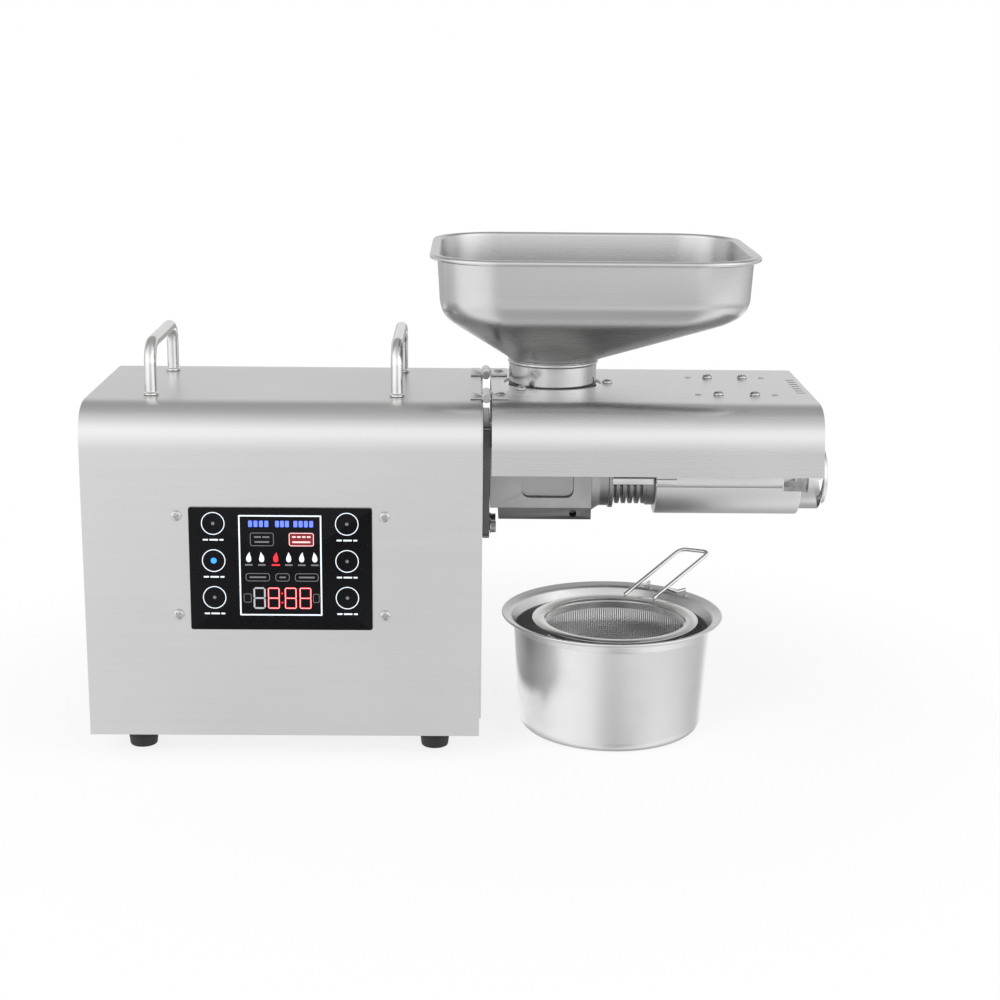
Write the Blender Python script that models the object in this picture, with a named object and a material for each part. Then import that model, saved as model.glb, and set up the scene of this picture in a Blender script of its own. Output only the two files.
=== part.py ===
"""Countertop screw oil press with a lift-off seed hopper, a hinged heater cover and an oil pot.

Units are metres, +Z is up, +X runs along the press barrel from the motor casing to the cake outlet,
and the control panel faces -Y. The origin is on the surface that the feet and the pot stand on,
below the middle of the whole machine.
"""

from math import atan2, cos, pi, radians, sin, sqrt, tan

import bmesh
import bpy
from mathutils import Matrix, Vector

MM = 0.001

# Fits
SEAT = 0.3 * MM
RUN = 0.4 * MM
EASE = 2.0 * MM

# Casing
CASE_LEFT_X = -247.1 * MM
CASE_Y = -5.0 * MM
CASE_LENGTH = 257.8 * MM
CASE_DEPTH = 177.0 * MM
CASE_HEIGHT = 221.6 * MM
EDGE_RADIUS = 22.0 * MM
SHEET = 1.2 * MM
PLATE = 1.5 * MM
RIGHT_PLATE_PROUD = 1.2 * MM
RIGHT_PLATE_LIFT = 12.0 * MM
LEFT_PLATE_RECESS = 0.4 * MM
TRAY_FLANGE = 12.0 * MM
LOUVRE_COUNT = 8
LOUVRE_LENGTH = 34.0 * MM
LOUVRE_WIDTH = 3.0 * MM
LOUVRE_PITCH = 9.0 * MM
LOUVRE_FROM_LEFT = 60.0 * MM
LOUVRE_FROM_BASE = 60.0 * MM

# Feet
FOOT_HEIGHT = 16.9 * MM
FOOT_TOP_RADIUS = 11.0 * MM
FOOT_BASE_RADIUS = 9.0 * MM
FOOT_ROUND = 1.2 * MM
FOOT_INSET_X = 30.0 * MM
FOOT_INSET_Y = 30.5 * MM
FOOT_STUD_RADIUS = 2.2 * MM
FOOT_STUD_LENGTH = 9.0 * MM
FOOT_RECESS_RADIUS = 4.0 * MM
FOOT_RECESS_DEPTH = 7.0 * MM
FOOT_SIDES = 14

# Control panel
PANEL_FROM_LEFT = 128.4 * MM
PANEL_FROM_BASE = 114.8 * MM
PANEL_WIDTH = 118.5 * MM
PANEL_HEIGHT = 82.1 * MM
PANEL_THICK = 1.2 * MM
PANEL_CORNER = 1.5 * MM
PANEL_BORDER = 9.0 * MM
BOARD_THICK = 6.0 * MM
BOARD_PART_HEIGHT = 7.0 * MM
BUZZER_RADIUS = 6.0 * MM
PANEL_SCREW_SPAN_X = 134.6 * MM
PANEL_SCREW_SPAN_Z = 66.5 * MM
PANEL_SCREW_RISE = 1.8 * MM
SMALL_HEAD_RADIUS = 3.5 * MM
SMALL_HEAD_HEIGHT = 1.2 * MM
SMALL_SHANK_RADIUS = 1.4 * MM
SMALL_SHANK_LENGTH = 7.0 * MM
HEAD_EDGE_SHARE = 0.45
HEAD_FLAT_SHARE = 0.65
CROSS_DEPTH = 0.7 * MM
CROSS_WIDTH = 0.8 * MM
CROSS_REACH = 1.9 * MM

# Carrying handles
HANDLE_FROM_LEFT = 40.9 * MM
HANDLE_FROM_RIGHT = 55.5 * MM
HANDLE_SPAN = 96.0 * MM
HANDLE_RISE = 33.5 * MM
HANDLE_ROD_RADIUS = 4.0 * MM
HANDLE_BEND = 13.0 * MM
HANDLE_FOOT_RADIUS = 6.0 * MM
HANDLE_FOOT_HEIGHT = 2.0 * MM
HANDLE_STUD_RADIUS = 2.0 * MM
HANDLE_STUD_LENGTH = 9.0 * MM

# Press axis
AXIS_BEHIND_MIDDLE = 12.0 * MM
AXIS_DROP = 64.8 * MM
BORE_RADIUS = 13.5 * MM

# Mounting flange and its bolts
FLANGE_THICK = 4.7 * MM
FLANGE_HALF_WIDTH = 38.0 * MM
FLANGE_BELOW_AXIS = 38.0 * MM
FLANGE_ABOVE_AXIS = 40.0 * MM
FLANGE_CORNER = 5.0 * MM
PASS_HOLE_RADIUS = 17.0 * MM
BOLT_BELOW_AXIS = 30.5 * MM
BOLT_AHEAD_OF_AXIS = 31.5 * MM
BOLT_SPACING = 22.0 * MM
BOLT_HEAD_FLATS = 7.0 * MM
BOLT_HEAD_HEIGHT = 3.4 * MM
BOLT_WASHER_RADIUS = 4.4 * MM
BOLT_WASHER_HEIGHT = 0.8 * MM
BOLT_SHANK_RADIUS = 2.4 * MM
BOLT_SHANK_PAST_PLATE = 5.0 * MM

# Feed block
BLOCK_LENGTH = 69.0 * MM
BLOCK_HALF_WIDTH = 36.0 * MM
BLOCK_BELOW_AXIS = 16.1 * MM
BLOCK_ABOVE_AXIS = 29.0 * MM
BLOCK_CHAMFER = 3.0 * MM
LIP_DROP = 8.6 * MM
LIP_INSET_X = 5.8 * MM
LIP_INSET_Y = 2.0 * MM
LIP_HOLE_RADIUS = 2.5 * MM
LIP_HOLE_DEPTH = 12.0 * MM
LIP_HOLE_FROM_END = 12.4 * MM
POCKET_WIDTH = 35.2 * MM
POCKET_HEIGHT = 30.0 * MM
POCKET_DEPTH = 6.0 * MM
POCKET_CORNER = 5.0 * MM
POCKET_FROM_LEFT = 21.6 * MM
POCKET_BELOW_AXIS = 8.8 * MM
BEARING_RADIUS = 14.6 * MM
BEARING_DEPTH = 18.2 * MM
THROAT_FROM_LEFT = 42.7 * MM
THROAT_BOSS_RADIUS = 29.2 * MM
THROAT_TOP_RADIUS = 24.5 * MM
THROAT_LOW_RADIUS = 12.0 * MM
THROAT_BELOW_HOOD = 7.8 * MM

# Slotted barrel
CAGE_ROOT_RADIUS = 16.6 * MM
CAGE_FIN_RADIUS = 20.5 * MM
CAGE_FIN_COUNT = 5
CAGE_FIN_PITCH = 4.6 * MM
CAGE_FIN_WIDTH = 2.6 * MM
CAGE_CONE_RADIUS = 26.0 * MM
CAGE_NECK_RADIUS = 21.9 * MM
CAGE_CONE_LENGTH = 6.5 * MM
CAGE_NECK_LENGTH = 6.3 * MM
CAGE_DISC_RADIUS = 23.3 * MM
CAGE_DISC_LENGTH = 3.0 * MM
CAGE_COLLAR_RADIUS = 21.3 * MM
CAGE_COLLAR_LENGTH = 5.4 * MM
CAGE_SPIGOT_RADIUS = 18.0 * MM
CAGE_SPIGOT_LENGTH = 28.0 * MM
CAGE_SLOT_WIDTH = 1.2 * MM
CAGE_SLOT_COUNT = 6
CAGE_RIB_HEIGHT = 5.0 * MM
CAGE_RIB_REACH = 24.0 * MM
CAGE_RIB_THICK = 8.0 * MM
CAGE_SIDES = 24

# Outer sleeve and cake outlet
SLEEVE_RADIUS = 27.0 * MM
SLEEVE_LENGTH = 100.0 * MM
SLEEVE_CHAMFER = 1.2 * MM
SLEEVE_NOTCH_LENGTH = 12.5 * MM
SLEEVE_NOTCH_HEIGHT = 16.0 * MM
SLEEVE_NOTCH_BELOW_AXIS = 5.5 * MM
NOSE_RADIUS = 23.3 * MM
NOSE_LENGTH = 16.4 * MM
NOSE_LIP_RADIUS = 20.0 * MM
NOSE_LIP_LENGTH = 2.3 * MM
NOSE_BORE_RADIUS = 15.0 * MM
NOSE_GAP_LENGTH = 4.8 * MM
NOSE_GAP_BELOW_AXIS = 7.0 * MM
NOSE_VEE_LENGTH = 9.5 * MM
NOSE_VEE_FROM_GAP = 1.9 * MM
NOSE_VEE_TIP_FROM_END = 2.7 * MM
NOSE_VEE_DEPTH = 21.0 * MM

# Press worm
WORM_TIP_RADIUS = 13.1 * MM
WORM_ROOT_START = 7.6 * MM
WORM_ROOT_END = 11.2 * MM
WORM_PITCH = 21.0 * MM
WORM_FLIGHT_TOP = 0.16
WORM_FLIGHT_BASE = 0.30
WORM_SIDES = 16
WORM_COLLAR_RADIUS = 14.2 * MM
WORM_COLLAR_LENGTH = 5.1 * MM
WORM_END_MARGIN = 10.0 * MM
WORM_CONE_LENGTH = 8.5 * MM
WORM_CONE_RADIUS = 8.5 * MM
HEX_FLATS = 14.0 * MM
HEX_DEPTH = 16.0 * MM
COUPLING_RADIUS = 13.0 * MM

# Gearbox
GEARBOX_LENGTH = 70.2 * MM
GEARBOX_RADIUS = 33.0 * MM
GEARBOX_WALL = 4.0 * MM
GEARBOX_FRONT_WALL = 8.0 * MM
GEARBOX_FLANGE_RADIUS = 38.0 * MM
GEARBOX_FLANGE_LENGTH = 6.0 * MM
RING_RADIUS = 27.2 * MM
SUN_RADIUS = 5.0 * MM
PLANET_COUNT = 3
PLANET_LENGTH = 10.5 * MM
CARRIER_RADIUS = 24.0 * MM
CARRIER_THICK = 5.0 * MM
OUTPUT_SHAFT_RADIUS = 9.0 * MM

# Motor
MOTOR_LENGTH = 103.0 * MM
MOTOR_RADIUS = 38.0 * MM
MOTOR_WALL = 3.0 * MM
MOTOR_SHAFT_RADIUS = 4.0 * MM
MOTOR_VENT_RADIUS = 5.0 * MM
MOTOR_VENT_CIRCLE = 24.0 * MM
MOTOR_VENT_COUNT = 6
STATOR_LENGTH = 64.0 * MM
STATOR_BORE_RADIUS = 25.0 * MM
STATOR_INSET = 16.0 * MM
ROTOR_RADIUS = 24.4 * MM
BRACKET_HALF_WIDTH = 34.0 * MM
BRACKET_LENGTH = 30.0 * MM
BRACKET_FROM_FRONT = 34.0 * MM
BRACKET_LEG = 9.0 * MM
BRACKET_DECK = 8.0 * MM

# Power board on the tray floor
POWER_FROM_RIGHT = 18.0 * MM
POWER_LENGTH = 74.0 * MM
POWER_WIDTH = 84.0 * MM
POWER_BOARD_THICK = 1.6 * MM
POWER_SPACER_HEIGHT = 6.0 * MM
POWER_SPACER_RADIUS = 3.0 * MM
POWER_SPACER_INSET = 8.0 * MM
CAPACITOR_RADIUS = 9.0 * MM
CAPACITOR_HEIGHT = 26.0 * MM
RELAY_SIZE = 18.0 * MM
SINK_LENGTH = 40.0 * MM
SINK_HEIGHT = 22.0 * MM
SINK_THICK = 5.0 * MM

# Cooling fan on the left plate
FAN_SIZE = 80.0 * MM
FAN_DEPTH = 25.0 * MM
FAN_BORE_RADIUS = 37.5 * MM
FAN_CORNER = 5.0 * MM
FAN_ABOVE_BASE = 152.0 * MM
FAN_HUB_RADIUS = 15.0 * MM
FAN_STRUT_WIDTH = 4.0 * MM
FAN_STRUT_DEPTH = 4.0 * MM
FAN_BLADE_COUNT = 7
FAN_BLADE_THICK = 1.4 * MM
FAN_BLADE_CHORD = 17.0 * MM
FAN_BLADE_PITCH = 38.0
FAN_TIP_CLEARANCE = 1.2 * MM
GUARD_THICK = 3.0 * MM
GUARD_RING_COUNT = 3
GUARD_BAR = 2.4 * MM

# Power inlet with its rocker switch
INLET_AHEAD_OF_MIDDLE = 42.0 * MM
INLET_ABOVE_BASE = 52.0 * MM
INLET_WIDTH = 33.0 * MM
INLET_HEIGHT = 62.0 * MM
INLET_FLANGE = 2.0 * MM
INLET_BODY_MARGIN = 2.5 * MM
INLET_BODY_DEPTH = 24.0 * MM
SOCKET_WIDTH = 24.0 * MM
SOCKET_HEIGHT = 17.0 * MM
SOCKET_DEPTH = 16.0 * MM
SOCKET_BELOW_MIDDLE = 13.0 * MM
PIN_THICK = 2.0 * MM
PIN_HEIGHT = 4.0 * MM
PIN_LENGTH = 12.0 * MM
PIN_SPACING = 7.0 * MM
ROCKER_WIDTH = 20.0 * MM
ROCKER_HEIGHT = 13.0 * MM
ROCKER_ABOVE_MIDDLE = 16.0 * MM
ROCKER_POCKET_DEPTH = 10.0 * MM
ROCKER_RIM_DROP = 1.6 * MM
ROCKER_BODY_DEPTH = 6.5 * MM
ROCKER_TILT = 8.0
ROCKER_BACK_SHARE = 0.6

# Hinged heater cover
COVER_GAP = 6.9 * MM
COVER_LENGTH = 214.1 * MM
COVER_SKIRT = 44.1 * MM
COVER_HOLE_RADIUS = 33.5 * MM
VENT_COUNT = 7
VENT_PITCH = 8.2 * MM
VENT_LENGTH = 6.0 * MM
VENT_WIDTH = 2.4 * MM
VENT_FROM_END = 3.2 * MM
HINGE_RADIUS = 3.0 * MM
HINGE_PIN_RADIUS = 1.3 * MM
HINGE_LIFT = 0.7 * MM
HINGE_LENGTH = 26.0 * MM
HINGE_SPACING = 90.0 * MM
LEAF_THICK = 1.2 * MM
LEAF_REACH_COVER = 14.8 * MM
LEAF_REACH_CASE = 10.6 * MM
LEAF_EDGE = 3.6 * MM
TONGUE_LENGTH = 12.0 * MM
TONGUE_INSET = 2.0 * MM
TONGUE_SLOT_EASE = 1.2 * MM
COVER_HEAD_RADIUS = 3.5 * MM
COVER_HEAD_HEIGHT = 2.2 * MM
COVER_SHANK_RADIUS = 1.6 * MM
RING_SCREW_CIRCLE = 37.6 * MM
RING_SCREW_ANGLES = (-126.0, -3.0, 117.0)
NECK_RING_OUTER = 42.0 * MM
NECK_RING_THICK = 3.0 * MM
NECK_TUBE_WALL = 1.6 * MM
NECK_TUBE_LENGTH = 5.6 * MM
NECK_FIT = 0.8 * MM

# Heater under the cover
HEATER_X_FROM_END = 75.5 * MM
HEATER_LENGTH = 90.0 * MM
HEATER_RADIUS = 5.0 * MM
HEATER_CAP_RADIUS = 6.5 * MM
HEATER_CAP_LENGTH = 9.0 * MM
HEATER_SPACING = 50.0 * MM
HEATER_BELOW_TOP = 19.8 * MM
SADDLE_LENGTH = 52.0 * MM
SADDLE_FROM_END = 50.5 * MM
SADDLE_WIDTH = 82.0 * MM
SADDLE_TAB_THICK = 1.5 * MM
SADDLE_TAB_BELOW_TUBE = 8.0 * MM
SADDLE_SCREW_SPAN_X = 24.4 * MM
SADDLE_SCREW_SPAN_Y = 66.0 * MM

# Hopper
HOPPER_X_FROM_NECK = 24.6 * MM
HOPPER_Y = 0.0 * MM
HOPPER_LENGTH = 206.0 * MM
HOPPER_WIDTH = 180.0 * MM
HOPPER_CORNER = 42.0 * MM
HOPPER_CORNER_STEPS = 8
HOPPER_SHEET = 1.2 * MM
HOPPER_RIM_REACH = 5.0 * MM
HOPPER_RIM_DROP = 3.6 * MM
HOPPER_RISE = 94.2 * MM
HOPPER_WALL_HEIGHT = 40.0 * MM
HOPPER_WALL_FILLET = 14.0 * MM
HOPPER_FILLET_SHARES = (0.35, 0.7, 1.0)
HOPPER_FUNNEL_DROP = 30.0 * MM
HOPPER_NECK_RADIUS = 29.5 * MM
HOPPER_BEAD = 1.1 * MM
HOPPER_BEAD_HEIGHT = 3.0 * MM

# Oil pot
POT_X_FROM_BLOCK = 85.4 * MM
POT_AHEAD_OF_MIDDLE = 13.6 * MM
POT_HEIGHT = 82.0 * MM
POT_RIM_RADIUS = 76.4 * MM
POT_MOUTH_RADIUS = 69.0 * MM
POT_BASE_RADIUS = 63.6 * MM
POT_CORNER = 8.0 * MM
POT_FLARE_HEIGHT = 9.0 * MM
POT_WALL = 1.2 * MM
POT_RIM_THICK = 1.6 * MM
POT_LIP_DROP = 1.9 * MM
POT_THROAT_SHARE = 0.6
POT_UNDERSIDE_SHARE = 0.55
POT_SIDES = 36

# Strainer
STRAINER_RIGHT_OF_POT = 1.4 * MM
STRAINER_BELOW_RIM = 2.0 * MM
STRAINER_SEAT = 0.45 * MM
STRAINER_RIM_RADIUS = 57.0 * MM
STRAINER_RIM_INNER = 48.6 * MM
STRAINER_RIM_THICK = 1.2 * MM
STRAINER_COLLAR_HEIGHT = 6.0 * MM
STRAINER_COLLAR_WALL = 1.0 * MM
STRAINER_BOWL_DEPTH = 26.0 * MM
STRAINER_BAND_HEIGHT = 4.0 * MM
STRAINER_WIRE = 1.1 * MM
STRAINER_MERIDIANS = 14
STRAINER_RINGS = 4
WIRE_RADIUS = 1.4 * MM
WIRE_SPACING = 22.0 * MM
WIRE_FROM_MIDDLE = 20.5 * MM
WIRE_RUN_X = 41.6 * MM
WIRE_RUN_Y = 22.0 * MM
WIRE_RISE = 28.2 * MM
WIRE_BEND = 5.0 * MM
WIRE_HEADING = 25.0
HOOK_FROM_RING = 12.0 * MM
HOOK_REACH = 9.0 * MM
HOOK_BEND = 2.1 * MM

ROUND_STEPS = 5
FINE_SIDES = 30
MIDDLE_SIDES = 18
ROD_SIDES = 10
SMALL_SIDES = 10
WIRE_SIDES = 8
SHARP_ANGLE = radians(35.0)

# Places that follow from the sizes above
CASE_RIGHT_X = CASE_LEFT_X + CASE_LENGTH
CASE_BASE_Z = FOOT_HEIGHT + SEAT
CASE_TOP_Z = CASE_BASE_Z + CASE_HEIGHT
CASE_FRONT_Y = CASE_Y - CASE_DEPTH / 2
CASE_BACK_Y = CASE_Y + CASE_DEPTH / 2
LEFT_PLATE_X = CASE_LEFT_X + LEFT_PLATE_RECESS
LEFT_PLATE_INNER_X = LEFT_PLATE_X + PLATE
RIGHT_PLATE_OUTER_X = CASE_RIGHT_X + RIGHT_PLATE_PROUD
RIGHT_PLATE_INNER_X = RIGHT_PLATE_OUTER_X - PLATE
AXIS_Y = CASE_Y + AXIS_BEHIND_MIDDLE
AXIS_Z = CASE_TOP_Z - AXIS_DROP
PRESS_AXIS = (AXIS_Y, AXIS_Z)
FLANGE_X = RIGHT_PLATE_OUTER_X + SEAT
BLOCK_X = FLANGE_X + FLANGE_THICK + SEAT
BLOCK_END_X = BLOCK_X + BLOCK_LENGTH
CAGE_X = BLOCK_END_X + SEAT
CAGE_DISC_X = CAGE_X + CAGE_CONE_LENGTH + CAGE_NECK_LENGTH
CAGE_FINS_X = CAGE_DISC_X + CAGE_DISC_LENGTH
CAGE_COLLAR_X = CAGE_FINS_X + CAGE_FIN_COUNT * CAGE_FIN_PITCH
CAGE_COLLAR_END_X = CAGE_COLLAR_X + CAGE_COLLAR_LENGTH
SLEEVE_X = CAGE_COLLAR_END_X + SEAT
SLEEVE_END_X = SLEEVE_X + SLEEVE_LENGTH
NOSE_X = SLEEVE_END_X + SEAT
NOSE_END_X = NOSE_X + NOSE_LENGTH
THROAT_X = BLOCK_X + THROAT_FROM_LEFT
COVER_X = CASE_RIGHT_X + COVER_GAP
COVER_END_X = COVER_X + COVER_LENGTH
COVER_LOW_Z = CASE_TOP_Z - COVER_SKIRT
COVER_INNER_Z = CASE_TOP_Z - SHEET
HINGE_X = CASE_RIGHT_X + COVER_GAP / 2
HINGE_Z = CASE_TOP_Z + HINGE_LIFT
THROAT_TOP_Z = CASE_TOP_Z - THROAT_BELOW_HOOD
NECK_LOW_Z = THROAT_TOP_Z + SEAT
GEARBOX_END_X = RIGHT_PLATE_INNER_X - SEAT
GEARBOX_X = GEARBOX_END_X - GEARBOX_LENGTH
MOTOR_END_X = GEARBOX_X - SEAT
MOTOR_X = MOTOR_END_X - MOTOR_LENGTH
PLANET_RADIUS = (RING_RADIUS - SUN_RADIUS) / 2 - RUN
PLANET_CIRCLE = (RING_RADIUS + SUN_RADIUS) / 2
FIRST_PLANETS_X = GEARBOX_X + GEARBOX_WALL + EASE
FIRST_CARRIER_X = FIRST_PLANETS_X + PLANET_LENGTH
SECOND_PLANETS_X = FIRST_CARRIER_X + CARRIER_THICK + EASE
SECOND_CARRIER_X = SECOND_PLANETS_X + PLANET_LENGTH
COUPLING_X = GEARBOX_END_X + 2 * SEAT
WORM_COLLAR_X = BLOCK_X + BEARING_DEPTH - SEAT - WORM_COLLAR_LENGTH
COUPLING_END_X = WORM_COLLAR_X - SEAT
FLIGHT_X = WORM_COLLAR_X + WORM_COLLAR_LENGTH + SEAT
FLIGHT_END_X = SLEEVE_END_X - WORM_END_MARGIN
WORM_END_X = FLIGHT_END_X + WORM_CONE_LENGTH
TRAY_FLOOR_Z = CASE_BASE_Z + PLATE
PANEL_X = CASE_LEFT_X + PANEL_FROM_LEFT
PANEL_Z = CASE_BASE_Z + PANEL_FROM_BASE
FAN_Z = CASE_BASE_Z + FAN_ABOVE_BASE
FAN_X = LEFT_PLATE_INNER_X + SEAT
INLET_Y = CASE_Y - INLET_AHEAD_OF_MIDDLE
INLET_Z = CASE_BASE_Z + INLET_ABOVE_BASE
INLET_FACE_X = LEFT_PLATE_X - SEAT - INLET_FLANGE
ROCKER_Z = INLET_Z + ROCKER_ABOVE_MIDDLE
ROCKER_PIVOT_X = INLET_FACE_X + ROCKER_RIM_DROP + ROCKER_BODY_DEPTH / 2
HEATER_X = COVER_END_X - HEATER_X_FROM_END
HEATER_Z = CASE_TOP_Z - HEATER_BELOW_TOP
SADDLE_X = COVER_END_X - SADDLE_FROM_END
HOPPER_X = THROAT_X + HOPPER_X_FROM_NECK
HOPPER_TOP_Z = CASE_TOP_Z + HOPPER_RISE
POT_X = BLOCK_X + POT_X_FROM_BLOCK
POT_Y = CASE_Y - POT_AHEAD_OF_MIDDLE
POT_THROAT_RADIUS = POT_MOUTH_RADIUS - POT_WALL
POT_LIP_RADIUS = POT_MOUTH_RADIUS + POT_WALL
POT_THROAT_Z = POT_HEIGHT - POT_FLARE_HEIGHT * POT_THROAT_SHARE
POT_LIP_Z = POT_HEIGHT - POT_LIP_DROP
STRAINER_Z = POT_HEIGHT - STRAINER_BELOW_RIM
POT_RADIUS_AT_STRAINER = POT_THROAT_RADIUS + (POT_LIP_RADIUS - POT_THROAT_RADIUS) * (
    (STRAINER_Z - POT_THROAT_Z) / (POT_LIP_Z - POT_THROAT_Z)
)
STRAINER_SHIFT = POT_RADIUS_AT_STRAINER - STRAINER_RIM_RADIUS - STRAINER_SEAT
STRAINER_X = POT_X + STRAINER_RIGHT_OF_POT
STRAINER_Y = POT_Y - sqrt(STRAINER_SHIFT**2 - STRAINER_RIGHT_OF_POT**2)


# Building blocks


def arc(centre, radius, start, stop, steps):
    """Points in a plane along an arc; the angles are in degrees."""
    found = []
    for step in range(steps + 1):
        angle = radians(start + (stop - start) * step / steps)
        found.append((centre[0] + radius * cos(angle), centre[1] + radius * sin(angle)))
    return found


def turns(sides):
    """Equal steps round a full turn, in radians."""
    return [2 * pi * side / sides for side in range(sides)]


def circle(centre, radius, sides):
    """The corner points of a regular polygon that stands for a circle."""
    return arc(centre, radius, 0.0, 360.0, sides)[:-1]


def rounded_box(low, high, radius):
    """The outline of a rectangle with round corners."""
    outline = []
    corners = ((high[0], high[1], 0), (low[0], high[1], 90), (low[0], low[1], 180), (high[0], low[1], 270))
    for u, v, start in corners:
        centre = (
            u - radius if u == high[0] else u + radius,
            v - radius if v == high[1] else v + radius,
        )
        outline += arc(centre, radius, start, start + 90, ROUND_STEPS)
    return outline


def regular(centre, flats, sides):
    """The outline of a nut or bolt head, given the distance across its flats."""
    radius = flats / 2 / cos(pi / sides)
    return [
        (centre[0] + radius * cos(2 * pi * side / sides), centre[1] + radius * sin(2 * pi * side / sides))
        for side in range(sides)
    ]


def on_axis(axis, along, u, v):
    """A point given by its place along X, Y or Z and its two other coordinates in XYZ order."""
    if axis == "X":
        return Vector((along, u, v))
    if axis == "Y":
        return Vector((u, along, v))
    return Vector((u, v, along))


def facing_out(mesh):
    """Turns all faces of a closed mesh outwards."""
    bmesh.ops.recalc_face_normals(mesh, faces=mesh.faces)
    if mesh.calc_volume(signed=True) < 0:
        bmesh.ops.reverse_faces(mesh, faces=mesh.faces)
    return mesh


def skin(rings, looped=False):
    """A closed bmesh drawn over rings of equally many points; a ring of one point is a pole."""
    mesh = bmesh.new()
    rows = [[mesh.verts.new(point) for point in ring] for ring in rings]
    pairs = list(zip(rows, rows[1:]))
    if looped:
        pairs.append((rows[-1], rows[0]))
    for first, second in pairs:
        count = max(len(first), len(second))
        for i in range(count):
            j = (i + 1) % count
            if len(first) == 1:
                mesh.faces.new((first[0], second[i], second[j]))
            elif len(second) == 1:
                mesh.faces.new((first[i], second[0], first[j]))
            else:
                mesh.faces.new((first[i], second[i], second[j], first[j]))
    if not looped:
        for end in (rows[0], rows[-1]):
            if len(end) > 2:
                mesh.faces.new(end)
    return facing_out(mesh)


def prism(outline, axis, low, high):
    """An outline pulled along X, Y or Z."""
    return skin([[on_axis(axis, along, u, v) for u, v in outline] for along in (low, high)])


def box(low, high):
    """A box between two corner points."""
    outline = ((low[0], low[1]), (high[0], low[1]), (high[0], high[1]), (low[0], high[1]))
    return prism(outline, "Z", low[2], high[2])


def turned(profile, axis, centre, sides, looped=False):
    """A profile of (radius, place along the axis) turned about an axis through centre."""
    rings = []
    for radius, along in profile:
        if radius == 0:
            rings.append([on_axis(axis, along, *centre)])
        else:
            rings.append([on_axis(axis, along, u, v) for u, v in circle(centre, radius, sides)])
    return skin(rings, looped)


def cylinder(axis, centre, radius, low, high, sides=SMALL_SIDES):
    """A round bar."""
    return prism(circle(centre, radius, sides), axis, low, high)


def rounded_path(corners, radius, steps):
    """A path through corner points with each inner corner rounded."""
    points = [Vector(corners[0])]
    for before, corner, after in zip(corners, corners[1:], corners[2:]):
        back = (Vector(before) - Vector(corner)).normalized()
        ahead = (Vector(after) - Vector(corner)).normalized()
        half = back.angle(ahead) / 2
        middle = Vector(corner) + (back + ahead).normalized() * radius / sin(half)
        start = Vector(corner) + back * radius / tan(half) - middle
        stop = Vector(corner) + ahead * radius / tan(half) - middle
        for step in range(steps + 1):
            points.append(middle + start.normalized().slerp(stop.normalized(), step / steps) * radius)
    points.append(Vector(corners[-1]))
    return points


def swept(path, radius, flat, sides):
    """A round bar along a path that lies nearly in the plane with the normal flat."""
    rings = []
    for index, point in enumerate(path):
        before = path[max(index - 1, 0)]
        after = path[min(index + 1, len(path) - 1)]
        ahead = (after - before).normalized()
        across = flat.cross(ahead).normalized()
        up = ahead.cross(across)
        rings.append([point + (across * cos(a) + up * sin(a)) * radius for a in turns(sides)])
    return skin(rings)


def finish(name, colour, roughness, metallic=0.0):
    """A material of one colour."""
    found = bpy.data.materials.get(name)
    if found:
        return found
    found = bpy.data.materials.new(name)
    found.use_nodes = True
    shader = found.node_tree.nodes["Principled BSDF"]
    shader.inputs["Base Color"].default_value = (*colour, 1.0)
    shader.inputs["Roughness"].default_value = roughness
    shader.inputs["Metallic"].default_value = metallic
    return found


def brushed_steel():
    return finish("brushed_steel", (0.60, 0.60, 0.59), 0.36, 1.0)


def polished_steel():
    return finish("polished_steel", (0.70, 0.70, 0.69), 0.14, 1.0)


def satin_steel():
    return finish("satin_steel", (0.50, 0.50, 0.49), 0.30, 1.0)


def cast_steel():
    return finish("cast_steel", (0.34, 0.34, 0.34), 0.48, 1.0)


def zinc():
    return finish("zinc", (0.42, 0.42, 0.41), 0.45, 1.0)


def black_glass():
    return finish("black_glass", (0.006, 0.007, 0.010), 0.06)


def black_plastic():
    return finish("black_plastic", (0.015, 0.015, 0.016), 0.45)


def rubber():
    return finish("rubber", (0.012, 0.012, 0.013), 0.70)


def copper():
    return finish("copper", (0.55, 0.27, 0.14), 0.38, 1.0)


def circuit_board():
    return finish("circuit_board", (0.02, 0.14, 0.06), 0.50)


def quartz():
    return finish("quartz", (0.80, 0.78, 0.74), 0.18)


def merged(meshes):
    """Several closed bmeshes in one mesh datablock."""
    whole = bmesh.new()
    for part in meshes:
        data = bpy.data.meshes.new("part")
        part.to_mesh(data)
        part.free()
        whole.from_mesh(data)
        bpy.data.meshes.remove(data)
    return whole


def new_object(name, shape, material=None):
    data = bpy.data.meshes.new(name)
    shape.to_mesh(data)
    shape.free()
    made = bpy.data.objects.new(name, data)
    bpy.context.scene.collection.objects.link(made)
    if material:
        data.materials.append(material)
    return made


def combine(target, shapes, operation):
    """Cuts closed shapes from an object, or joins them to it, one after the other."""
    for shape in shapes:
        tool = new_object("tool", shape)
        modifier = target.modifiers.new(operation.title(), "BOOLEAN")
        modifier.operation = operation
        modifier.solver = "EXACT"
        modifier.object = tool
        graph = bpy.context.evaluated_depsgraph_get()
        result = bpy.data.meshes.new_from_object(target.evaluated_get(graph))
        target.modifiers.clear()
        old = target.data
        result.materials.clear()
        for material in old.materials:
            result.materials.append(material)
        target.data = result
        bpy.data.meshes.remove(old)
        used = tool.data
        bpy.data.objects.remove(tool)
        bpy.data.meshes.remove(used)
    return target


def carve(target, *shapes):
    """Cuts shapes that don't touch each other, all at once."""
    return combine(target, [merged(shapes)], "DIFFERENCE")


def fuse(target, *shapes):
    """Joins overlapping shapes one by one."""
    return combine(target, shapes, "UNION")


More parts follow.
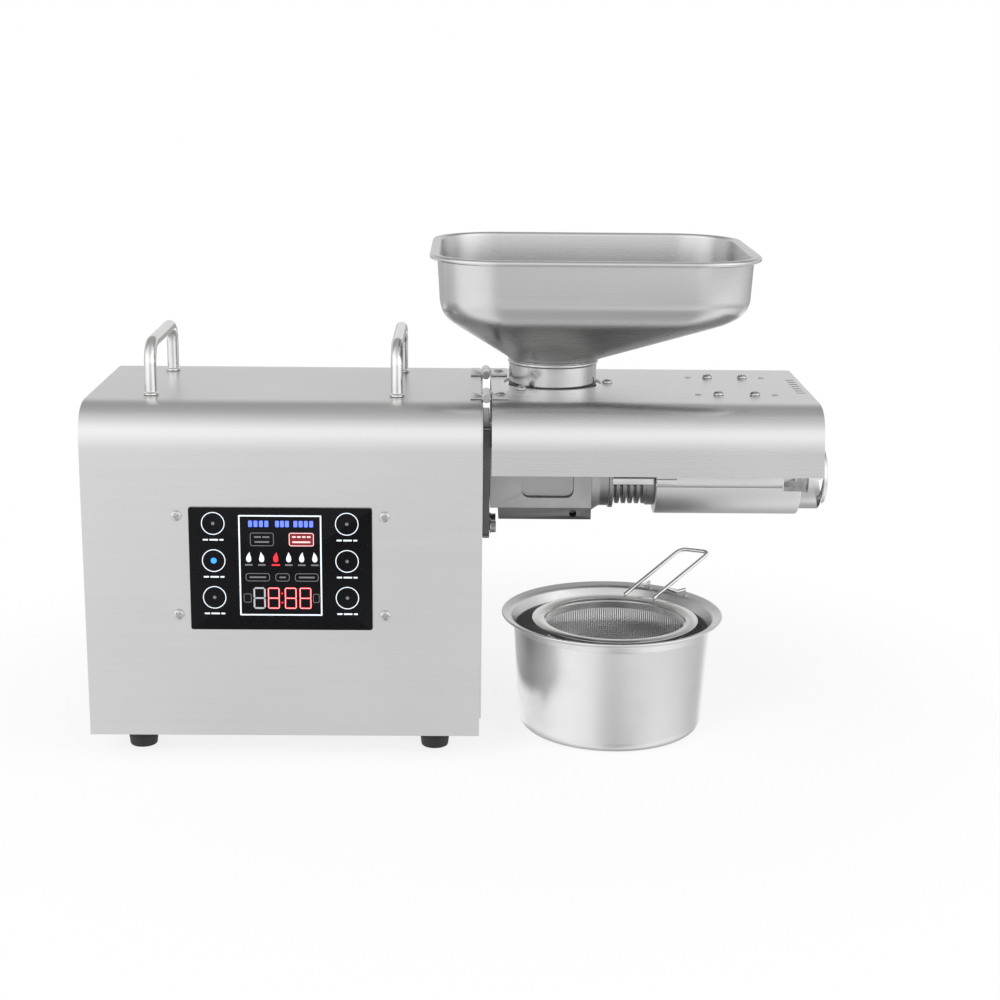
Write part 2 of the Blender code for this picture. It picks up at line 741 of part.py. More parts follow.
def finished(made, origin=(0.0, 0.0, 0.0), parent=None):
    """Smooth shading, the origin at a point of the world and the parent, without moving the shape."""
    made.data.shade_smooth()
    made.data.set_sharp_from_angle(angle=SHARP_ANGLE)
    made.data.name = made.name
    made.data.transform(Matrix.Translation(-Vector(origin)))
    made.location = Vector(origin) - (Vector(parent["place"]) if parent else Vector())
    made.parent = parent
    return made


def joint_empty(name, place, parent=None):
    """An empty on a joint's axis, which carries the pieces that move about it."""
    made = bpy.data.objects.new(name, None)
    made.empty_display_size = EDGE_RADIUS
    made["place"] = tuple(place)
    made.location = Vector(place) - (Vector(parent["place"]) if parent else Vector())
    made.parent = parent
    bpy.context.scene.collection.objects.link(made)
    return made


def body(name, shape, material, cuts=(), joins=(), origin=(0.0, 0.0, 0.0), parent=None):
    """One sub-part: a base shape, what is joined to it and what is cut from it."""
    made = new_object(name, shape, material)
    fuse(made, *joins)
    if cuts:
        carve(made, *cuts)
    return finished(made, origin, parent)


# Casing


def hood_path(inset, low):
    """The open outline of the bent hood in Y and Z, front edge first."""
    half = CASE_DEPTH / 2 - inset
    top = CASE_TOP_Z - inset
    radius = EDGE_RADIUS - inset
    path = [(CASE_Y - half, low)]
    path += arc((CASE_Y - half + radius, top - radius), radius, 180, 90, ROUND_STEPS)
    path += arc((CASE_Y + half - radius, top - radius), radius, 90, 0, ROUND_STEPS)
    path.append((CASE_Y + half, low))
    return path


def hood_sheet(low, left, right):
    """The bent sheet itself, as an outline of its own thickness pulled along X."""
    outline = hood_path(0.0, low) + hood_path(SHEET, low)[::-1]
    return prism(outline, "X", left, right)


def hinge_middles():
    return [CASE_Y + side * HINGE_SPACING / 2 for side in (-1, 1)]


def handle_places():
    return {
        "handle_left": CASE_LEFT_X + HANDLE_FROM_LEFT,
        "handle_right": CASE_RIGHT_X - HANDLE_FROM_RIGHT,
    }


def panel_screw_places():
    middle = PANEL_Z + PANEL_SCREW_RISE
    columns = (PANEL_X - PANEL_SCREW_SPAN_X / 2, PANEL_X + PANEL_SCREW_SPAN_X / 2)
    rows = (middle + PANEL_SCREW_SPAN_Z / 2, middle - PANEL_SCREW_SPAN_Z / 2)
    return [(x, z) for z in rows for x in columns]


def foot_places():
    front = CASE_FRONT_Y + FOOT_INSET_Y
    back = CASE_BACK_Y - FOOT_INSET_Y
    left = CASE_LEFT_X + FOOT_INSET_X
    right = CASE_RIGHT_X - FOOT_INSET_X
    return {
        "foot_front_left": (left, front),
        "foot_front_right": (right, front),
        "foot_back_left": (left, back),
        "foot_back_right": (right, back),
    }


def panel_window(border):
    """The panel's outline in X and Z, made smaller by a border."""
    low = (PANEL_X - PANEL_WIDTH / 2 + border, PANEL_Z - PANEL_HEIGHT / 2 + border)
    high = (PANEL_X + PANEL_WIDTH / 2 - border, PANEL_Z + PANEL_HEIGHT / 2 - border)
    return rounded_box(low, high, PANEL_CORNER)


def casing_wrap():
    """Front, top and back of the casing, bent from one sheet."""
    through = 2 * SHEET
    cuts = [prism(panel_window(PANEL_BORDER), "Y", CASE_FRONT_Y - through, CASE_FRONT_Y + through)]
    for x, z in panel_screw_places():
        hole = SMALL_SHANK_RADIUS + SEAT
        cuts.append(cylinder("Y", (x, z), hole, CASE_FRONT_Y - through, CASE_FRONT_Y + through))
    for x in handle_places().values():
        for side in (-1, 1):
            y = CASE_Y + side * HANDLE_SPAN / 2
            hole = HANDLE_STUD_RADIUS + SEAT
            cuts.append(cylinder("Z", (x, y), hole, CASE_TOP_Z - through, CASE_TOP_Z + through))
    for y in hinge_middles():
        middle = HINGE_X - LEAF_REACH_CASE + LEAF_THICK / 2
        half = LEAF_THICK / 2 + TONGUE_SLOT_EASE
        reach = HINGE_LENGTH / 2 - TONGUE_INSET + SEAT
        low = (middle - half, y - reach, CASE_TOP_Z - through)
        cuts.append(box(low, (middle + half, y + reach, CASE_TOP_Z + through)))
    for index in range(LOUVRE_COUNT):
        x = CASE_LEFT_X + LOUVRE_FROM_LEFT + index * LOUVRE_PITCH
        z = CASE_BASE_Z + LOUVRE_FROM_BASE
        low = (x, CASE_BACK_Y - through, z)
        cuts.append(box(low, (x + LOUVRE_WIDTH, CASE_BACK_Y + through, z + LOUVRE_LENGTH)))
    return body("casing_wrap", hood_sheet(CASE_BASE_Z, CASE_LEFT_X, CASE_RIGHT_X), brushed_steel(), cuts)


def end_plate_outline(low):
    return hood_path(SHEET + SEAT, low)


def left_plate():
    """The left end, with openings for the fan and the power inlet."""
    wide = INLET_WIDTH / 2 - INLET_BODY_MARGIN + SEAT
    tall = INLET_HEIGHT / 2 - INLET_BODY_MARGIN + SEAT
    inlet = rounded_box((INLET_Y - wide, INLET_Z - tall), (INLET_Y + wide, INLET_Z + tall), PANEL_CORNER)
    low, high = LEFT_PLATE_X - PLATE, LEFT_PLATE_X + 2 * PLATE
    cuts = [
        cylinder("X", (CASE_Y, FAN_Z), FAN_BORE_RADIUS, low, high, FINE_SIDES),
        prism(inlet, "X", low, high),
    ]
    shape = prism(end_plate_outline(CASE_BASE_Z), "X", LEFT_PLATE_X, LEFT_PLATE_INNER_X)
    return body("left_plate", shape, brushed_steel(), cuts)


def bolt_places():
    first = AXIS_Y - BOLT_AHEAD_OF_AXIS
    return [(first, AXIS_Z - BOLT_BELOW_AXIS), (first + BOLT_SPACING, AXIS_Z - BOLT_BELOW_AXIS)]


def right_plate():
    """The right end, which carries the gearbox inside and the press outside."""
    low, high = RIGHT_PLATE_INNER_X - PLATE, RIGHT_PLATE_OUTER_X + PLATE
    cuts = [cylinder("X", PRESS_AXIS, PASS_HOLE_RADIUS, low, high, FINE_SIDES)]
    cuts += [cylinder("X", place, BOLT_SHANK_RADIUS + SEAT, low, high) for place in bolt_places()]
    outline = end_plate_outline(CASE_BASE_Z + RIGHT_PLATE_LIFT)
    shape = prism(outline, "X", RIGHT_PLATE_INNER_X, RIGHT_PLATE_OUTER_X)
    return body("right_plate", shape, brushed_steel(), cuts)


def base_tray():
    """The floor of the casing, a shallow tray with a hole for each foot's stud."""
    half = CASE_DEPTH / 2 - SHEET - SEAT
    low = (LEFT_PLATE_INNER_X + SEAT, CASE_Y - half, CASE_BASE_Z)
    high = (RIGHT_PLATE_INNER_X - SEAT, CASE_Y + half, CASE_BASE_Z + TRAY_FLANGE)
    inner_low = (low[0] + SHEET, low[1] + SHEET, TRAY_FLOOR_Z)
    inner_high = (high[0] - SHEET, high[1] - SHEET, high[2] + PLATE)
    cuts = [box(inner_low, inner_high)]
    made = new_object("base_tray", box(low, high), zinc())
    carve(made, *cuts)
    hole = FOOT_STUD_RADIUS + SEAT
    for place in foot_places().values():
        carve(made, cylinder("Z", place, hole, CASE_BASE_Z - PLATE, TRAY_FLOOR_Z + PLATE))
    return finished(made)


def foot(name, place):
    """A rubber foot, hollow below, with the stud that holds it in the tray."""
    top = FOOT_HEIGHT
    profile = [
        (0, FOOT_RECESS_DEPTH),
        (FOOT_RECESS_RADIUS, FOOT_RECESS_DEPTH),
        (FOOT_RECESS_RADIUS, 0),
        (FOOT_BASE_RADIUS - FOOT_ROUND, 0),
        (FOOT_BASE_RADIUS, FOOT_ROUND),
        (FOOT_TOP_RADIUS, top - FOOT_ROUND),
        (FOOT_TOP_RADIUS - FOOT_ROUND, top),
        (FOOT_STUD_RADIUS, top),
        (FOOT_STUD_RADIUS, top + FOOT_STUD_LENGTH),
        (0, top + FOOT_STUD_LENGTH),
    ]
    return body(name, turned(profile, "Z", place, FOOT_SIDES), rubber(), origin=(*place, top))


def carrying_handle(name, x):
    """A bent rod with a foot washer and a threaded end at each side."""
    top = CASE_TOP_Z + HANDLE_RISE
    sides = (CASE_Y - HANDLE_SPAN / 2, CASE_Y + HANDLE_SPAN / 2)
    corners = [(x, sides[0], CASE_TOP_Z + HANDLE_FOOT_HEIGHT + SEAT), (x, sides[0], top)]
    corners += [(x, sides[1], top), (x, sides[1], CASE_TOP_Z + HANDLE_FOOT_HEIGHT + SEAT)]
    rod = rounded_path(corners, HANDLE_BEND, ROUND_STEPS)
    low = CASE_TOP_Z + SEAT
    levels = (
        (low - HANDLE_STUD_LENGTH, HANDLE_STUD_RADIUS),
        (low, HANDLE_STUD_RADIUS),
        (low, HANDLE_FOOT_RADIUS),
        (low + HANDLE_FOOT_HEIGHT, HANDLE_FOOT_RADIUS),
    )
    rings = []
    across = Vector((1, 0, 0))
    for level, radius in levels:
        rings.append([(x + radius * cos(a), sides[0] + radius * sin(a), level) for a in turns(ROD_SIDES)])
    for index, point in enumerate(rod):
        before = rod[max(index - 1, 0)]
        after = rod[min(index + 1, len(rod) - 1)]
        inward = (after - before).normalized().cross(across)
        wide = across * HANDLE_ROD_RADIUS
        deep = inward * HANDLE_ROD_RADIUS
        rings.append([point + wide * cos(a) - deep * sin(a) for a in turns(ROD_SIDES)])
    for level, radius in reversed(levels):
        rings.append([(x + radius * cos(a), sides[1] - radius * sin(a), level) for a in turns(ROD_SIDES)])
    return body(name, skin(rings), polished_steel(), origin=(x, CASE_Y, CASE_TOP_Z))


# Control panel


def control_glass():
    outer = CASE_FRONT_Y - SEAT - PANEL_THICK
    return body("control_glass", prism(panel_window(0.0), "Y", outer, outer + PANEL_THICK), black_glass())


def control_board():
    """The board behind the glass, standing in the casing's window, with a buzzer and a plug socket."""
    front = CASE_FRONT_Y
    back = front + BOARD_THICK
    joins = [
        cylinder("Y", (PANEL_X, PANEL_Z), BUZZER_RADIUS, back - SEAT, back + BOARD_PART_HEIGHT),
        box(
            (PANEL_X + 3 * BUZZER_RADIUS, back - SEAT, PANEL_Z - BUZZER_RADIUS),
            (PANEL_X + 6 * BUZZER_RADIUS, back + BOARD_PART_HEIGHT, PANEL_Z + BUZZER_RADIUS),
        ),
    ]
    shape = prism(panel_window(PANEL_BORDER + SEAT), "Y", front, back)
    return body("control_board", shape, circuit_board(), (), joins)


def cross_cut(head, face, along, direction):
    """The cross recess of a screw head, as two crossed bars."""
    axis, (u, v) = head
    shapes = []
    for wide, high in ((CROSS_REACH, CROSS_WIDTH / 2), (CROSS_WIDTH / 2, CROSS_REACH)):
        outline = ((u - wide, v - high), (u + wide, v - high), (u + wide, v + high), (u - wide, v + high))
        shapes.append(prism(outline, axis, face - along * direction, face + along * direction))
    return shapes


def screw(name, axis, place, seat, direction, sizes, material, parent=None):
    """A domed screw; direction points out of the head along the axis."""
    head, height, shank, length = sizes
    profile = [
        (0, seat - direction * length),
        (shank, seat - direction * length),
        (shank, seat),
        (head, seat),
        (head, seat + direction * height * HEAD_EDGE_SHARE),
        (head * HEAD_FLAT_SHARE, seat + direction * height),
        (0, seat + direction * height),
    ]
    made = new_object(name, turned(profile, axis, place, SMALL_SIDES), material)
    for cutter in cross_cut((axis, place), seat + direction * height, CROSS_DEPTH, direction):
        carve(made, cutter)
    return finished(made, on_axis(axis, seat, *place), parent)


def panel_screws():
    sizes = (SMALL_HEAD_RADIUS, SMALL_HEAD_HEIGHT, SMALL_SHANK_RADIUS, SMALL_SHANK_LENGTH)
    for number, place in enumerate(panel_screw_places(), 1):
        screw(f"panel_screw_{number}", "Y", place, CASE_FRONT_Y - SEAT, -1, sizes, polished_steel())


# Drive inside the casing


def motor_housing():
    centre = PRESS_AXIS
    bore = MOTOR_SHAFT_RADIUS + RUN
    inner = MOTOR_RADIUS - MOTOR_WALL
    profile = [
        (bore, MOTOR_X),
        (MOTOR_RADIUS - MOTOR_WALL, MOTOR_X),
        (MOTOR_RADIUS, MOTOR_X + MOTOR_WALL),
        (MOTOR_RADIUS, MOTOR_END_X),
        (bore, MOTOR_END_X),
        (bore, MOTOR_END_X - MOTOR_WALL),
        (inner, MOTOR_END_X - MOTOR_WALL),
        (inner, MOTOR_X + MOTOR_WALL),
        (bore, MOTOR_X + MOTOR_WALL),
    ]
    cuts = []
    for angle in turns(MOTOR_VENT_COUNT):
        place = (AXIS_Y + MOTOR_VENT_CIRCLE * cos(angle), AXIS_Z + MOTOR_VENT_CIRCLE * sin(angle))
        cuts.append(cylinder("X", place, MOTOR_VENT_RADIUS, MOTOR_X - MOTOR_WALL, MOTOR_X + 2 * MOTOR_WALL))
    return body("motor_housing", turned(profile, "X", centre, FINE_SIDES, looped=True), zinc(), cuts)


def motor_stator():
    start = MOTOR_X + STATOR_INSET
    outer = MOTOR_RADIUS - MOTOR_WALL - SEAT
    profile = [(STATOR_BORE_RADIUS, start), (outer, start)]
    profile += [(outer, start + STATOR_LENGTH), (STATOR_BORE_RADIUS, start + STATOR_LENGTH)]
    return body("motor_stator", turned(profile, "X", PRESS_AXIS, FINE_SIDES, looped=True), copper())


def motor_bracket():
    """A cradle from the tray floor to the underside of the motor."""
    right = MOTOR_END_X - BRACKET_FROM_FRONT
    half = BRACKET_HALF_WIDTH
    low = TRAY_FLOOR_Z + SEAT
    seat = MOTOR_RADIUS + SEAT
    lift = sqrt(seat**2 - half**2)
    outline = [(AXIS_Y - half, low), (AXIS_Y - half + BRACKET_LEG, low)]
    deck = AXIS_Z - seat - BRACKET_DECK
    outline += [(AXIS_Y - half + BRACKET_LEG, deck), (AXIS_Y + half - BRACKET_LEG, deck)]
    outline += [(AXIS_Y + half - BRACKET_LEG, low), (AXIS_Y + half, low)]
    end = atan2(-lift, half) * 180 / pi
    outline += arc(PRESS_AXIS, seat, end, -180 - end, 2 * ROUND_STEPS)
    return body("motor_bracket", prism(outline, "X", right - BRACKET_LENGTH, right), zinc())


def gearbox_housing():
    """A can with a ring inside; the motor's shaft comes in behind and the drive goes out in front."""
    rear = MOTOR_SHAFT_RADIUS + RUN
    front = OUTPUT_SHAFT_RADIUS + RUN
    profile = [
        (rear, GEARBOX_X),
        (GEARBOX_RADIUS, GEARBOX_X),
        (GEARBOX_RADIUS, GEARBOX_END_X - GEARBOX_FLANGE_LENGTH),
        (GEARBOX_FLANGE_RADIUS, GEARBOX_END_X - GEARBOX_FLANGE_LENGTH),
        (GEARBOX_FLANGE_RADIUS, GEARBOX_END_X),
        (front, GEARBOX_END_X),
        (front, GEARBOX_END_X - GEARBOX_FRONT_WALL),
        (RING_RADIUS, GEARBOX_END_X - GEARBOX_FRONT_WALL),
        (RING_RADIUS, GEARBOX_X + GEARBOX_WALL),
        (rear, GEARBOX_X + GEARBOX_WALL),
    ]
    hole = BOLT_SHANK_RADIUS + SEAT
    low, high = GEARBOX_END_X - 2 * GEARBOX_FLANGE_LENGTH, GEARBOX_END_X + SEAT
    cuts = [cylinder("X", place, hole, low, high) for place in bolt_places()]
    return body("gearbox_housing", turned(profile, "X", PRESS_AXIS, FINE_SIDES, looped=True), zinc(), cuts)


def planet_wheels(start, stop):
    """Three plain rollers that stand for the planet wheels, without their teeth."""
    found = []
    for angle in turns(PLANET_COUNT):
        place = (AXIS_Y + PLANET_CIRCLE * cos(angle), AXIS_Z + PLANET_CIRCLE * sin(angle))
        found.append(cylinder("X", place, PLANET_RADIUS, start, stop))
    return found


def motor_rotor(parent):
    """The rotor with its shaft; the end in the gearbox is the first sun wheel."""
    start = MOTOR_X + STATOR_INSET + EASE
    stop = MOTOR_X + STATOR_INSET + STATOR_LENGTH - EASE
    tail = MOTOR_X - EASE
    sun = GEARBOX_X + GEARBOX_WALL + EASE / 2
    profile = [
        (0, tail),
        (MOTOR_SHAFT_RADIUS, tail),
        (MOTOR_SHAFT_RADIUS, start),
        (ROTOR_RADIUS, start),
        (ROTOR_RADIUS, stop),
        (MOTOR_SHAFT_RADIUS, stop),
        (MOTOR_SHAFT_RADIUS, sun),
        (SUN_RADIUS - RUN, sun),
        (SUN_RADIUS - RUN, FIRST_CARRIER_X - EASE / 2),
        (0, FIRST_CARRIER_X - EASE / 2),
    ]
    shape = turned(profile, "X", PRESS_AXIS, MIDDLE_SIDES)
    return body("motor_rotor", shape, satin_steel(), origin=parent["place"], parent=parent)


def stage_carrier(parent):
    """The first planet stage, whose shaft end is the second sun wheel."""
    profile = [
        (0, FIRST_CARRIER_X),
        (CARRIER_RADIUS, FIRST_CARRIER_X),
        (CARRIER_RADIUS, FIRST_CARRIER_X + CARRIER_THICK),
        (SUN_RADIUS - RUN, FIRST_CARRIER_X + CARRIER_THICK),
        (SUN_RADIUS - RUN, SECOND_CARRIER_X - EASE / 2),
        (0, SECOND_CARRIER_X - EASE / 2),
    ]
    shape = turned(profile, "X", PRESS_AXIS, MIDDLE_SIDES)
    joins = planet_wheels(FIRST_PLANETS_X, FIRST_CARRIER_X + EASE)
    return body("stage_carrier", shape, satin_steel(), (), joins, parent["place"], parent)


def output_drive(parent):
    """The second planet stage with the output shaft and the six-sided socket that drives the worm."""
    profile = [
        (0, SECOND_CARRIER_X),
        (CARRIER_RADIUS, SECOND_CARRIER_X),
        (CARRIER_RADIUS, SECOND_CARRIER_X + CARRIER_THICK),
        (OUTPUT_SHAFT_RADIUS, SECOND_CARRIER_X + CARRIER_THICK),
        (OUTPUT_SHAFT_RADIUS, COUPLING_X),
        (COUPLING_RADIUS, COUPLING_X),
        (COUPLING_RADIUS, COUPLING_END_X),
        (0, COUPLING_END_X),
    ]
    shape = turned(profile, "X", PRESS_AXIS, MIDDLE_SIDES)
    joins = planet_wheels(SECOND_PLANETS_X, SECOND_CARRIER_X + EASE)
    socket = regular(PRESS_AXIS, HEX_FLATS + 2 * SEAT, 6)
    depth = COUPLING_END_X - HEX_DEPTH - SEAT
    cuts = [prism(socket, "X", depth, COUPLING_END_X + EASE)]
    return body("output_drive", shape, satin_steel(), cuts, joins, parent["place"], parent)


def power_board():
    """The supply board on its four spacers, with its capacitor, relay and heat sink."""
    right = RIGHT_PLATE_INNER_X - POWER_FROM_RIGHT
    left = right - POWER_LENGTH
    front = CASE_Y - POWER_WIDTH / 2
    back = CASE_Y + POWER_WIDTH / 2
    floor = TRAY_FLOOR_Z + SEAT
    low = floor + POWER_SPACER_HEIGHT
    top = low + POWER_BOARD_THICK
    joins = []
    for x in (left + POWER_SPACER_INSET, right - POWER_SPACER_INSET):
        for y in (front + POWER_SPACER_INSET, back - POWER_SPACER_INSET):
            joins.append(cylinder("Z", (x, y), POWER_SPACER_RADIUS, floor, low + SEAT))
    capacitor = (left + 2 * CAPACITOR_RADIUS, front + 2 * CAPACITOR_RADIUS)
    joins.append(cylinder("Z", capacitor, CAPACITOR_RADIUS, top - SEAT, top + CAPACITOR_HEIGHT, MIDDLE_SIDES))
    relay = (right - 2 * RELAY_SIZE, back - 2 * RELAY_SIZE, top - SEAT)
    joins.append(box(relay, (relay[0] + RELAY_SIZE, relay[1] + RELAY_SIZE, top + RELAY_SIZE)))
    sink = (right - SINK_LENGTH - POWER_SPACER_INSET, front + POWER_SPACER_INSET, top - SEAT)
    joins.append(box(sink, (sink[0] + SINK_LENGTH, sink[1] + SINK_THICK, top + SINK_HEIGHT)))
    return body("power_board", box((left, front, low), (right, back, top)), circuit_board(), (), joins)


# Cooling fan and power inlet on the left


def ring_sector(middle, inner, outer, start, stop, low, high):
    outline = arc(middle, outer, start, stop, ROUND_STEPS) + arc(middle, inner, stop, start, ROUND_STEPS)
    return prism(outline, "X", low, high)


def fan_guard():
    """A round grille of rings and spokes in front of the fan opening."""
    middle = (CASE_Y, FAN_Z)
    high = LEFT_PLATE_X - SEAT
    low = high - GUARD_THICK
    half = FAN_SIZE / 2
    outline = rounded_box((CASE_Y - half, FAN_Z - half), (CASE_Y + half, FAN_Z + half), FAN_CORNER)
    pitch = (FAN_BORE_RADIUS - GUARD_BAR) / (GUARD_RING_COUNT + 1)
    cuts = []
    for ring in range(1, GUARD_RING_COUNT + 1):
        inner = ring * pitch + GUARD_BAR / 2
        outer = (ring + 1) * pitch - GUARD_BAR / 2
        bar = GUARD_BAR / 2 / inner * 180 / pi
        for quarter in range(4):
            start = 45 + 90 * quarter + bar
            cuts.append(ring_sector(middle, inner, outer, start, start + 90 - 2 * bar, low - EASE, high + EASE))
    return body("fan_guard", prism(outline, "X", low, high), black_plastic(), cuts)


def fan_frame():
    """A square frame with the motor hub held by four struts at its inner end."""
    half = FAN_SIZE / 2
    end = FAN_X + FAN_DEPTH
    outline = rounded_box((CASE_Y - half, FAN_Z - half), (CASE_Y + half, FAN_Z + half), FAN_CORNER)
    made = new_object("fan_frame", prism(outline, "X", FAN_X, end), black_plastic())
    carve(made, cylinder("X", (CASE_Y, FAN_Z), FAN_BORE_RADIUS, FAN_X - EASE, end + EASE, FINE_SIDES))
    strut = end - FAN_STRUT_DEPTH
    reach = FAN_BORE_RADIUS + EASE
    wide = FAN_STRUT_WIDTH / 2
    fuse(
        made,
        box((strut, CASE_Y - reach, FAN_Z - wide), (end, CASE_Y + reach, FAN_Z + wide)),
        box((strut, CASE_Y - wide, FAN_Z - reach), (end, CASE_Y + wide, FAN_Z + reach)),
        cylinder("X", (CASE_Y, FAN_Z), FAN_HUB_RADIUS, strut, end, MIDDLE_SIDES),
    )
    return finished(made)


def fan_impeller(parent):
    """A hub with pitched blades."""
    place = (CASE_Y, FAN_Z)
    low = FAN_X + EASE
    high = FAN_X + FAN_DEPTH - FAN_STRUT_DEPTH - SEAT
    hub = cylinder("X", place, FAN_HUB_RADIUS, low, high, MIDDLE_SIDES)
    tip = FAN_BORE_RADIUS - FAN_TIP_CLEARANCE
    depth = high - low
    chord = min(FAN_BLADE_CHORD, (depth - EASE) / cos(radians(FAN_BLADE_PITCH)))
    blades = []
    for turn in turns(FAN_BLADE_COUNT):
        blade = box(
            (-chord / 2, FAN_HUB_RADIUS - EASE, -FAN_BLADE_THICK / 2),
            (chord / 2, tip - EASE, FAN_BLADE_THICK / 2),
        )
        pose = Matrix.Translation(((low + high) / 2, *place)) @ Matrix.Rotation(turn, 4, "X")
        pose @= Matrix.Rotation(radians(FAN_BLADE_PITCH), 4, "Y")
        blade.transform(pose)
        blades.append(blade)
    return body("fan_impeller", hub, black_plastic(), (), blades, parent["place"], parent)


def power_inlet():
    """A socket for an appliance lead, with the opening for the rocker switch above it."""
    low = (INLET_Y - INLET_WIDTH / 2, INLET_Z - INLET_HEIGHT / 2)
    high = (INLET_Y + INLET_WIDTH / 2, INLET_Z + INLET_HEIGHT / 2)
    margin = INLET_BODY_MARGIN
    inner_low = (low[0] + margin, low[1] + margin)
    inner_high = (high[0] - margin, high[1] - margin)
    flange = prism(rounded_box(low, high, PANEL_CORNER), "X", INLET_FACE_X, INLET_FACE_X + INLET_FLANGE)
    deep = INLET_FACE_X + INLET_BODY_DEPTH
    made = new_object("power_inlet", flange, black_plastic())
    fuse(made, prism(rounded_box(inner_low, inner_high, PANEL_CORNER), "X", INLET_FACE_X + SEAT, deep))
    half = SOCKET_WIDTH / 2
    floor = INLET_Z - SOCKET_BELOW_MIDDLE - SOCKET_HEIGHT / 2
    bevel = SOCKET_HEIGHT / 4
    outline = [
        (INLET_Y - half, floor),
        (INLET_Y + half, floor),
        (INLET_Y + half, floor + SOCKET_HEIGHT - bevel),
        (INLET_Y + half - bevel, floor + SOCKET_HEIGHT),
        (INLET_Y - half + bevel, floor + SOCKET_HEIGHT),
        (INLET_Y - half, floor + SOCKET_HEIGHT - bevel),
    ]
    pocket = rocker_outline(SEAT)
    carve(
        made,
        prism(outline, "X", INLET_FACE_X - EASE, INLET_FACE_X + SOCKET_DEPTH),
        prism(pocket, "X", INLET_FACE_X - EASE, INLET_FACE_X + ROCKER_POCKET_DEPTH),
    )
    bottom = INLET_FACE_X + SOCKET_DEPTH
    pins = []
    for step in (-1, 0, 1):
        y = INLET_Y + step * PIN_SPACING
        z = floor + SOCKET_HEIGHT / 2 + (PIN_HEIGHT / 2 if step == 0 else -PIN_HEIGHT / 2)
        corner = (bottom - PIN_LENGTH, y - PIN_THICK / 2, z - PIN_HEIGHT / 2)
        pins.append(box(corner, (bottom + SEAT, y + PIN_THICK / 2, z + PIN_HEIGHT / 2)))
    fuse(made, *pins)
    return finished(made)


def rocker_outline(ease):
    low = (INLET_Y - ROCKER_WIDTH / 2 - ease, ROCKER_Z - ROCKER_HEIGHT / 2 - ease)
    high = (INLET_Y + ROCKER_WIDTH / 2 + ease, ROCKER_Z + ROCKER_HEIGHT / 2 + ease)
    return ((low[0], low[1]), (high[0], low[1]), (high[0], high[1]), (low[0], high[1]))


def rocker_key(parent):
    """The switch key, wedge-shaped so that either half can be pressed in, on its cross pin."""
    front = INLET_FACE_X + ROCKER_RIM_DROP
    inner = front + ROCKER_BODY_DEPTH
    half = ROCKER_HEIGHT / 2 - 2 * SEAT
    drop = half * tan(radians(ROCKER_TILT))
    reach = half * ROCKER_BACK_SHARE
    outline = [
        (front + drop, ROCKER_Z - half),
        (front, ROCKER_Z),
        (front + drop, ROCKER_Z + half),
        (inner - drop, ROCKER_Z + reach),
        (inner - drop, ROCKER_Z - reach),
    ]
    wide = ROCKER_WIDTH / 2 - SEAT
    shape = prism(outline, "Y", INLET_Y - wide, INLET_Y + wide)
    made = body("rocker_key", shape, black_plastic(), origin=parent["place"], parent=parent)
    made.rotation_euler.y = radians(ROCKER_TILT)
    return made


# Press outside the casing


def mount_flange():
    """The plate between the right end of the casing and the feed block."""
    outline = rounded_box(
        (AXIS_Y - FLANGE_HALF_WIDTH, AXIS_Z - FLANGE_BELOW_AXIS),
        (AXIS_Y + FLANGE_HALF_WIDTH, AXIS_Z + FLANGE_ABOVE_AXIS),
        FLANGE_CORNER,
    )
    low, high = FLANGE_X - EASE, FLANGE_X + FLANGE_THICK + EASE
    cuts = [cylinder("X", PRESS_AXIS, PASS_HOLE_RADIUS, low, high, FINE_SIDES)]
    cuts += [cylinder("X", place, BOLT_SHANK_RADIUS + SEAT, low, high) for place in bolt_places()]
    return body("mount_flange", prism(outline, "X", FLANGE_X, FLANGE_X + FLANGE_THICK), satin_steel(), cuts)


def flange_bolts():
    """Hexagon bolts with washers through the flange and the casing's end."""
    seat = FLANGE_X + FLANGE_THICK + SEAT
    tip = RIGHT_PLATE_INNER_X - BOLT_SHANK_PAST_PLATE
    for number, place in enumerate(bolt_places(), 1):
        washer = cylinder("X", place, BOLT_WASHER_RADIUS, seat, seat + BOLT_WASHER_HEIGHT, MIDDLE_SIDES)
        head = seat + BOLT_WASHER_HEIGHT
        joins = [
            prism(regular(place, BOLT_HEAD_FLATS, 6), "X", head - SEAT, head + BOLT_HEAD_HEIGHT),
            cylinder("X", place, BOLT_SHANK_RADIUS, tip, seat + SEAT),
        ]
        body(f"flange_bolt_{number}", washer, zinc(), (), joins, (seat, *place))


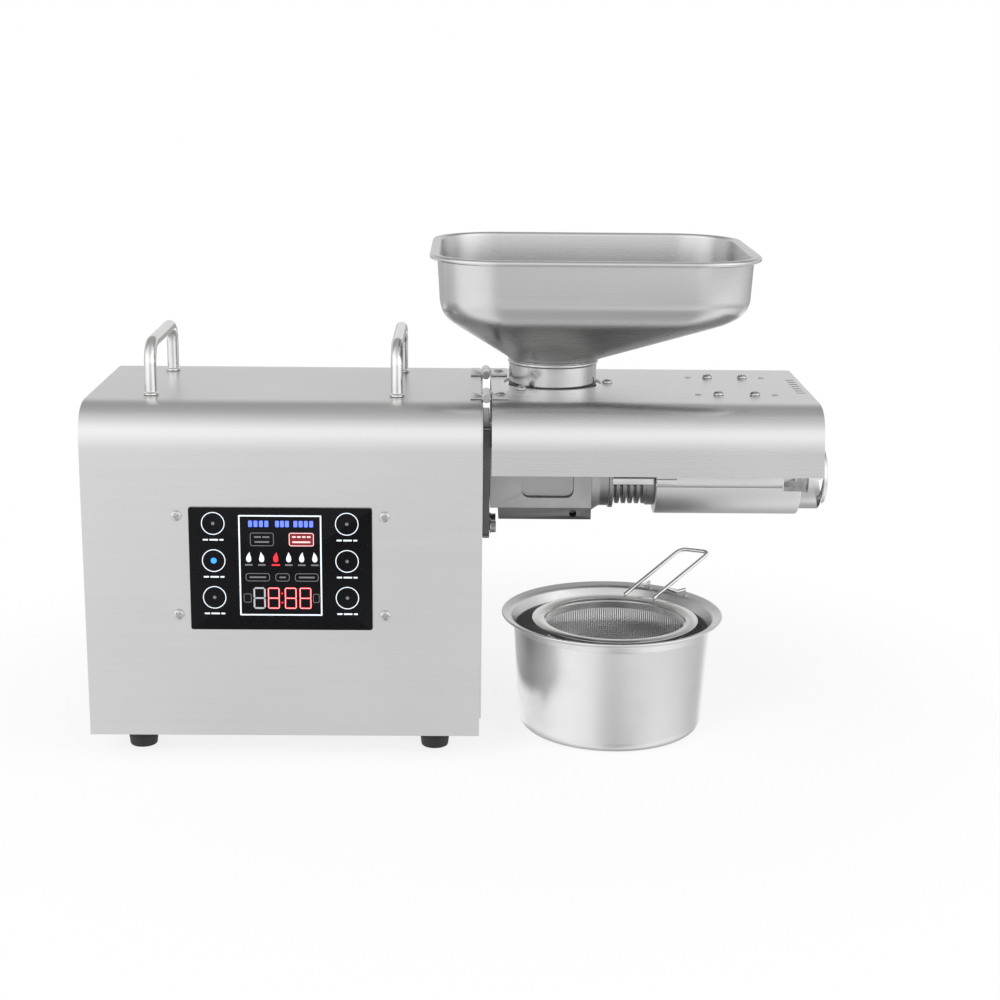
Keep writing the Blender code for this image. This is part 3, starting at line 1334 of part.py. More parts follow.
def feed_block():
    """The cast block: a chamfered body, a lower lip, a round throat on top and the bore for the worm."""
    low, high = AXIS_Z - BLOCK_BELOW_AXIS, AXIS_Z + BLOCK_ABOVE_AXIS
    front, back = AXIS_Y - BLOCK_HALF_WIDTH, AXIS_Y + BLOCK_HALF_WIDTH
    cut = BLOCK_CHAMFER
    outline = [
        (front, low),
        (back, low),
        (back, high - cut),
        (back - cut, high),
        (front + cut, high),
        (front, high - cut),
    ]
    made = new_object("feed_block", prism(outline, "X", BLOCK_X, BLOCK_END_X), cast_steel())
    lip = box(
        (BLOCK_X + LIP_INSET_X, front + LIP_INSET_Y, low - LIP_DROP),
        (BLOCK_END_X, back - LIP_INSET_Y, low + EASE),
    )
    throat = (THROAT_X, AXIS_Y)
    boss = cylinder("Z", throat, THROAT_BOSS_RADIUS, high - EASE, THROAT_TOP_Z, FINE_SIDES)
    fuse(made, lip, boss)
    funnel = turned(
        [(0, AXIS_Z), (THROAT_LOW_RADIUS, AXIS_Z), (THROAT_TOP_RADIUS, THROAT_TOP_Z - EASE)]
        + [(THROAT_TOP_RADIUS, THROAT_TOP_Z + EASE), (0, THROAT_TOP_Z + EASE)],
        "Z",
        throat,
        FINE_SIDES,
    )
    centre = PRESS_AXIS
    bore = cylinder("X", centre, BORE_RADIUS, BLOCK_X - EASE, BLOCK_END_X + EASE, FINE_SIDES)
    bearing = cylinder("X", centre, BEARING_RADIUS, BLOCK_X - EASE, BLOCK_X + BEARING_DEPTH, FINE_SIDES)
    for cutter in (bore, bearing, funnel):
        carve(made, cutter)
    left = BLOCK_X + POCKET_FROM_LEFT
    floor = AXIS_Z - POCKET_BELOW_AXIS
    pocket = rounded_box((left, floor), (left + POCKET_WIDTH, floor + POCKET_HEIGHT), POCKET_CORNER)
    hole = (BLOCK_END_X - LIP_HOLE_FROM_END, low - LIP_DROP / 2)
    hole_floor = front + LIP_INSET_Y + LIP_HOLE_DEPTH
    carve(
        made,
        prism(pocket, "Y", front - EASE, front + POCKET_DEPTH),
        cylinder("Y", hole, LIP_HOLE_RADIUS, front - EASE, hole_floor),
    )
    return finished(made)


def press_cage():
    """The drained length of the barrel: cone, disc, fins with oil slots between them, collar and spigot."""
    outer = [
        (CAGE_CONE_RADIUS, CAGE_X),
        (CAGE_NECK_RADIUS, CAGE_X + CAGE_CONE_LENGTH),
        (CAGE_NECK_RADIUS, CAGE_DISC_X),
        (CAGE_DISC_RADIUS, CAGE_DISC_X),
        (CAGE_DISC_RADIUS, CAGE_FINS_X),
        (CAGE_ROOT_RADIUS, CAGE_FINS_X),
    ]
    for fin in range(CAGE_FIN_COUNT):
        start = CAGE_FINS_X + fin * CAGE_FIN_PITCH + (CAGE_FIN_PITCH - CAGE_FIN_WIDTH)
        outer += [(CAGE_ROOT_RADIUS, start), (CAGE_FIN_RADIUS, start)]
        if fin < CAGE_FIN_COUNT - 1:
            outer += [(CAGE_FIN_RADIUS, start + CAGE_FIN_WIDTH), (CAGE_ROOT_RADIUS, start + CAGE_FIN_WIDTH)]
    outer += [
        (CAGE_FIN_RADIUS, CAGE_COLLAR_X),
        (CAGE_COLLAR_RADIUS, CAGE_COLLAR_X),
        (CAGE_COLLAR_RADIUS, CAGE_COLLAR_END_X),
        (CAGE_SPIGOT_RADIUS, CAGE_COLLAR_END_X),
        (CAGE_SPIGOT_RADIUS, CAGE_COLLAR_END_X + CAGE_SPIGOT_LENGTH),
        (BORE_RADIUS, CAGE_COLLAR_END_X + CAGE_SPIGOT_LENGTH),
        (BORE_RADIUS, CAGE_X),
    ]
    made = new_object("press_cage", turned(outer, "X", PRESS_AXIS, CAGE_SIDES, looped=True), cast_steel())
    reach = (CAGE_ROOT_RADIUS + CAGE_FIN_RADIUS) / 2
    slots = []
    for angle in turns(CAGE_SLOT_COUNT):
        slot = box(
            (CAGE_FINS_X, BORE_RADIUS - EASE, -CAGE_SLOT_WIDTH / 2),
            (CAGE_COLLAR_X - CAGE_FIN_WIDTH, reach, CAGE_SLOT_WIDTH / 2),
        )
        slot.transform(Matrix.Translation((0, AXIS_Y, AXIS_Z)) @ Matrix.Rotation(angle + pi / 12, 4, "X"))
        slots.append(slot)
    carve(made, *slots)
    front = AXIS_Y - CAGE_RIB_REACH
    rib = box(
        (CAGE_DISC_X + EASE, front, AXIS_Z - CAGE_RIB_HEIGHT / 2),
        (CAGE_COLLAR_END_X - EASE / 2, front + CAGE_RIB_THICK, AXIS_Z + CAGE_RIB_HEIGHT / 2),
    )
    fuse(made, rib)
    return finished(made)


def press_sleeve():
    """The thick outer barrel, stepped inside for the spigot, with a notch at the outlet end."""
    step = SLEEVE_X + CAGE_SPIGOT_LENGTH + SEAT
    fit = CAGE_SPIGOT_RADIUS + SEAT
    cut = SLEEVE_CHAMFER
    profile = [
        (fit, SLEEVE_X),
        (SLEEVE_RADIUS - cut, SLEEVE_X),
        (SLEEVE_RADIUS, SLEEVE_X + cut),
        (SLEEVE_RADIUS, SLEEVE_END_X - cut),
        (SLEEVE_RADIUS - cut, SLEEVE_END_X),
        (BORE_RADIUS, SLEEVE_END_X),
        (BORE_RADIUS, step),
        (fit, step),
    ]
    floor = AXIS_Z - SLEEVE_NOTCH_BELOW_AXIS
    notch = box(
        (SLEEVE_END_X - SLEEVE_NOTCH_LENGTH, AXIS_Y - SLEEVE_RADIUS - EASE, floor),
        (SLEEVE_END_X + EASE, AXIS_Y, floor + SLEEVE_NOTCH_HEIGHT),
    )
    shape = turned(profile, "X", PRESS_AXIS, POT_SIDES, looped=True)
    return body("press_sleeve", shape, satin_steel(), [notch])


def cake_nose():
    """The outlet piece, open above behind the sleeve, with a three-cornered opening at the front."""
    lip = NOSE_END_X + NOSE_LIP_LENGTH
    profile = [
        (NOSE_BORE_RADIUS, NOSE_X),
        (NOSE_RADIUS, NOSE_X),
        (NOSE_RADIUS, NOSE_END_X),
        (NOSE_LIP_RADIUS, NOSE_END_X),
        (NOSE_LIP_RADIUS, lip),
        (NOSE_BORE_RADIUS, lip),
    ]
    made = new_object("cake_nose", turned(profile, "X", PRESS_AXIS, FINE_SIDES, looped=True), satin_steel())
    reach = NOSE_RADIUS + EASE
    gap_end = NOSE_X + NOSE_GAP_LENGTH
    carve(
        made,
        box(
            (NOSE_X - EASE, AXIS_Y - reach, AXIS_Z - NOSE_GAP_BELOW_AXIS),
            (gap_end, AXIS_Y + reach, AXIS_Z + reach),
        ),
    )
    left = gap_end + NOSE_VEE_FROM_GAP
    top = AXIS_Z + EASE
    tip = (NOSE_END_X - NOSE_VEE_TIP_FROM_END, AXIS_Z - NOSE_VEE_DEPTH)
    vee = prism([(left, top), (left + NOSE_VEE_LENGTH, top), tip], "Y", AXIS_Y - reach, AXIS_Y - EASE)
    carve(made, vee)
    return finished(made)


def worm_root(x):
    """The core radius grows towards the outlet, which is what squeezes the seeds."""
    share = min(max((x - FLIGHT_X) / (FLIGHT_END_X - FLIGHT_X), 0.0), 1.0)
    return WORM_ROOT_START + share * (WORM_ROOT_END - WORM_ROOT_START)


def press_worm(parent):
    """One helical flight on a core that thickens, drawn as a grid that is sheared along the helix."""
    corners = (
        (0.0, True),
        (WORM_FLIGHT_TOP, True),
        (WORM_FLIGHT_BASE, False),
        (1.0 - (WORM_FLIGHT_BASE - WORM_FLIGHT_TOP), False),
    )
    per_turn = len(corners)
    turns_drawn = int((FLIGHT_END_X - FLIGHT_X) / WORM_PITCH) + 3
    mesh = bmesh.new()
    grid = []
    for station in range(turns_drawn * per_turn + 1):
        share, is_top = corners[station % per_turn]
        row = []
        for side in range(WORM_SIDES):
            x = FLIGHT_X + WORM_PITCH * (station // per_turn - 1 + share + side / WORM_SIDES)
            inside = FLIGHT_X < x < FLIGHT_END_X
            x = min(max(x, FLIGHT_X), FLIGHT_END_X)
            radius = WORM_TIP_RADIUS if is_top and inside else worm_root(x)
            angle = 2 * pi * side / WORM_SIDES
            row.append(mesh.verts.new((x, AXIS_Y + radius * cos(angle), AXIS_Z + radius * sin(angle))))
        grid.append(row)
    last = len(grid) - 1
    for station in range(last):
        for side in range(WORM_SIDES - 1):
            first, second = grid[station], grid[station + 1]
            mesh.faces.new((first[side], first[side + 1], second[side + 1], second[side]))
        near = grid[station][-1]
        far = grid[station + 1][-1]
        next_near = grid[min(station + per_turn, last)][0]
        next_far = grid[min(station + per_turn + 1, last)][0]
        if next_near is next_far:
            mesh.faces.new((near, next_near, far))
        else:
            mesh.faces.new((near, next_near, next_far, far))
    for station in range(per_turn):
        mesh.faces.new((grid[0][-1], grid[station][0], grid[station + 1][0]))
    bmesh.ops.remove_doubles(mesh, verts=mesh.verts, dist=SEAT / 100)
    bmesh.ops.dissolve_degenerate(mesh, edges=mesh.edges, dist=SEAT / 100)
    bmesh.ops.holes_fill(mesh, edges=[edge for edge in mesh.edges if edge.is_boundary])
    made = new_object("press_worm", facing_out(mesh), satin_steel())
    shank = turned(
        [
            (0, WORM_COLLAR_X),
            (WORM_COLLAR_RADIUS, WORM_COLLAR_X),
            (WORM_COLLAR_RADIUS, WORM_COLLAR_X + WORM_COLLAR_LENGTH),
            (WORM_ROOT_START, WORM_COLLAR_X + WORM_COLLAR_LENGTH),
            (WORM_ROOT_START - SEAT, FLIGHT_X + EASE),
            (0, FLIGHT_X + EASE),
        ],
        "X",
        PRESS_AXIS,
        WORM_SIDES,
    )
    hexagon = regular(PRESS_AXIS, HEX_FLATS, 6)
    tail = prism(hexagon, "X", COUPLING_END_X - HEX_DEPTH, WORM_COLLAR_X + EASE)
    cone = turned(
        [
            (0, FLIGHT_END_X - EASE),
            (WORM_ROOT_END - SEAT, FLIGHT_END_X - EASE),
            (WORM_ROOT_END - SEAT, FLIGHT_END_X + SEAT),
            (WORM_CONE_RADIUS, WORM_END_X),
            (0, WORM_END_X),
        ],
        "X",
        PRESS_AXIS,
        WORM_SIDES,
    )
    fuse(made, shank, tail, cone)
    return finished(made, parent["place"], parent)


# Heater cover


def cover_shell(parent):
    """The hinged hood over the press, closed at its far end around the barrel."""
    shape = prism(hood_path(0.0, COVER_LOW_Z), "X", COVER_X, COVER_END_X)
    made = new_object("cover_shell", shape, brushed_steel())
    hollow = prism(hood_path(SHEET, COVER_LOW_Z - EASE), "X", COVER_X - EASE, COVER_END_X - SHEET)
    carve(made, hollow)
    through = 2 * SHEET
    low, high = CASE_TOP_Z - through, CASE_TOP_Z + through
    cuts = [cylinder("Z", (THROAT_X, AXIS_Y), COVER_HOLE_RADIUS, low, high, FINE_SIDES)]
    for place in ring_screw_places() + saddle_screw_places():
        cuts.append(cylinder("Z", place, COVER_SHANK_RADIUS + SEAT, low, high))
    right = COVER_END_X - VENT_FROM_END
    for index in range(VENT_COUNT):
        y = CASE_Y + (index - (VENT_COUNT - 1) / 2) * VENT_PITCH
        cuts.append(box((right - VENT_LENGTH, y - VENT_WIDTH / 2, low), (right, y + VENT_WIDTH / 2, high)))
    carve(made, *cuts)
    arch = SLEEVE_RADIUS + EASE
    carve(made, cylinder("X", PRESS_AXIS, arch, COVER_END_X - through, COVER_END_X + through, FINE_SIDES))
    return finished(made, parent["place"], parent)


def ring_screw_places():
    return [
        (THROAT_X + RING_SCREW_CIRCLE * cos(radians(a)), AXIS_Y + RING_SCREW_CIRCLE * sin(radians(a)))
        for a in RING_SCREW_ANGLES
    ]


def saddle_screw_places():
    return [
        (SADDLE_X + side * SADDLE_SCREW_SPAN_X / 2, CASE_Y + level * SADDLE_SCREW_SPAN_Y / 2)
        for level in (-1, 1)
        for side in (-1, 1)
    ]


def neck_ring(parent):
    """The ring under the cover that the hopper's neck slides through."""
    inner = HOPPER_NECK_RADIUS + NECK_FIT
    top = COVER_INNER_Z - SEAT
    low = top - NECK_RING_THICK
    profile = [
        (inner, top),
        (NECK_RING_OUTER, top),
        (NECK_RING_OUTER, low),
        (inner + NECK_TUBE_WALL, low),
        (inner + NECK_TUBE_WALL, top - NECK_TUBE_LENGTH),
        (inner, top - NECK_TUBE_LENGTH),
    ]
    cuts = [
        cylinder("Z", place, COVER_SHANK_RADIUS + SEAT, low - EASE, top + EASE) for place in ring_screw_places()
    ]
    shape = turned(profile, "Z", (THROAT_X, AXIS_Y), FINE_SIDES, looped=True)
    return body("neck_ring", shape, polished_steel(), cuts, (), parent["place"], parent)


def cover_screws(parent):
    """The screws seen on top of the cover: three for the neck ring and four for the heater saddle."""
    sizes = (COVER_HEAD_RADIUS, COVER_HEAD_HEIGHT, COVER_SHANK_RADIUS, SHEET + NECK_RING_THICK + 3 * SEAT)
    for number, place in enumerate(ring_screw_places(), 1):
        screw(f"ring_screw_{number}", "Z", place, CASE_TOP_Z + SEAT, 1, sizes, polished_steel(), parent)
    sizes = (COVER_HEAD_RADIUS, COVER_HEAD_HEIGHT, COVER_SHANK_RADIUS, SHEET + SADDLE_TAB_THICK + 3 * SEAT)
    for number, place in enumerate(saddle_screw_places(), 1):
        screw(f"cover_screw_{number}", "Z", place, CASE_TOP_Z + SEAT, 1, sizes, polished_steel(), parent)


def heater_lines():
    return {"heater_front": CASE_Y - HEATER_SPACING / 2, "heater_back": CASE_Y + HEATER_SPACING / 2}


def heater_tubes(parent):
    """Quartz heating tubes with a ceramic cap at each end."""
    for name, y in heater_lines().items():
        start, stop = HEATER_X - HEATER_LENGTH / 2, HEATER_X + HEATER_LENGTH / 2
        cap = HEATER_CAP_LENGTH
        profile = [
            (0, start),
            (HEATER_CAP_RADIUS, start),
            (HEATER_CAP_RADIUS, start + cap),
            (HEATER_RADIUS, start + cap),
            (HEATER_RADIUS, stop - cap),
            (HEATER_CAP_RADIUS, stop - cap),
            (HEATER_CAP_RADIUS, stop),
            (0, stop),
        ]
        shape = turned(profile, "X", (y, HEATER_Z), SMALL_SIDES)
        body(name, shape, quartz(), origin=parent["place"], parent=parent)


def heater_saddle(parent):
    """A bent strap under the cover whose two tabs hold both heating tubes."""
    top = COVER_INNER_Z - SEAT
    thick = SADDLE_TAB_THICK
    left, right = SADDLE_X - SADDLE_LENGTH / 2, SADDLE_X + SADDLE_LENGTH / 2
    front, back = CASE_Y - SADDLE_WIDTH / 2, CASE_Y + SADDLE_WIDTH / 2
    made = new_object("heater_saddle", box((left, front, top - thick), (right, back, top)), zinc())
    low = HEATER_Z - SADDLE_TAB_BELOW_TUBE
    fuse(
        made,
        box((left, front, low), (left + thick, back, top - thick / 2)),
        box((right - thick, front, low), (right, back, top - thick / 2)),
    )
    cuts = []
    for y in heater_lines().values():
        hole = HEATER_RADIUS + SEAT
        cuts.append(cylinder("X", (y, HEATER_Z), hole, left - EASE, right + EASE, MIDDLE_SIDES))
    for place in saddle_screw_places():
        cuts.append(cylinder("Z", place, COVER_SHANK_RADIUS + SEAT, top - 2 * thick, top + thick))
    carve(made, *cuts)
    return finished(made, parent["place"], parent)


def hinge_fixed(name, middle):
    """The casing half of a hinge: knuckle, pin, leaf and the tongue through the casing's slot."""
    front, back = middle - HINGE_LENGTH / 2, middle + HINGE_LENGTH / 2
    centre = (HINGE_X, HINGE_Z)
    made = new_object(name, cylinder("Y", centre, HINGE_RADIUS, front, middle - SEAT), zinc())
    low = CASE_TOP_Z + SEAT
    far = HINGE_X - LEAF_REACH_CASE
    near = HINGE_X - LEAF_EDGE
    inset = TONGUE_INSET
    fuse(
        made,
        cylinder("Y", centre, HINGE_PIN_RADIUS, middle - EASE, back, ROD_SIDES),
        box((far, front, low), (near, back, low + LEAF_THICK)),
        box((near - EASE, front, low), (HINGE_X, middle - SEAT, low + LEAF_THICK)),
        box((far, front + inset, low - TONGUE_LENGTH), (far + LEAF_THICK, back - inset, low + LEAF_THICK / 2)),
    )
    return finished(made, (HINGE_X, middle, HINGE_Z))


def hinge_moving(name, middle, parent):
    """The cover half of a hinge: a bored knuckle, a leaf and its screw head."""
    front, back = middle - HINGE_LENGTH / 2, middle + HINGE_LENGTH / 2
    centre = (HINGE_X, HINGE_Z)
    bore = HINGE_PIN_RADIUS + SEAT
    knuckle = turned(
        [(bore, middle + SEAT), (HINGE_RADIUS, middle + SEAT), (HINGE_RADIUS, back), (bore, back)],
        "Y",
        centre,
        SMALL_SIDES,
        looped=True,
    )
    low = CASE_TOP_Z + SEAT
    near, far = HINGE_X + LEAF_EDGE, HINGE_X + LEAF_REACH_COVER
    made = new_object(name, knuckle, zinc())
    head = low + LEAF_THICK
    radius = COVER_HEAD_RADIUS
    screw_x = (near + far) / 2
    fuse(
        made,
        box((HINGE_X + bore + SEAT, middle + SEAT, low), (near + EASE, back, head)),
        box((near, front, low), (far, back, head)),
        turned(
            [
                (0, head - SEAT),
                (radius, head - SEAT),
                (radius, head + SEAT),
                (radius / 2, head + LEAF_THICK),
                (0, head + LEAF_THICK),
            ],
            "Z",
            (screw_x, middle),
            SMALL_SIDES,
        ),
    )
    return finished(made, parent["place"], parent)


# Hopper


def tray_point(index, grow):
    """A point of the hopper's plan outline, grown outwards; equal steps go round each corner."""
    steps = HOPPER_CORNER_STEPS
    quarter, step = divmod(index, steps)
    angle = pi / 2 * quarter + pi / 2 * step / (steps - 1)
    u = 1 if quarter in (0, 3) else -1
    v = 1 if quarter in (0, 1) else -1
    radius = HOPPER_CORNER + grow
    x = HOPPER_X + u * (HOPPER_LENGTH / 2 - HOPPER_CORNER) + radius * cos(angle)
    y = HOPPER_Y + v * (HOPPER_WIDTH / 2 - HOPPER_CORNER) + radius * sin(angle)
    return Vector((x, y))


def neck_point(index, grow):
    """The matching point of the round neck."""
    steps = HOPPER_CORNER_STEPS
    quarter, step = divmod(index, steps)
    angle = pi / 2 * quarter + pi / 2 * (step + 0.5) / steps
    radius = HOPPER_NECK_RADIUS + grow
    return Vector((THROAT_X + radius * cos(angle), AXIS_Y + radius * sin(angle)))


def hopper_ring(level, blend, grow):
    ring = []
    for index in range(4 * HOPPER_CORNER_STEPS):
        flat = tray_point(index, grow).lerp(neck_point(index, grow), blend)
        ring.append(Vector((flat.x, flat.y, level)))
    return ring


def hopper(parent):
    """The seed tray: a rolled rim, upright walls and a funnel that runs off-centre into the round neck."""
    top = HOPPER_TOP_Z
    sheet = HOPPER_SHEET
    reach = HOPPER_RIM_REACH
    floor = top - HOPPER_WALL_HEIGHT
    fillet = HOPPER_WALL_FILLET
    neck = floor - fillet / 2 - HOPPER_FUNNEL_DROP
    bead = HOPPER_BEAD_HEIGHT
    outside = [
        (top - sheet, 0.0, 0.0),
        (top - sheet, 0.0, reach - sheet),
        (top - HOPPER_RIM_DROP, 0.0, reach - sheet),
        (top - HOPPER_RIM_DROP, 0.0, reach),
        (top - sheet, 0.0, reach),
        (top, 0.0, reach - sheet),
        (top, 0.0, 0.0),
    ]
    inside = [(top - sheet, 0.0, -sheet), (floor + fillet, 0.0, -sheet)]
    outer = [(floor + fillet, 0.0, 0.0)]
    for share in HOPPER_FILLET_SHARES:
        drop = fillet * (1 - (1 - share) ** 2)
        tuck = fillet / 2 * share**2
        inside.append((floor + fillet - drop + sheet / 2, 0.0, -sheet - tuck))
        outer.append((floor + fillet - drop - sheet / 2, 0.0, -tuck))
    inside += [(neck + sheet, 1.0, -sheet), (NECK_LOW_Z, 1.0, -sheet)]
    outer += [
        (neck, 1.0, 0.0),
        (neck - bead / 3, 1.0, HOPPER_BEAD),
        (neck - bead * 2 / 3, 1.0, HOPPER_BEAD),
        (neck - bead, 1.0, 0.0),
        (NECK_LOW_Z, 1.0, 0.0),
    ]
    profile = outside + inside + outer[::-1]
    rings = [hopper_ring(*place) for place in profile]
    return body("hopper", skin(rings, looped=True), polished_steel(), origin=parent["place"], parent=parent)


# Oil pot and strainer


def oil_pot(parent):
    """A drawn pot with a rounded base corner and a flared rim."""
    base = POT_BASE_RADIUS
    corner = POT_CORNER
    wall = POT_WALL
    flare = POT_HEIGHT - POT_FLARE_HEIGHT
    mouth = POT_MOUTH_RADIUS - wall
    profile = [(0, 0)]
    profile += arc((base - corner, corner), corner, -90, 0, 4)
    profile += [
        (mouth, flare),
        (POT_MOUTH_RADIUS + wall, flare + POT_FLARE_HEIGHT * POT_UNDERSIDE_SHARE),
        (POT_RIM_RADIUS - wall, POT_HEIGHT - POT_RIM_THICK),
        (POT_RIM_RADIUS, POT_HEIGHT - POT_RIM_THICK / 2),
        (POT_RIM_RADIUS - wall, POT_HEIGHT),
        (POT_LIP_RADIUS, POT_LIP_Z),
        (POT_THROAT_RADIUS, POT_THROAT_Z),
        (mouth - wall, flare),
    ]
    profile += arc((base - corner, corner), corner - wall, 0, -90, 4)
    profile.append((0, wall))
    shape = turned(profile, "Z", (POT_X, POT_Y), POT_SIDES)
    return body("oil_pot", shape, polished_steel(), origin=parent["place"], parent=parent)


def strainer_rim(parent):
    """The flat rim with its collar and the long wire handle, bent from one wire."""
    low = STRAINER_Z
    inner = STRAINER_RIM_INNER
    collar = inner + STRAINER_COLLAR_WALL
    thick = STRAINER_RIM_THICK
    profile = [
        (inner, low + thick),
        (STRAINER_RIM_RADIUS, low + thick),
        (STRAINER_RIM_RADIUS, low),
        (collar, low),
        (collar, low - STRAINER_COLLAR_HEIGHT),
        (inner, low - STRAINER_COLLAR_HEIGHT),
    ]
    ring = turned(profile, "Z", (STRAINER_X, STRAINER_Y), POT_SIDES, looped=True)
    made = new_object("strainer_rim", ring, polished_steel())
    reach = (STRAINER_RIM_RADIUS + inner) / 2
    feet = []
    for side in (-1, 1):
        aside = WIRE_FROM_MIDDLE + side * WIRE_SPACING / 2 * cos(radians(WIRE_HEADING))
        behind = sqrt(reach**2 - aside**2)
        feet.append(Vector((STRAINER_X + aside, STRAINER_Y + behind, low + thick + WIRE_RADIUS / 2)))
    run = Vector((WIRE_RUN_X, WIRE_RUN_Y, WIRE_RISE))
    tips = [feet[0] + run, feet[1] + run]
    tips[1].z = tips[0].z
    corners = [feet[0], tips[0], tips[1], feet[1]]
    path = rounded_path(corners, WIRE_BEND, 4)
    flat = (tips[0] - feet[0]).cross(tips[1] - tips[0]).normalized()
    fuse(made, swept(path, WIRE_RADIUS, flat, WIRE_SIDES))
    for place in feet:
        fuse(made, strainer_hook(place + run.normalized() * HOOK_FROM_RING))
    return finished(made, parent["place"], parent)


def strainer_hook(start):
    """A short wire from the handle outwards, whose level end lies on the pot's rim."""
    pot = Vector((POT_X, POT_Y, 0.0))
    outward = Vector((start.x, start.y, 0.0)) - pot
    outward.normalize()
    rest = pot + outward * (POT_RIM_RADIUS - POT_WALL / 2)
    rest.z = POT_HEIGHT + SEAT + WIRE_RADIUS
    knee = rest - outward * HOOK_REACH
    path = rounded_path([start, knee, rest], HOOK_BEND, 2)
    flat = outward.cross(Vector((0.0, 0.0, 1.0)))
    return swept(path, WIRE_RADIUS, flat, WIRE_SIDES)


def strainer_bowl(parent):
    """The sieve as an open lattice of hoops and upright wires inside the collar."""
    outer = STRAINER_RIM_INNER - SEAT - STRAINER_WIRE / 2
    top = STRAINER_Z - EASE
    band = top - STRAINER_BAND_HEIGHT
    levels = [(outer, top)]
    for ring in range(STRAINER_RINGS):
        angle = pi / 2 * ring / STRAINER_RINGS
        levels.append((outer * cos(angle), band - STRAINER_BOWL_DEPTH * sin(angle)))
    mesh = bmesh.new()
    rows = []
    for radius, level in levels:
        ring = circle((STRAINER_X, STRAINER_Y), radius, STRAINER_MERIDIANS)
        rows.append([mesh.verts.new((x, y, level)) for x, y in ring])
    for upper, lower in zip(rows, rows[1:]):
        for i in range(STRAINER_MERIDIANS):
            j = (i + 1) % STRAINER_MERIDIANS
            mesh.faces.new((lower[i], lower[j], upper[j], upper[i]))
    mesh.normal_update()
    bmesh.ops.wireframe(
        mesh,
        faces=mesh.faces[:],
        thickness=STRAINER_WIRE,
        use_replace=True,
        use_boundary=True,
        use_even_offset=True,
    )
    made = new_object("strainer_bowl", facing_out(mesh), satin_steel())
    return finished(made, parent["place"], parent)


def main():
    for old in list(bpy.data.objects):
        bpy.data.objects.remove(old)

    casing_wrap()
    left_plate()
    right_plate()
    base_tray()
    for name, place in foot_places().items():
        foot(name, place)
    for name, x in handle_places().items():
        carrying_handle(name, x)
    control_glass()
    control_board()
    panel_screws()

    motor_housing()
    motor_stator()
    motor_bracket()
    gearbox_housing()
    power_board()
    fan_guard()
    fan_frame()
    power_inlet()

    mount_flange()
    flange_bolts()
    feed_block()
    press_cage()
    press_sleeve()
    cake_nose()

    rotor = joint_empty("rotor_axis", (MOTOR_X, AXIS_Y, AXIS_Z))
    motor_rotor(rotor)
    stage = joint_empty("stage_axis", (FIRST_CARRIER_X, AXIS_Y, AXIS_Z))
    stage_carrier(stage)
    worm = joint_empty("worm_axis", (FLIGHT_X, AXIS_Y, AXIS_Z))
    output_drive(worm)
    press_worm(worm)
    fan = joint_empty("fan_axis", (FAN_X, CASE_Y, FAN_Z))
    fan_impeller(fan)
    rocker = joint_empty("rocker_axis", (ROCKER_PIVOT_X, INLET_Y, ROCKER_Z))
    rocker_key(rocker)

    cover = joint_empty("cover_axis", (HINGE_X, CASE_Y, HINGE_Z))
    cover_shell(cover)
    neck_ring(cover)
    cover_screws(cover)
    heater_tubes(cover)
    heater_saddle(cover)
    for name, middle in zip(("hinge_front", "hinge_back"), hinge_middles()):
        hinge_fixed(f"{name}_fixed", middle)
        hinge_moving(f"{name}_moving", middle, cover)
    lift = joint_empty("hopper_lift", (THROAT_X, AXIS_Y, NECK_LOW_Z), cover)
    hopper(lift)

    pot = joint_empty("pot_slide", (POT_X, POT_Y, 0.0))
    oil_pot(pot)
    sieve = joint_empty("strainer_lift", (STRAINER_X, STRAINER_Y, STRAINER_Z), pot)
    strainer_rim(sieve)
    strainer_bowl(sieve)


main()
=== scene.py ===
"""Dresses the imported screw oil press: steel sheet, panel, hopper, barrel, pot and a plain studio.

Shapes are worked out in millimetres, and turned to metres when their mesh is made. Materials and the
studio are in metres.
"""

import logging
import math
from collections.abc import Callable, Iterable, Sequence
from dataclasses import dataclass, field
from enum import Enum

import bmesh
import bpy
import numpy as np
from mathutils import Matrix, Vector


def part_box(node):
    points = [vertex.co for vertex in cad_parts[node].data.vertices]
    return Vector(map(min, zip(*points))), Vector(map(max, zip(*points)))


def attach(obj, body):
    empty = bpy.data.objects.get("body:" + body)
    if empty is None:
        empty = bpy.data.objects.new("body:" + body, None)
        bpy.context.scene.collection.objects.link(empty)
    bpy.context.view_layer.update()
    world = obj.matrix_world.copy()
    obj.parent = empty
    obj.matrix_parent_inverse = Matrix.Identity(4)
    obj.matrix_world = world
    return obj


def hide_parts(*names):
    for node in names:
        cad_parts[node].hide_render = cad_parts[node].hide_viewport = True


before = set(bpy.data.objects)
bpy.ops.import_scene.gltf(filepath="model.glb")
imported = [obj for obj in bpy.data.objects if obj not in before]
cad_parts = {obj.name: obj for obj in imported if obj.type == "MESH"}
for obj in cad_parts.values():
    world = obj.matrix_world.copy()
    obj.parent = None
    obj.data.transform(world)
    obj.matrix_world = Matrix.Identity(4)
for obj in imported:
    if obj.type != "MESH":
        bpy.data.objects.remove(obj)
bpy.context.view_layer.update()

LOG = logging.getLogger("oil_press")
MM = 0.001
BARREL = (7.0, 174.0)  # the barrel's axis in Y and Z
NECK = (59.9, 7.0)  # the hopper neck's axis in X and Y

Colour = tuple[float, float, float]
Point = tuple[float, float, float]


class Axis(Enum):
    """The three directions of the frame."""

    X = 0
    Y = 1
    Z = 2


class Grain(Enum):
    """The way in which the marks of brushing or turning run over a surface."""

    NONE = "none"
    ALONG_X = "along_x"
    ALONG_Y = "along_y"
    AROUND_X = "around_x"
    AROUND_Z = "around_z"


# Materials


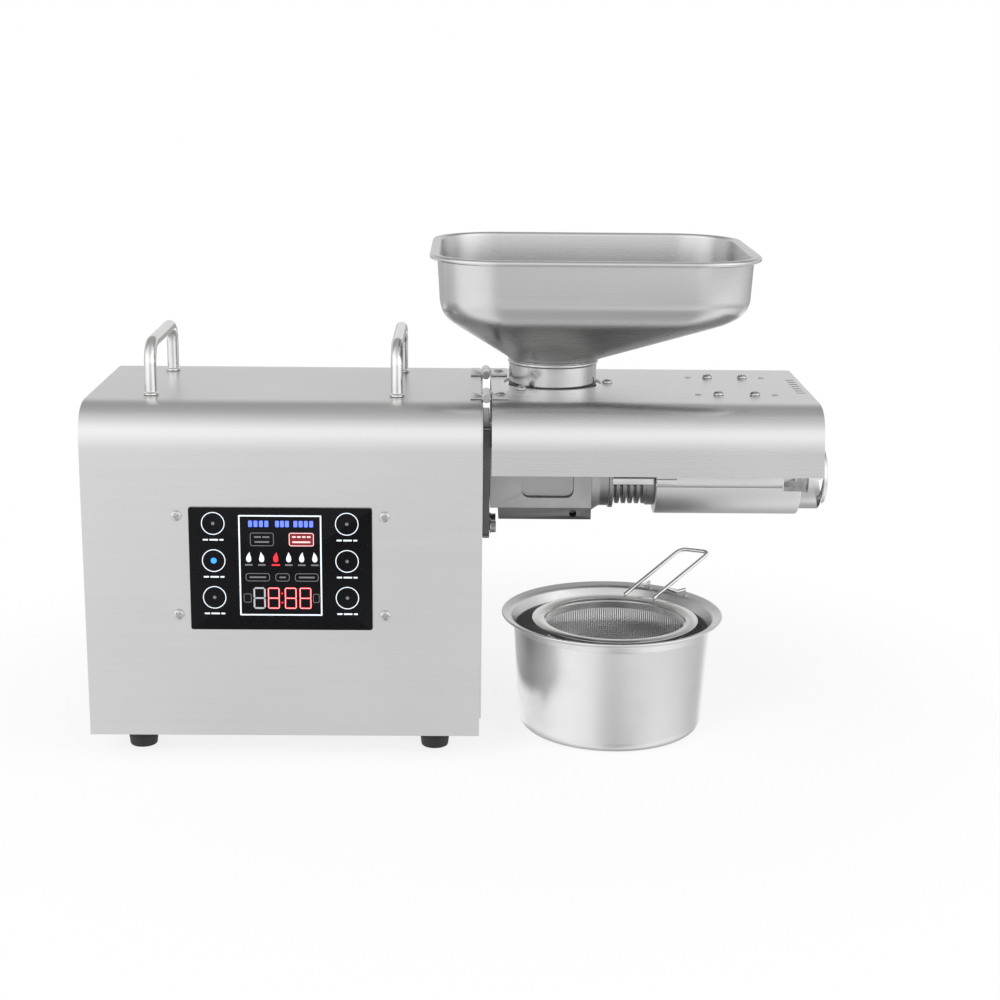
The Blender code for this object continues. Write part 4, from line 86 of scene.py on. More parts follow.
def arithmetic(operation: str, swapped: bool = False) -> Callable[["Signal", object], "Signal"]:
    """A Python operator that adds one Math node, with the other value first when swapped."""

    def apply(self: "Signal", other: object) -> "Signal":
        return self.math(operation, *((other, self) if swapped else (self, other)))

    return apply


class Signal:
    """A shader socket that can be used in Python sums."""

    def __init__(self, sheet: "NodeSheet", socket: bpy.types.NodeSocket) -> None:
        """Keeps the socket with the sheet that it belongs to."""
        self.sheet = sheet
        self.socket = socket

    def math(self, operation: str, *values: object) -> "Signal":
        """One Math node over these values, a Signal or a number each."""
        return self.sheet.add("ShaderNodeMath", {"operation": operation}, dict(enumerate(values)))

    __add__, __radd__ = arithmetic("ADD"), arithmetic("ADD", True)
    __sub__, __rsub__ = arithmetic("SUBTRACT"), arithmetic("SUBTRACT", True)
    __mul__, __rmul__ = arithmetic("MULTIPLY"), arithmetic("MULTIPLY", True)
    __truediv__, __pow__ = arithmetic("DIVIDE"), arithmetic("POWER")

    def __neg__(self) -> "Signal":
        """The value with its sign turned."""
        return self * -1.0

    def ease(self, low: float, high: float) -> "Signal":
        """A smooth step from 0 at low to 1 at high."""
        settings = {"interpolation_type": "SMOOTHSTEP"}
        return self.sheet.add("ShaderNodeMapRange", settings, {0: self, 1: low, 2: high})

    def blend(self, first: "Signal", second: "Signal") -> "Signal":
        """The first value where this one is 0, and the second where it is 1."""
        return first * (1 - self) + second * self


class NodeSheet:
    """One node tree, of a material or of the world."""

    def __init__(self, tree: bpy.types.NodeTree) -> None:
        """Empties the tree."""
        self.tree = tree
        tree.nodes.clear()

    def add(
        self,
        kind: str,
        settings: dict[str, object] | None = None,
        links: dict[int | str, object] | None = None,
        output: int | str = 0,
    ) -> Signal:
        """Adds any node.

        Args:
            kind: the node's type.
            settings: its properties, set first; stops are a ramp's places and colours.
            links: a value or a Signal for each socket, by index or name.
            output: the socket that is returned.

        Returns:
            One output of the node.
        """
        node = self.tree.nodes.new(kind)
        for name, value in (settings or {}).items():
            if name == "stops":
                self.fill_ramp(node.color_ramp, value)
            else:
                setattr(node, name, value)
        for socket, value in (links or {}).items():
            if isinstance(value, Signal):
                self.tree.links.new(value.socket, node.inputs[socket])
            else:
                node.inputs[socket].default_value = value
        return Signal(self, node.outputs[output] if len(node.outputs) else None)

    @staticmethod
    def fill_ramp(ramp: bpy.types.ColorRamp, stops: Sequence[tuple[float, Sequence[float]]]) -> None:
        """Gives a colour ramp its stops."""
        while len(ramp.elements) < len(stops):
            ramp.elements.new(1.0)
        for element, (place, colour) in zip(ramp.elements, stops):
            element.position = place
            element.color = (*colour, 1.0)

    def position(self) -> Signal:
        """The place on the object, in metres, which is also the place in the frame."""
        return self.add("ShaderNodeTexCoord", output="Object")

    def split(self, vector: Signal) -> tuple[Signal, Signal, Signal]:
        """The three numbers of a vector."""
        first = self.add("ShaderNodeSeparateXYZ", links={0: vector})
        outputs = first.socket.node.outputs
        return first, Signal(self, outputs[1]), Signal(self, outputs[2])

    def vector(self, x: object, y: object, z: object) -> Signal:
        """A vector from three numbers."""
        return self.add("ShaderNodeCombineXYZ", links={0: x, 1: y, 2: z})

    def stretched(self, vector: Signal, scale: Point) -> Signal:
        """A vector times a scale for each direction."""
        return self.add("ShaderNodeVectorMath", {"operation": "MULTIPLY"}, {0: vector, 1: scale})

    def noise(self, vector: Signal, scale: float, detail: float = 2.0, rough: float = 0.5) -> Signal:
        """Soft noise between 0 and 1."""
        links = {"Vector": vector, "Scale": scale, "Detail": detail, "Roughness": rough}
        return self.add("ShaderNodeTexNoise", links=links)

    def cloud(self, scale: float, detail: float = 2.0, rough: float = 0.5) -> Signal:
        """The same noise over the object's own place."""
        return self.noise(self.position(), scale, detail, rough)

    def tint(self, factor: object, first: Colour, second: Colour) -> Signal:
        """A colour between two colours."""
        links = {0: factor, 6: (*first, 1.0), 7: (*second, 1.0)}
        return self.add("ShaderNodeMix", {"data_type": "RGBA"}, links, 2)

    def grey_level(self, value: Signal, stops: Sequence[tuple[float, float]]) -> Signal:
        """A grey between 0 and 1 that follows a value over its stops."""
        greys = [(place, (grey,) * 3) for place, grey in stops]
        return self.split(self.add("ShaderNodeValToRGB", {"stops": greys}, {0: value}))[0]

    def bump(self, height: Signal, strength: float, depth: float) -> Signal:
        """A normal from a height, whose full range is depth metres."""
        links = {"Strength": strength, "Distance": depth, "Height": height}
        return self.add("ShaderNodeBump", links=links)


def steady(colour: Colour, share: float) -> Colour:
    """A colour made lighter or darker by a share."""
    return tuple(min(max(part * share, 0.0), 1.0) for part in colour)


@dataclass(frozen=True)
class Finish:
    """A plain finish with soft variation; the others add their own marks.

    Attributes:
        name: the material's name.
        slot: the record's material slot; not used.
        colour: the base colour.
        roughness: how dull the surface is.
        metallic: 1 for bare metal.
        grain: the way of the brush or lathe marks.
        centre: a point on the axis that the marks run around, in millimetres.
    """

    name: str
    slot: str
    colour: Colour
    roughness: float
    metallic: float = 0.0
    grain: Grain = Grain.NONE
    centre: Point = (0.0, 0.0, 0.0)

    def material(self) -> bpy.types.Material:
        """The material, made on first use."""
        found = bpy.data.materials.get(self.name)
        if found:
            return found
        made = bpy.data.materials.new(self.name)
        made.use_nodes = True
        sheet = NodeSheet(made.node_tree)
        shader = sheet.add("ShaderNodeBsdfPrincipled", links={"Metallic": self.metallic, **self.marks(sheet)})
        sheet.add("ShaderNodeOutputMaterial", links={"Surface": shader})
        return made

    def marks(self, sheet: NodeSheet) -> dict[int | str, object]:
        """The shader's sockets that this finish sets."""
        cloud = sheet.cloud(55.0, 3.0)
        return self.look(sheet, cloud, (0.9, 1.1), cloud * 0.08, 0.04)

    def look(
        self,
        sheet: NodeSheet,
        mix: Signal,
        shades: tuple[float, float],
        gloss: Signal,
        spread: float,
        normal: Signal | None = None,
    ) -> dict[int | str, object]:
        """The sockets that most finishes set.

        Args:
            sheet: the material's nodes.
            mix: where the colour lies between its two shades.
            shades: both shades, as shares of the colour.
            gloss: the change of the roughness, from 0.
            spread: how far the roughness starts below its own value.
            normal: the surface's own normal.

        Returns:
            The sockets by name.
        """
        first, second = (steady(self.colour, share) for share in shades)
        found = {"Base Color": sheet.tint(mix, first, second), "Roughness": gloss + (self.roughness - spread)}
        return found if normal is None else {**found, "Normal": normal}

    def hairs(self, sheet: NodeSheet, fine: float, detail: float = 2.0, rough: float = 0.5) -> Signal:
        """Noise that is stretched along the marks.

        Args:
            sheet: the material's nodes.
            fine: marks per metre across their own direction.
            detail: the noise's detail.
            rough: the noise's roughness.

        Returns:
            The noise.
        """
        place = sheet.position()
        if self.grain in (Grain.ALONG_X, Grain.ALONG_Y):
            scale = (9.0, fine, fine) if self.grain is Grain.ALONG_X else (fine, 9.0, fine)
            return sheet.noise(sheet.stretched(place, scale), 1.0, detail, rough)
        lying = self.grain is Grain.AROUND_X
        x, y, z = sheet.split(place)
        first, second = (y, z) if lying else (x, y)
        middle = [part * MM for part in (self.centre[1:] if lying else self.centre)]
        across, up = first - middle[0], second - middle[1]
        radius = (across * across + up * up) ** 0.5
        way = (across / (radius + 1e-5), up / (radius + 1e-5))
        round_about = sheet.vector(x * fine, *way) if lying else sheet.vector(*way, (z + radius) * fine)
        return sheet.noise(round_about, 1.0, detail, rough)


@dataclass(frozen=True)
class BrushedSteel(Finish):
    """Stainless sheet with brush marks, faint clouds and a few wipe marks."""

    metallic: float = 1.0
    fine: float = 1500.0
    depth: float = 0.16

    def marks(self, sheet: NodeSheet) -> dict[int | str, object]:
        """Fine marks turn the normal and the roughness, and clouds the colour."""
        hair = self.hairs(sheet, self.fine, 3.0, 0.6)
        broad = self.hairs(sheet, self.fine / 6, 1.0)
        cloud = sheet.cloud(9.0)
        both = hair * 0.5 + broad * 0.2 + cloud * 0.3
        normal = sheet.bump(hair, self.depth, 0.00004)
        return self.look(sheet, both, (0.93, 1.06), hair * 0.09 + cloud * 0.07, 0.08, normal)


@dataclass(frozen=True)
class EdgeShadedPlate(BrushedSteel):
    """Brushed plate whose colour is darkened along its outline, a painted shade.

    Attributes:
        node: the plate's node, which lies across X.
        shade_reach: how far the painted shade reaches in from the outline.
    """

    node: str = ""
    shade_reach: float = 1.2 * MM

    def marks(self, sheet: NodeSheet) -> dict[int | str, object]:
        """The brushed plate, with painted shade where it is closer to its outline than the shade reaches."""
        low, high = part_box(self.node)
        _, y, z = sheet.split(sheet.position())
        reach = [
            place.math("ABSOLUTE", place - (low[n] + high[n]) / 2) - (high[n] - low[n]) / 2
            for n, place in ((1, y), (2, z))
        ]
        # Painted shade: the colour falls to a quarter near the outline, standing in for the dark gap between
        # casing and cover.
        edge = y.math("MAXIMUM", *reach).ease(-1.3 * self.shade_reach, -0.7 * self.shade_reach)
        colour = sheet.tint(edge, self.colour, steady(self.colour, 0.25))
        return {**BrushedSteel.marks(self, sheet), "Base Color": colour}


@dataclass(frozen=True)
class PolishedSteel(Finish):
    """Bright steel with hairline scratches around its axis and faint handling marks."""

    metallic: float = 1.0
    fine: float = 700.0

    def marks(self, sheet: NodeSheet) -> dict[int | str, object]:
        """Hairlines, and smears that dull the polish."""
        hair = sheet.cloud(420.0) if self.grain is Grain.NONE else self.hairs(sheet, self.fine)
        smear = sheet.cloud(24.0, 4.0, 0.6).ease(0.45, 0.8)
        normal = sheet.bump(hair, 0.06, 0.00003)
        return self.look(sheet, smear, (1.03, 0.94), smear * 0.07 + hair * 0.05, 0.03, normal)


@dataclass(frozen=True)
class CastSteel(Finish):
    """Cast or blasted steel: a fine pebble with darker low spots.

    Attributes:
        shade_line: a height under which the steel's colour is darkened, a painted shade.
    """

    metallic: float = 1.0
    shade_line: float = 0.0

    def marks(self, sheet: NodeSheet) -> dict[int | str, object]:
        """The pebble in the normal, stains in the colour and the roughness, and painted shade under the shade
        line.
        """
        stain = sheet.cloud(60.0, 3.0)
        height = sheet.split(sheet.position())[2]
        # Painted shade: under the shade line the colour is darkened; clean is the part above it.
        clean = (height + stain * 0.0006).ease(self.shade_line - 0.0002, self.shade_line + 0.0008)
        normal = sheet.bump(sheet.cloud(900.0, 4.0, 0.6), 0.22, 0.00012)
        return self.look(sheet, clean * (stain * 0.6 + 0.4), (0.5, 1.2), stain * 0.16, 0.08, normal)


@dataclass(frozen=True)
class ZincPlate(Finish):
    """Zinc plating with the patches of its crystals."""

    metallic: float = 1.0

    def marks(self, sheet: NodeSheet) -> dict[int | str, object]:
        """Cells of slightly different shade and gloss."""
        links = {"Vector": sheet.position(), "Scale": 260.0}
        patch = sheet.split(sheet.add("ShaderNodeTexVoronoi", links=links, output="Color"))[0]
        return self.look(sheet, patch, (0.86, 1.14), patch * 0.14, 0.07)


@dataclass(frozen=True)
class PanelGlass(Finish):
    """The black panel: very smooth, with a trace of dust."""

    def marks(self, sheet: NodeSheet) -> dict[int | str, object]:
        """Dust raises the roughness in specks."""
        dust = sheet.cloud(1400.0, 1.0).ease(0.62, 0.8)
        return {
            "Base Color": sheet.tint(dust * 0.25, self.colour, (0.12, 0.12, 0.13)),
            "Roughness": sheet.cloud(18.0, 3.0) * 0.05 + dust * 0.1 + (self.roughness - 0.02),
            "Specular IOR Level": 0.12,
        }


@dataclass(frozen=True)
class MouldedPlastic(Finish):
    """Moulded plastic or rubber with a fine texture from its tool."""

    texture: float = 0.2

    def marks(self, sheet: NodeSheet) -> dict[int | str, object]:
        """The texture in the normal and a slight change of gloss."""
        cloud = sheet.cloud(70.0)
        normal = sheet.bump(sheet.cloud(2200.0), self.texture, 0.00005)
        return self.look(sheet, cloud, (0.8, 1.25), cloud * 0.1, 0.05, normal)


@dataclass(frozen=True)
class Ink(Finish):
    """A print on the panel, or a field that is lit from behind; the prints glow too, which is painted light.
    """

    glow: float = 0.0

    def marks(self, sheet: NodeSheet) -> dict[int | str, object]:
        """The colour with a faint unevenness, and its own light."""
        uneven = sheet.tint(sheet.cloud(800.0, 1.0), steady(self.colour, 0.9), steady(self.colour, 1.05))
        return {
            "Base Color": uneven,
            "Roughness": self.roughness,
            "Emission Color": uneven,
            "Emission Strength": self.glow,
        }


@dataclass(frozen=True)
class Board(Finish):
    """A circuit board: green lacquer over darker and lighter tracks."""

    def marks(self, sheet: NodeSheet) -> dict[int | str, object]:
        """Square cells stand for tracks and pads."""
        links = {"Vector": sheet.position(), "Scale": 190.0, "Randomness": 0.6}
        cells = sheet.add("ShaderNodeTexVoronoi", {"distance": "CHEBYCHEV"}, links, "Distance")
        track = cells.ease(0.18, 0.24)
        return {
            "Base Color": sheet.tint(track, (0.16, 0.30, 0.12), self.colour),
            "Roughness": track * 0.18 + (self.roughness - 0.1),
        }


AROUND_BARREL = {"grain": Grain.AROUND_X, "centre": (0.0, *BARREL)}
AROUND_NECK = {"grain": Grain.AROUND_Z, "centre": (*NECK, 0.0)}

SHEET_FRONT = BrushedSteel("sheet_steel", "brushed_steel", (0.715, 0.715, 0.712), 0.31, grain=Grain.ALONG_X)
SHEET_COVER = BrushedSteel("cover_steel", "brushed_steel", (0.70, 0.70, 0.698), 0.27, grain=Grain.ALONG_X)
SHEET_ENDS = BrushedSteel("end_plate_steel", "brushed_steel", (0.72, 0.72, 0.718), 0.36, grain=Grain.ALONG_Y)
TURNED = BrushedSteel("turned_steel", "satin_steel", (0.72, 0.72, 0.718), 0.33, depth=0.22, **AROUND_BARREL)
SLEEVE_STEEL = BrushedSteel(
    "sleeve_steel", "satin_steel", (0.76, 0.76, 0.757), 0.48, depth=0.2, **AROUND_BARREL
)
# The flange's darkened outline is painted shade.
FLANGE_STEEL = EdgeShadedPlate(
    "flange_steel", "satin_steel", (0.50, 0.50, 0.498), 0.28, grain=Grain.ALONG_Y, node="mount_flange"
)
HINGE_STEEL = PolishedSteel("hinge_steel", "polished_steel", (0.50, 0.50, 0.50), 0.22)
SCREW_STEEL = PolishedSteel("screw_steel", "polished_steel", (0.52, 0.52, 0.52), 0.18)
ROD_STEEL = PolishedSteel("rod_steel", "polished_steel", (0.70, 0.70, 0.69), 0.16)
HOPPER_STEEL = BrushedSteel(
    "hopper_steel", "polished_steel", (0.60, 0.60, 0.598), 0.27, grain=Grain.ALONG_X, fine=2400.0, depth=0.05
)
NECK_STEEL = PolishedSteel("neck_steel", "polished_steel", (0.68, 0.68, 0.67), 0.10)
COLLAR_STEEL = PolishedSteel(
    "collar_steel", "polished_steel", (0.58, 0.58, 0.578), 0.17, fine=2600.0, **AROUND_NECK
)
CAST = CastSteel("cast_steel_grey", "cast_steel", (0.42, 0.42, 0.42), 0.46)
# The feed block's lower lip, under 158 mm, is darkened: painted shade.
FEED_CAST = CastSteel("feed_block_steel", "cast_steel", (0.40, 0.40, 0.40), 0.46, shade_line=0.158)
ZINC = ZincPlate("zinc_plate", "zinc", (0.50, 0.50, 0.50), 0.36)
GLASS = PanelGlass("panel_glass", "black_glass", (0.0025, 0.0026, 0.0036), 0.12)
PLASTIC = MouldedPlastic("black_moulding", "black_plastic", (0.016, 0.016, 0.017), 0.42)
RUBBER = MouldedPlastic("foot_rubber", "rubber", (0.014, 0.014, 0.014), 0.62, texture=0.35)
COPPER = Finish("copper_windings", "copper", (0.60, 0.28, 0.15), 0.36, 1.0)
BOARD = Board("circuit_green", "circuit_board", (0.02, 0.13, 0.06), 0.42)
QUARTZ = Finish("quartz_tube", "quartz", (0.82, 0.80, 0.76), 0.22)
PIN_BRASS = PolishedSteel("pin_metal", "polished_steel", (0.72, 0.70, 0.62), 0.22)
# The white, grey and dim prints glow though no lamp is behind them: painted light.
INK_WHITE_PAINTED_GLOW = Ink("print_white", "black_glass", (0.62, 0.68, 0.74), 0.4, glow=0.45)
INK_GREY_PAINTED_GLOW = Ink("print_grey", "black_glass", (0.13, 0.13, 0.14), 0.4, glow=0.30)
INK_BLUE = Ink("light_blue", "black_glass", (0.09, 0.15, 0.95), 0.4, glow=0.95)
INK_SPOT = Ink("light_spot", "black_glass", (0.02, 0.20, 1.0), 0.4, glow=1.5)
INK_RED = Ink("light_red", "black_glass", (0.75, 0.012, 0.022), 0.4, glow=0.75)
INK_DARK_RED = Ink("light_dark_red", "black_glass", (0.13, 0.004, 0.007), 0.4, glow=0.55)
INK_DIM_PAINTED_GLOW = Ink("print_dim", "black_glass", (0.36, 0.36, 0.38), 0.4, glow=0.40)
INK_PALE_RED = Ink("light_pale_red", "black_glass", (0.90, 0.48, 0.48), 0.4, glow=0.60)


# Shapes


@dataclass
class Surface:
    """Points and four-cornered faces, gathered from grids.

    Attributes:
        points: all points in millimetres, one row each.
        faces: all faces, one row of four indices each.
    """

    points: np.ndarray = field(default_factory=lambda: np.zeros((0, 3)))
    faces: np.ndarray = field(default_factory=lambda: np.zeros((0, 4), dtype=np.int64))

    @staticmethod
    def grid(points: np.ndarray, loop_rows: bool = False, loop_columns: bool = True) -> "Surface":
        """A surface over a grid of points: rows by columns by three numbers.

        Args:
            points: the grid.
            loop_rows: the last row joins the first.
            loop_columns: the last column joins the first.

        Returns:
            The surface with one face for each cell.
        """
        rows, columns = points.shape[:2]
        index = np.arange(rows * columns).reshape(rows, columns)
        if loop_rows:
            index = np.vstack([index, index[:1]])
        if loop_columns:
            index = np.hstack([index, index[:, :1]])
        faces = np.stack([index[:-1, :-1], index[:-1, 1:], index[1:, 1:], index[1:, :-1]], axis=-1)
        return Surface(points.reshape(-1, 3), faces.reshape(-1, 4))

    def __add__(self, other: "Surface") -> "Surface":
        """Both surfaces in one."""
        points = np.vstack([self.points, other.points])
        return Surface(points, np.vstack([self.faces, other.faces + len(self.points)]))

    def moved(self, offset: Sequence[float]) -> "Surface":
        """The surface moved by an offset."""
        return Surface(self.points + np.asarray(offset), self.faces)

    def turned(self, angle: float, axis: Axis, centre: Point) -> "Surface":
        """The surface turned about an axis through a point, by an angle in radians."""
        turn = np.array(Matrix.Rotation(angle, 3, axis.name))
        return Surface((self.points - centre) @ turn.T + centre, self.faces)

    def mesh(self, name: str, outward: bool = True) -> bpy.types.Mesh:
        """The closed mesh in metres: doubles merged, empty faces gone, normals facing out."""
        data = bpy.data.meshes.new(name)
        data.vertices.add(len(self.points))
        data.vertices.foreach_set("co", (self.points * MM).astype(np.float32).ravel())
        data.loops.add(self.faces.size)
        data.loops.foreach_set("vertex_index", self.faces.astype(np.int32).ravel())
        data.polygons.add(len(self.faces))
        data.polygons.foreach_set("loop_start", np.arange(0, self.faces.size, 4, dtype=np.int32))
        data.update(calc_edges=True)
        clean = bmesh.new()
        clean.from_mesh(data)
        bmesh.ops.remove_doubles(clean, verts=clean.verts, dist=2e-7)
        bmesh.ops.dissolve_degenerate(clean, edges=clean.edges, dist=1e-8)
        if outward:
            bmesh.ops.recalc_face_normals(clean, faces=clean.faces)
        clean.to_mesh(data)
        clean.free()
        return data


def joined(surfaces: Iterable[Surface]) -> Surface:
    """Several surfaces in one."""
    whole = Surface()
    for surface in surfaces:
        whole = whole + surface
    return whole


def rounded(corners: Sequence[tuple[float, float, float]], steps: int = 6) -> np.ndarray:
    """A flat outline whose corners are rounded.

    Each corner is u, v and a radius. A round runs on the circle that touches both sides, as points of a
    quadratic curve drawn between the two touching points with the corner as its handle.

    Args:
        corners: the corner points, open at both ends.
        steps: the steps in each round.

    Returns:
        The points, two numbers each.
    """
    places = np.array([corner[:2] for corner in corners], dtype=float)
    found = [places[:1]]
    share = np.linspace(0.0, 1.0, steps + 1)[:, None]
    for before, (u, v, radius), after in zip(places, corners[1:-1], places[2:]):
        corner = np.array([u, v])
        if radius <= 0:
            found.append(corner[None])
            continue
        back = (before - corner) / np.linalg.norm(before - corner)
        ahead = (after - corner) / np.linalg.norm(after - corner)
        half = 0.5 * math.acos(float(np.clip(back @ ahead, -1.0, 1.0)))
        reach = radius / max(math.tan(half), 1e-6)
        middle = corner + (back + ahead) / max(np.linalg.norm(back + ahead), 1e-9) * radius / math.sin(half)
        start, stop = corner + back * reach - middle, corner + ahead * reach - middle
        turn = math.pi - 2 * half
        weights = np.hstack([np.sin((1 - share) * turn), np.sin(share * turn)]) / max(math.sin(turn), 1e-9)
        found.append(middle + weights[:, :1] * start + weights[:, 1:] * stop)
    found.append(places[-1:])
    return np.vstack(found)


def on_axis(axis: Axis, along: np.ndarray, first: np.ndarray, second: np.ndarray) -> np.ndarray:
    """Points from their place along an axis and their two other coordinates in XYZ order."""
    order = {Axis.X: (along, first, second), Axis.Y: (first, along, second), Axis.Z: (first, second, along)}
    return np.stack(np.broadcast_arrays(*order[axis]), axis=-1)


def circle(count: int) -> np.ndarray:
    """Points of a unit circle, two numbers each."""
    angle = np.linspace(0.0, 2 * np.pi, count, endpoint=False)
    return np.stack([np.cos(angle), np.sin(angle)], axis=-1)


def lathe(
    profile: np.ndarray, axis: Axis, centre: Sequence[float], sides: int = 96, looped: bool = False
) -> Surface:
    """A profile of radius and place along the axis, carried round a circle.

    Args:
        profile: rows of radius and place.
        axis: the axis of turning.
        centre: the axis' two other coordinates in XYZ order.
        sides: steps round.
        looped: the profile's last point joins its first.

    Returns:
        The turned surface; a profile that ends on the axis closes it.
    """
    across, up = circle(sides).T
    radius, along = profile[:, :1], profile[:, 1:2]
    points = on_axis(axis, along, centre[0] + radius * across, centre[1] + radius * up)
    return Surface.grid(points, loop_rows=looped)


def tube(path: np.ndarray, radius: float, sides: int = 16, closed: bool = False) -> Surface:
    """A round bar along a path.

    The circle at each point stands square to the path. Its first direction is the path's mean normal with
    the part along the path taken out, so the bar doesn't twist on a flat path.

    Args:
        path: points of the middle line.
        radius: the bar's radius.
        sides: steps round the bar.
        closed: the path is a loop.

    Returns:
        The bar, with both ends closed.
    """
    if closed:
        ahead = np.roll(path, -1, axis=0) - np.roll(path, 1, axis=0)
    else:
        ahead = np.gradient(path, axis=0)
    ahead /= np.linalg.norm(ahead, axis=1, keepdims=True)
    normal = np.cross(ahead[:-1], ahead[1:]).sum(axis=0)
    if np.linalg.norm(normal) < 1e-6:
        normal = np.array([0.0, 0.0, 1.0]) if abs(ahead[0][2]) < 0.9 else np.array([1.0, 0.0, 0.0])
    first = normal - (ahead @ normal)[:, None] * ahead
    first /= np.linalg.norm(first, axis=1, keepdims=True)
    second = np.cross(ahead, first)
    turn = circle(sides)
    points = path[:, None] + radius * (turn[:, :1] * first[:, None] + turn[:, 1:] * second[:, None])
    if not closed:
        ends = np.repeat(path[[0, -1]][:, None], sides, axis=1)
        points = np.concatenate([ends[:1], points, ends[1:]])
    return Surface.grid(points, loop_rows=closed)


def plate(outline: np.ndarray, axis: Axis, low: float, high: float, edge: float = 0.0) -> Surface:
    """A flat outline pulled along an axis, with a rounded or sharp edge.

    The outline shrinks towards its middle by the edge's quarter circle at both faces.

    Args:
        outline: points of the closed outline, seen from its middle without a fold.
        axis: the direction of the pull.
        low: the first face's place.
        high: the second face's place.
        edge: the radius of the rounding.

    Returns:
        The closed plate.
    """
    middle = (outline.min(axis=0) + outline.max(axis=0)) / 2
    half = np.maximum((outline.max(axis=0) - outline.min(axis=0)) / 2, 1e-9)
    steps = 4 if edge else 1
    turn = np.linspace(0.0, np.pi / 2, steps)
    inset = edge * (1 - np.sin(turn))
    place = edge * (1 - np.cos(turn))
    levels = np.concatenate([low + place, high - place[::-1]])
    insets = np.concatenate([inset, inset[::-1]])
    scale = 1 - insets[:, None, None] / half
    rings = middle + (outline - middle)[None] * scale
    points = on_axis(axis, levels[:, None], rings[..., 0], rings[..., 1])
    ends = np.broadcast_to(middle, (2, len(outline), 2))
    caps = on_axis(axis, np.array([[low], [high]]), ends[..., 0], ends[..., 1])
    return Surface.grid(np.concatenate([caps[:1], points, caps[1:]]))


def box_outline(low: Sequence[float], high: Sequence[float], radius: float, steps: int = 6) -> np.ndarray:
    """A rectangle with round corners, as one closed outline."""
    quarter = np.linspace(0.0, np.pi / 2, steps + 1)
    signs = np.array([(1, 1), (-1, 1), (-1, -1), (1, -1)], dtype=float)
    centre = (np.asarray(low) + np.asarray(high)) / 2
    half = (np.asarray(high) - np.asarray(low)) / 2 - radius
    angle = quarter[None, :] + np.arange(4)[:, None] * np.pi / 2
    ring = np.stack([np.cos(angle), np.sin(angle)], axis=-1) * radius
    return (centre + (signs * half)[:, None] + ring).reshape(-1, 2)


def block(low: Sequence[float], high: Sequence[float], radius: float = 0.0) -> Surface:
    """A box between two corners, with upright edges rounded when a radius is given."""
    return plate(box_outline(low[:2], high[:2], max(radius, 1e-3), 4), Axis.Z, low[2], high[2])


def new_object(name: str, data: bpy.types.ID) -> bpy.types.Object:
    """An object of the scene with this data."""
    made = bpy.data.objects.new(name, data)
    bpy.context.scene.collection.objects.link(made)
    return made


@dataclass(frozen=True)
class Maker:
    """Turns surfaces into finished pieces of the scene that all ride on one body."""

    body: str

    def piece(
        self,
        name: str,
        shape: Surface | bpy.types.Mesh,
        finish: Finish,
        replaced: Sequence[str] = (),
        sharp: float = 38.0,
        bevel: float = 0.0,
        cuts: Sequence[Sequence[Surface]] = (),
    ) -> bpy.types.Object:
        """Adds one piece.

        Args:
            name: the piece's name.
            shape: its surface or its mesh.
            finish: its finish.
            replaced: the solids that it stands for.
            sharp: edges over this angle stay sharp, in degrees.
            bevel: the width of the edge rounding.
            cuts: groups of closed surfaces that are cut away, one group after the other.

        Returns:
            The object.
        """
        made = new_object(name, shape.mesh(name) if isinstance(shape, Surface) else shape)
        for group in cuts:
            self.carve(made, group)
        self.dress(made, finish, sharp)
        if bevel:
            self.soften(made, bevel)
        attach(made, self.body)
        if replaced:
            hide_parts(*replaced)
        LOG.info("%s: %d faces on %s", name, len(made.data.polygons), self.body)
        return made

    @staticmethod
    def dress(made: bpy.types.Object, finish: Finish, sharp: float) -> None:
        """Gives an object's mesh its one material and its shading."""
        made.data.materials.clear()
        made.data.materials.append(finish.material())
        made.data.shade_smooth()
        made.data.set_sharp_from_angle(angle=math.radians(sharp))

    @staticmethod
    def carve(made: bpy.types.Object, group: Sequence[Surface]) -> None:
        """Cuts closed surfaces, which don't overlap, from an object's mesh."""
        data = joined(group).mesh("cutter")
        tool = new_object("cutter", data)
        modifier = made.modifiers.new("Cut", "BOOLEAN")
        modifier.operation = "DIFFERENCE"
        modifier.solver = "EXACT"
        modifier.object = tool
        graph = bpy.context.evaluated_depsgraph_get()
        result = bpy.data.meshes.new_from_object(made.evaluated_get(graph))
        made.modifiers.clear()
        old = made.data
        made.data = result
        bpy.data.meshes.remove(old)
        bpy.data.objects.remove(tool)
        bpy.data.meshes.remove(data)

    @staticmethod
    def soften(made: bpy.types.Object, width: float) -> None:
        """Rounds sharp edges with a live bevel whose faces keep flat shading."""
        modifier = made.modifiers.new("Edges", "BEVEL")
        modifier.width = width * MM
        modifier.segments = 2
        modifier.limit_method = "ANGLE"
        modifier.angle_limit = math.radians(38.0)
        modifier.use_clamp_overlap = True
        modifier.harden_normals = True
        modifier.miter_outer = "MITER_ARC"

    def refined(
        self, node: str, finish: Finish, bevel: float = 0.4, sharp: float = 32.0, merged: bool = True
    ) -> bpy.types.Object:
        """A cleaned copy of a solid with softened edges, which stands for it.

        Args:
            node: the solid.
            finish: its finish.
            bevel: the width of the edge rounding.
            sharp: edges over this angle stay sharp, in degrees.
            merged: flat faces are made one; not for a ring face, whose hole would close.

        Returns:
            The object.
        """
        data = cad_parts[node].data.copy()
        clean = bmesh.new()
        clean.from_mesh(data)
        bmesh.ops.remove_doubles(clean, verts=clean.verts, dist=1e-6)
        if merged:
            flat = math.radians(0.6)
            bmesh.ops.dissolve_limit(clean, angle_limit=flat, verts=clean.verts, edges=clean.edges)
        clean.to_mesh(data)
        clean.free()
        return self.piece(f"{node}_dressed", data, finish, (node,), sharp, bevel)


def corners_of(node: str) -> tuple[np.ndarray, np.ndarray]:
    """The lowest and highest corner of a solid, in millimetres."""
    low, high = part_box(node)
    return np.array(low) / MM, np.array(high) / MM


# Small hardware


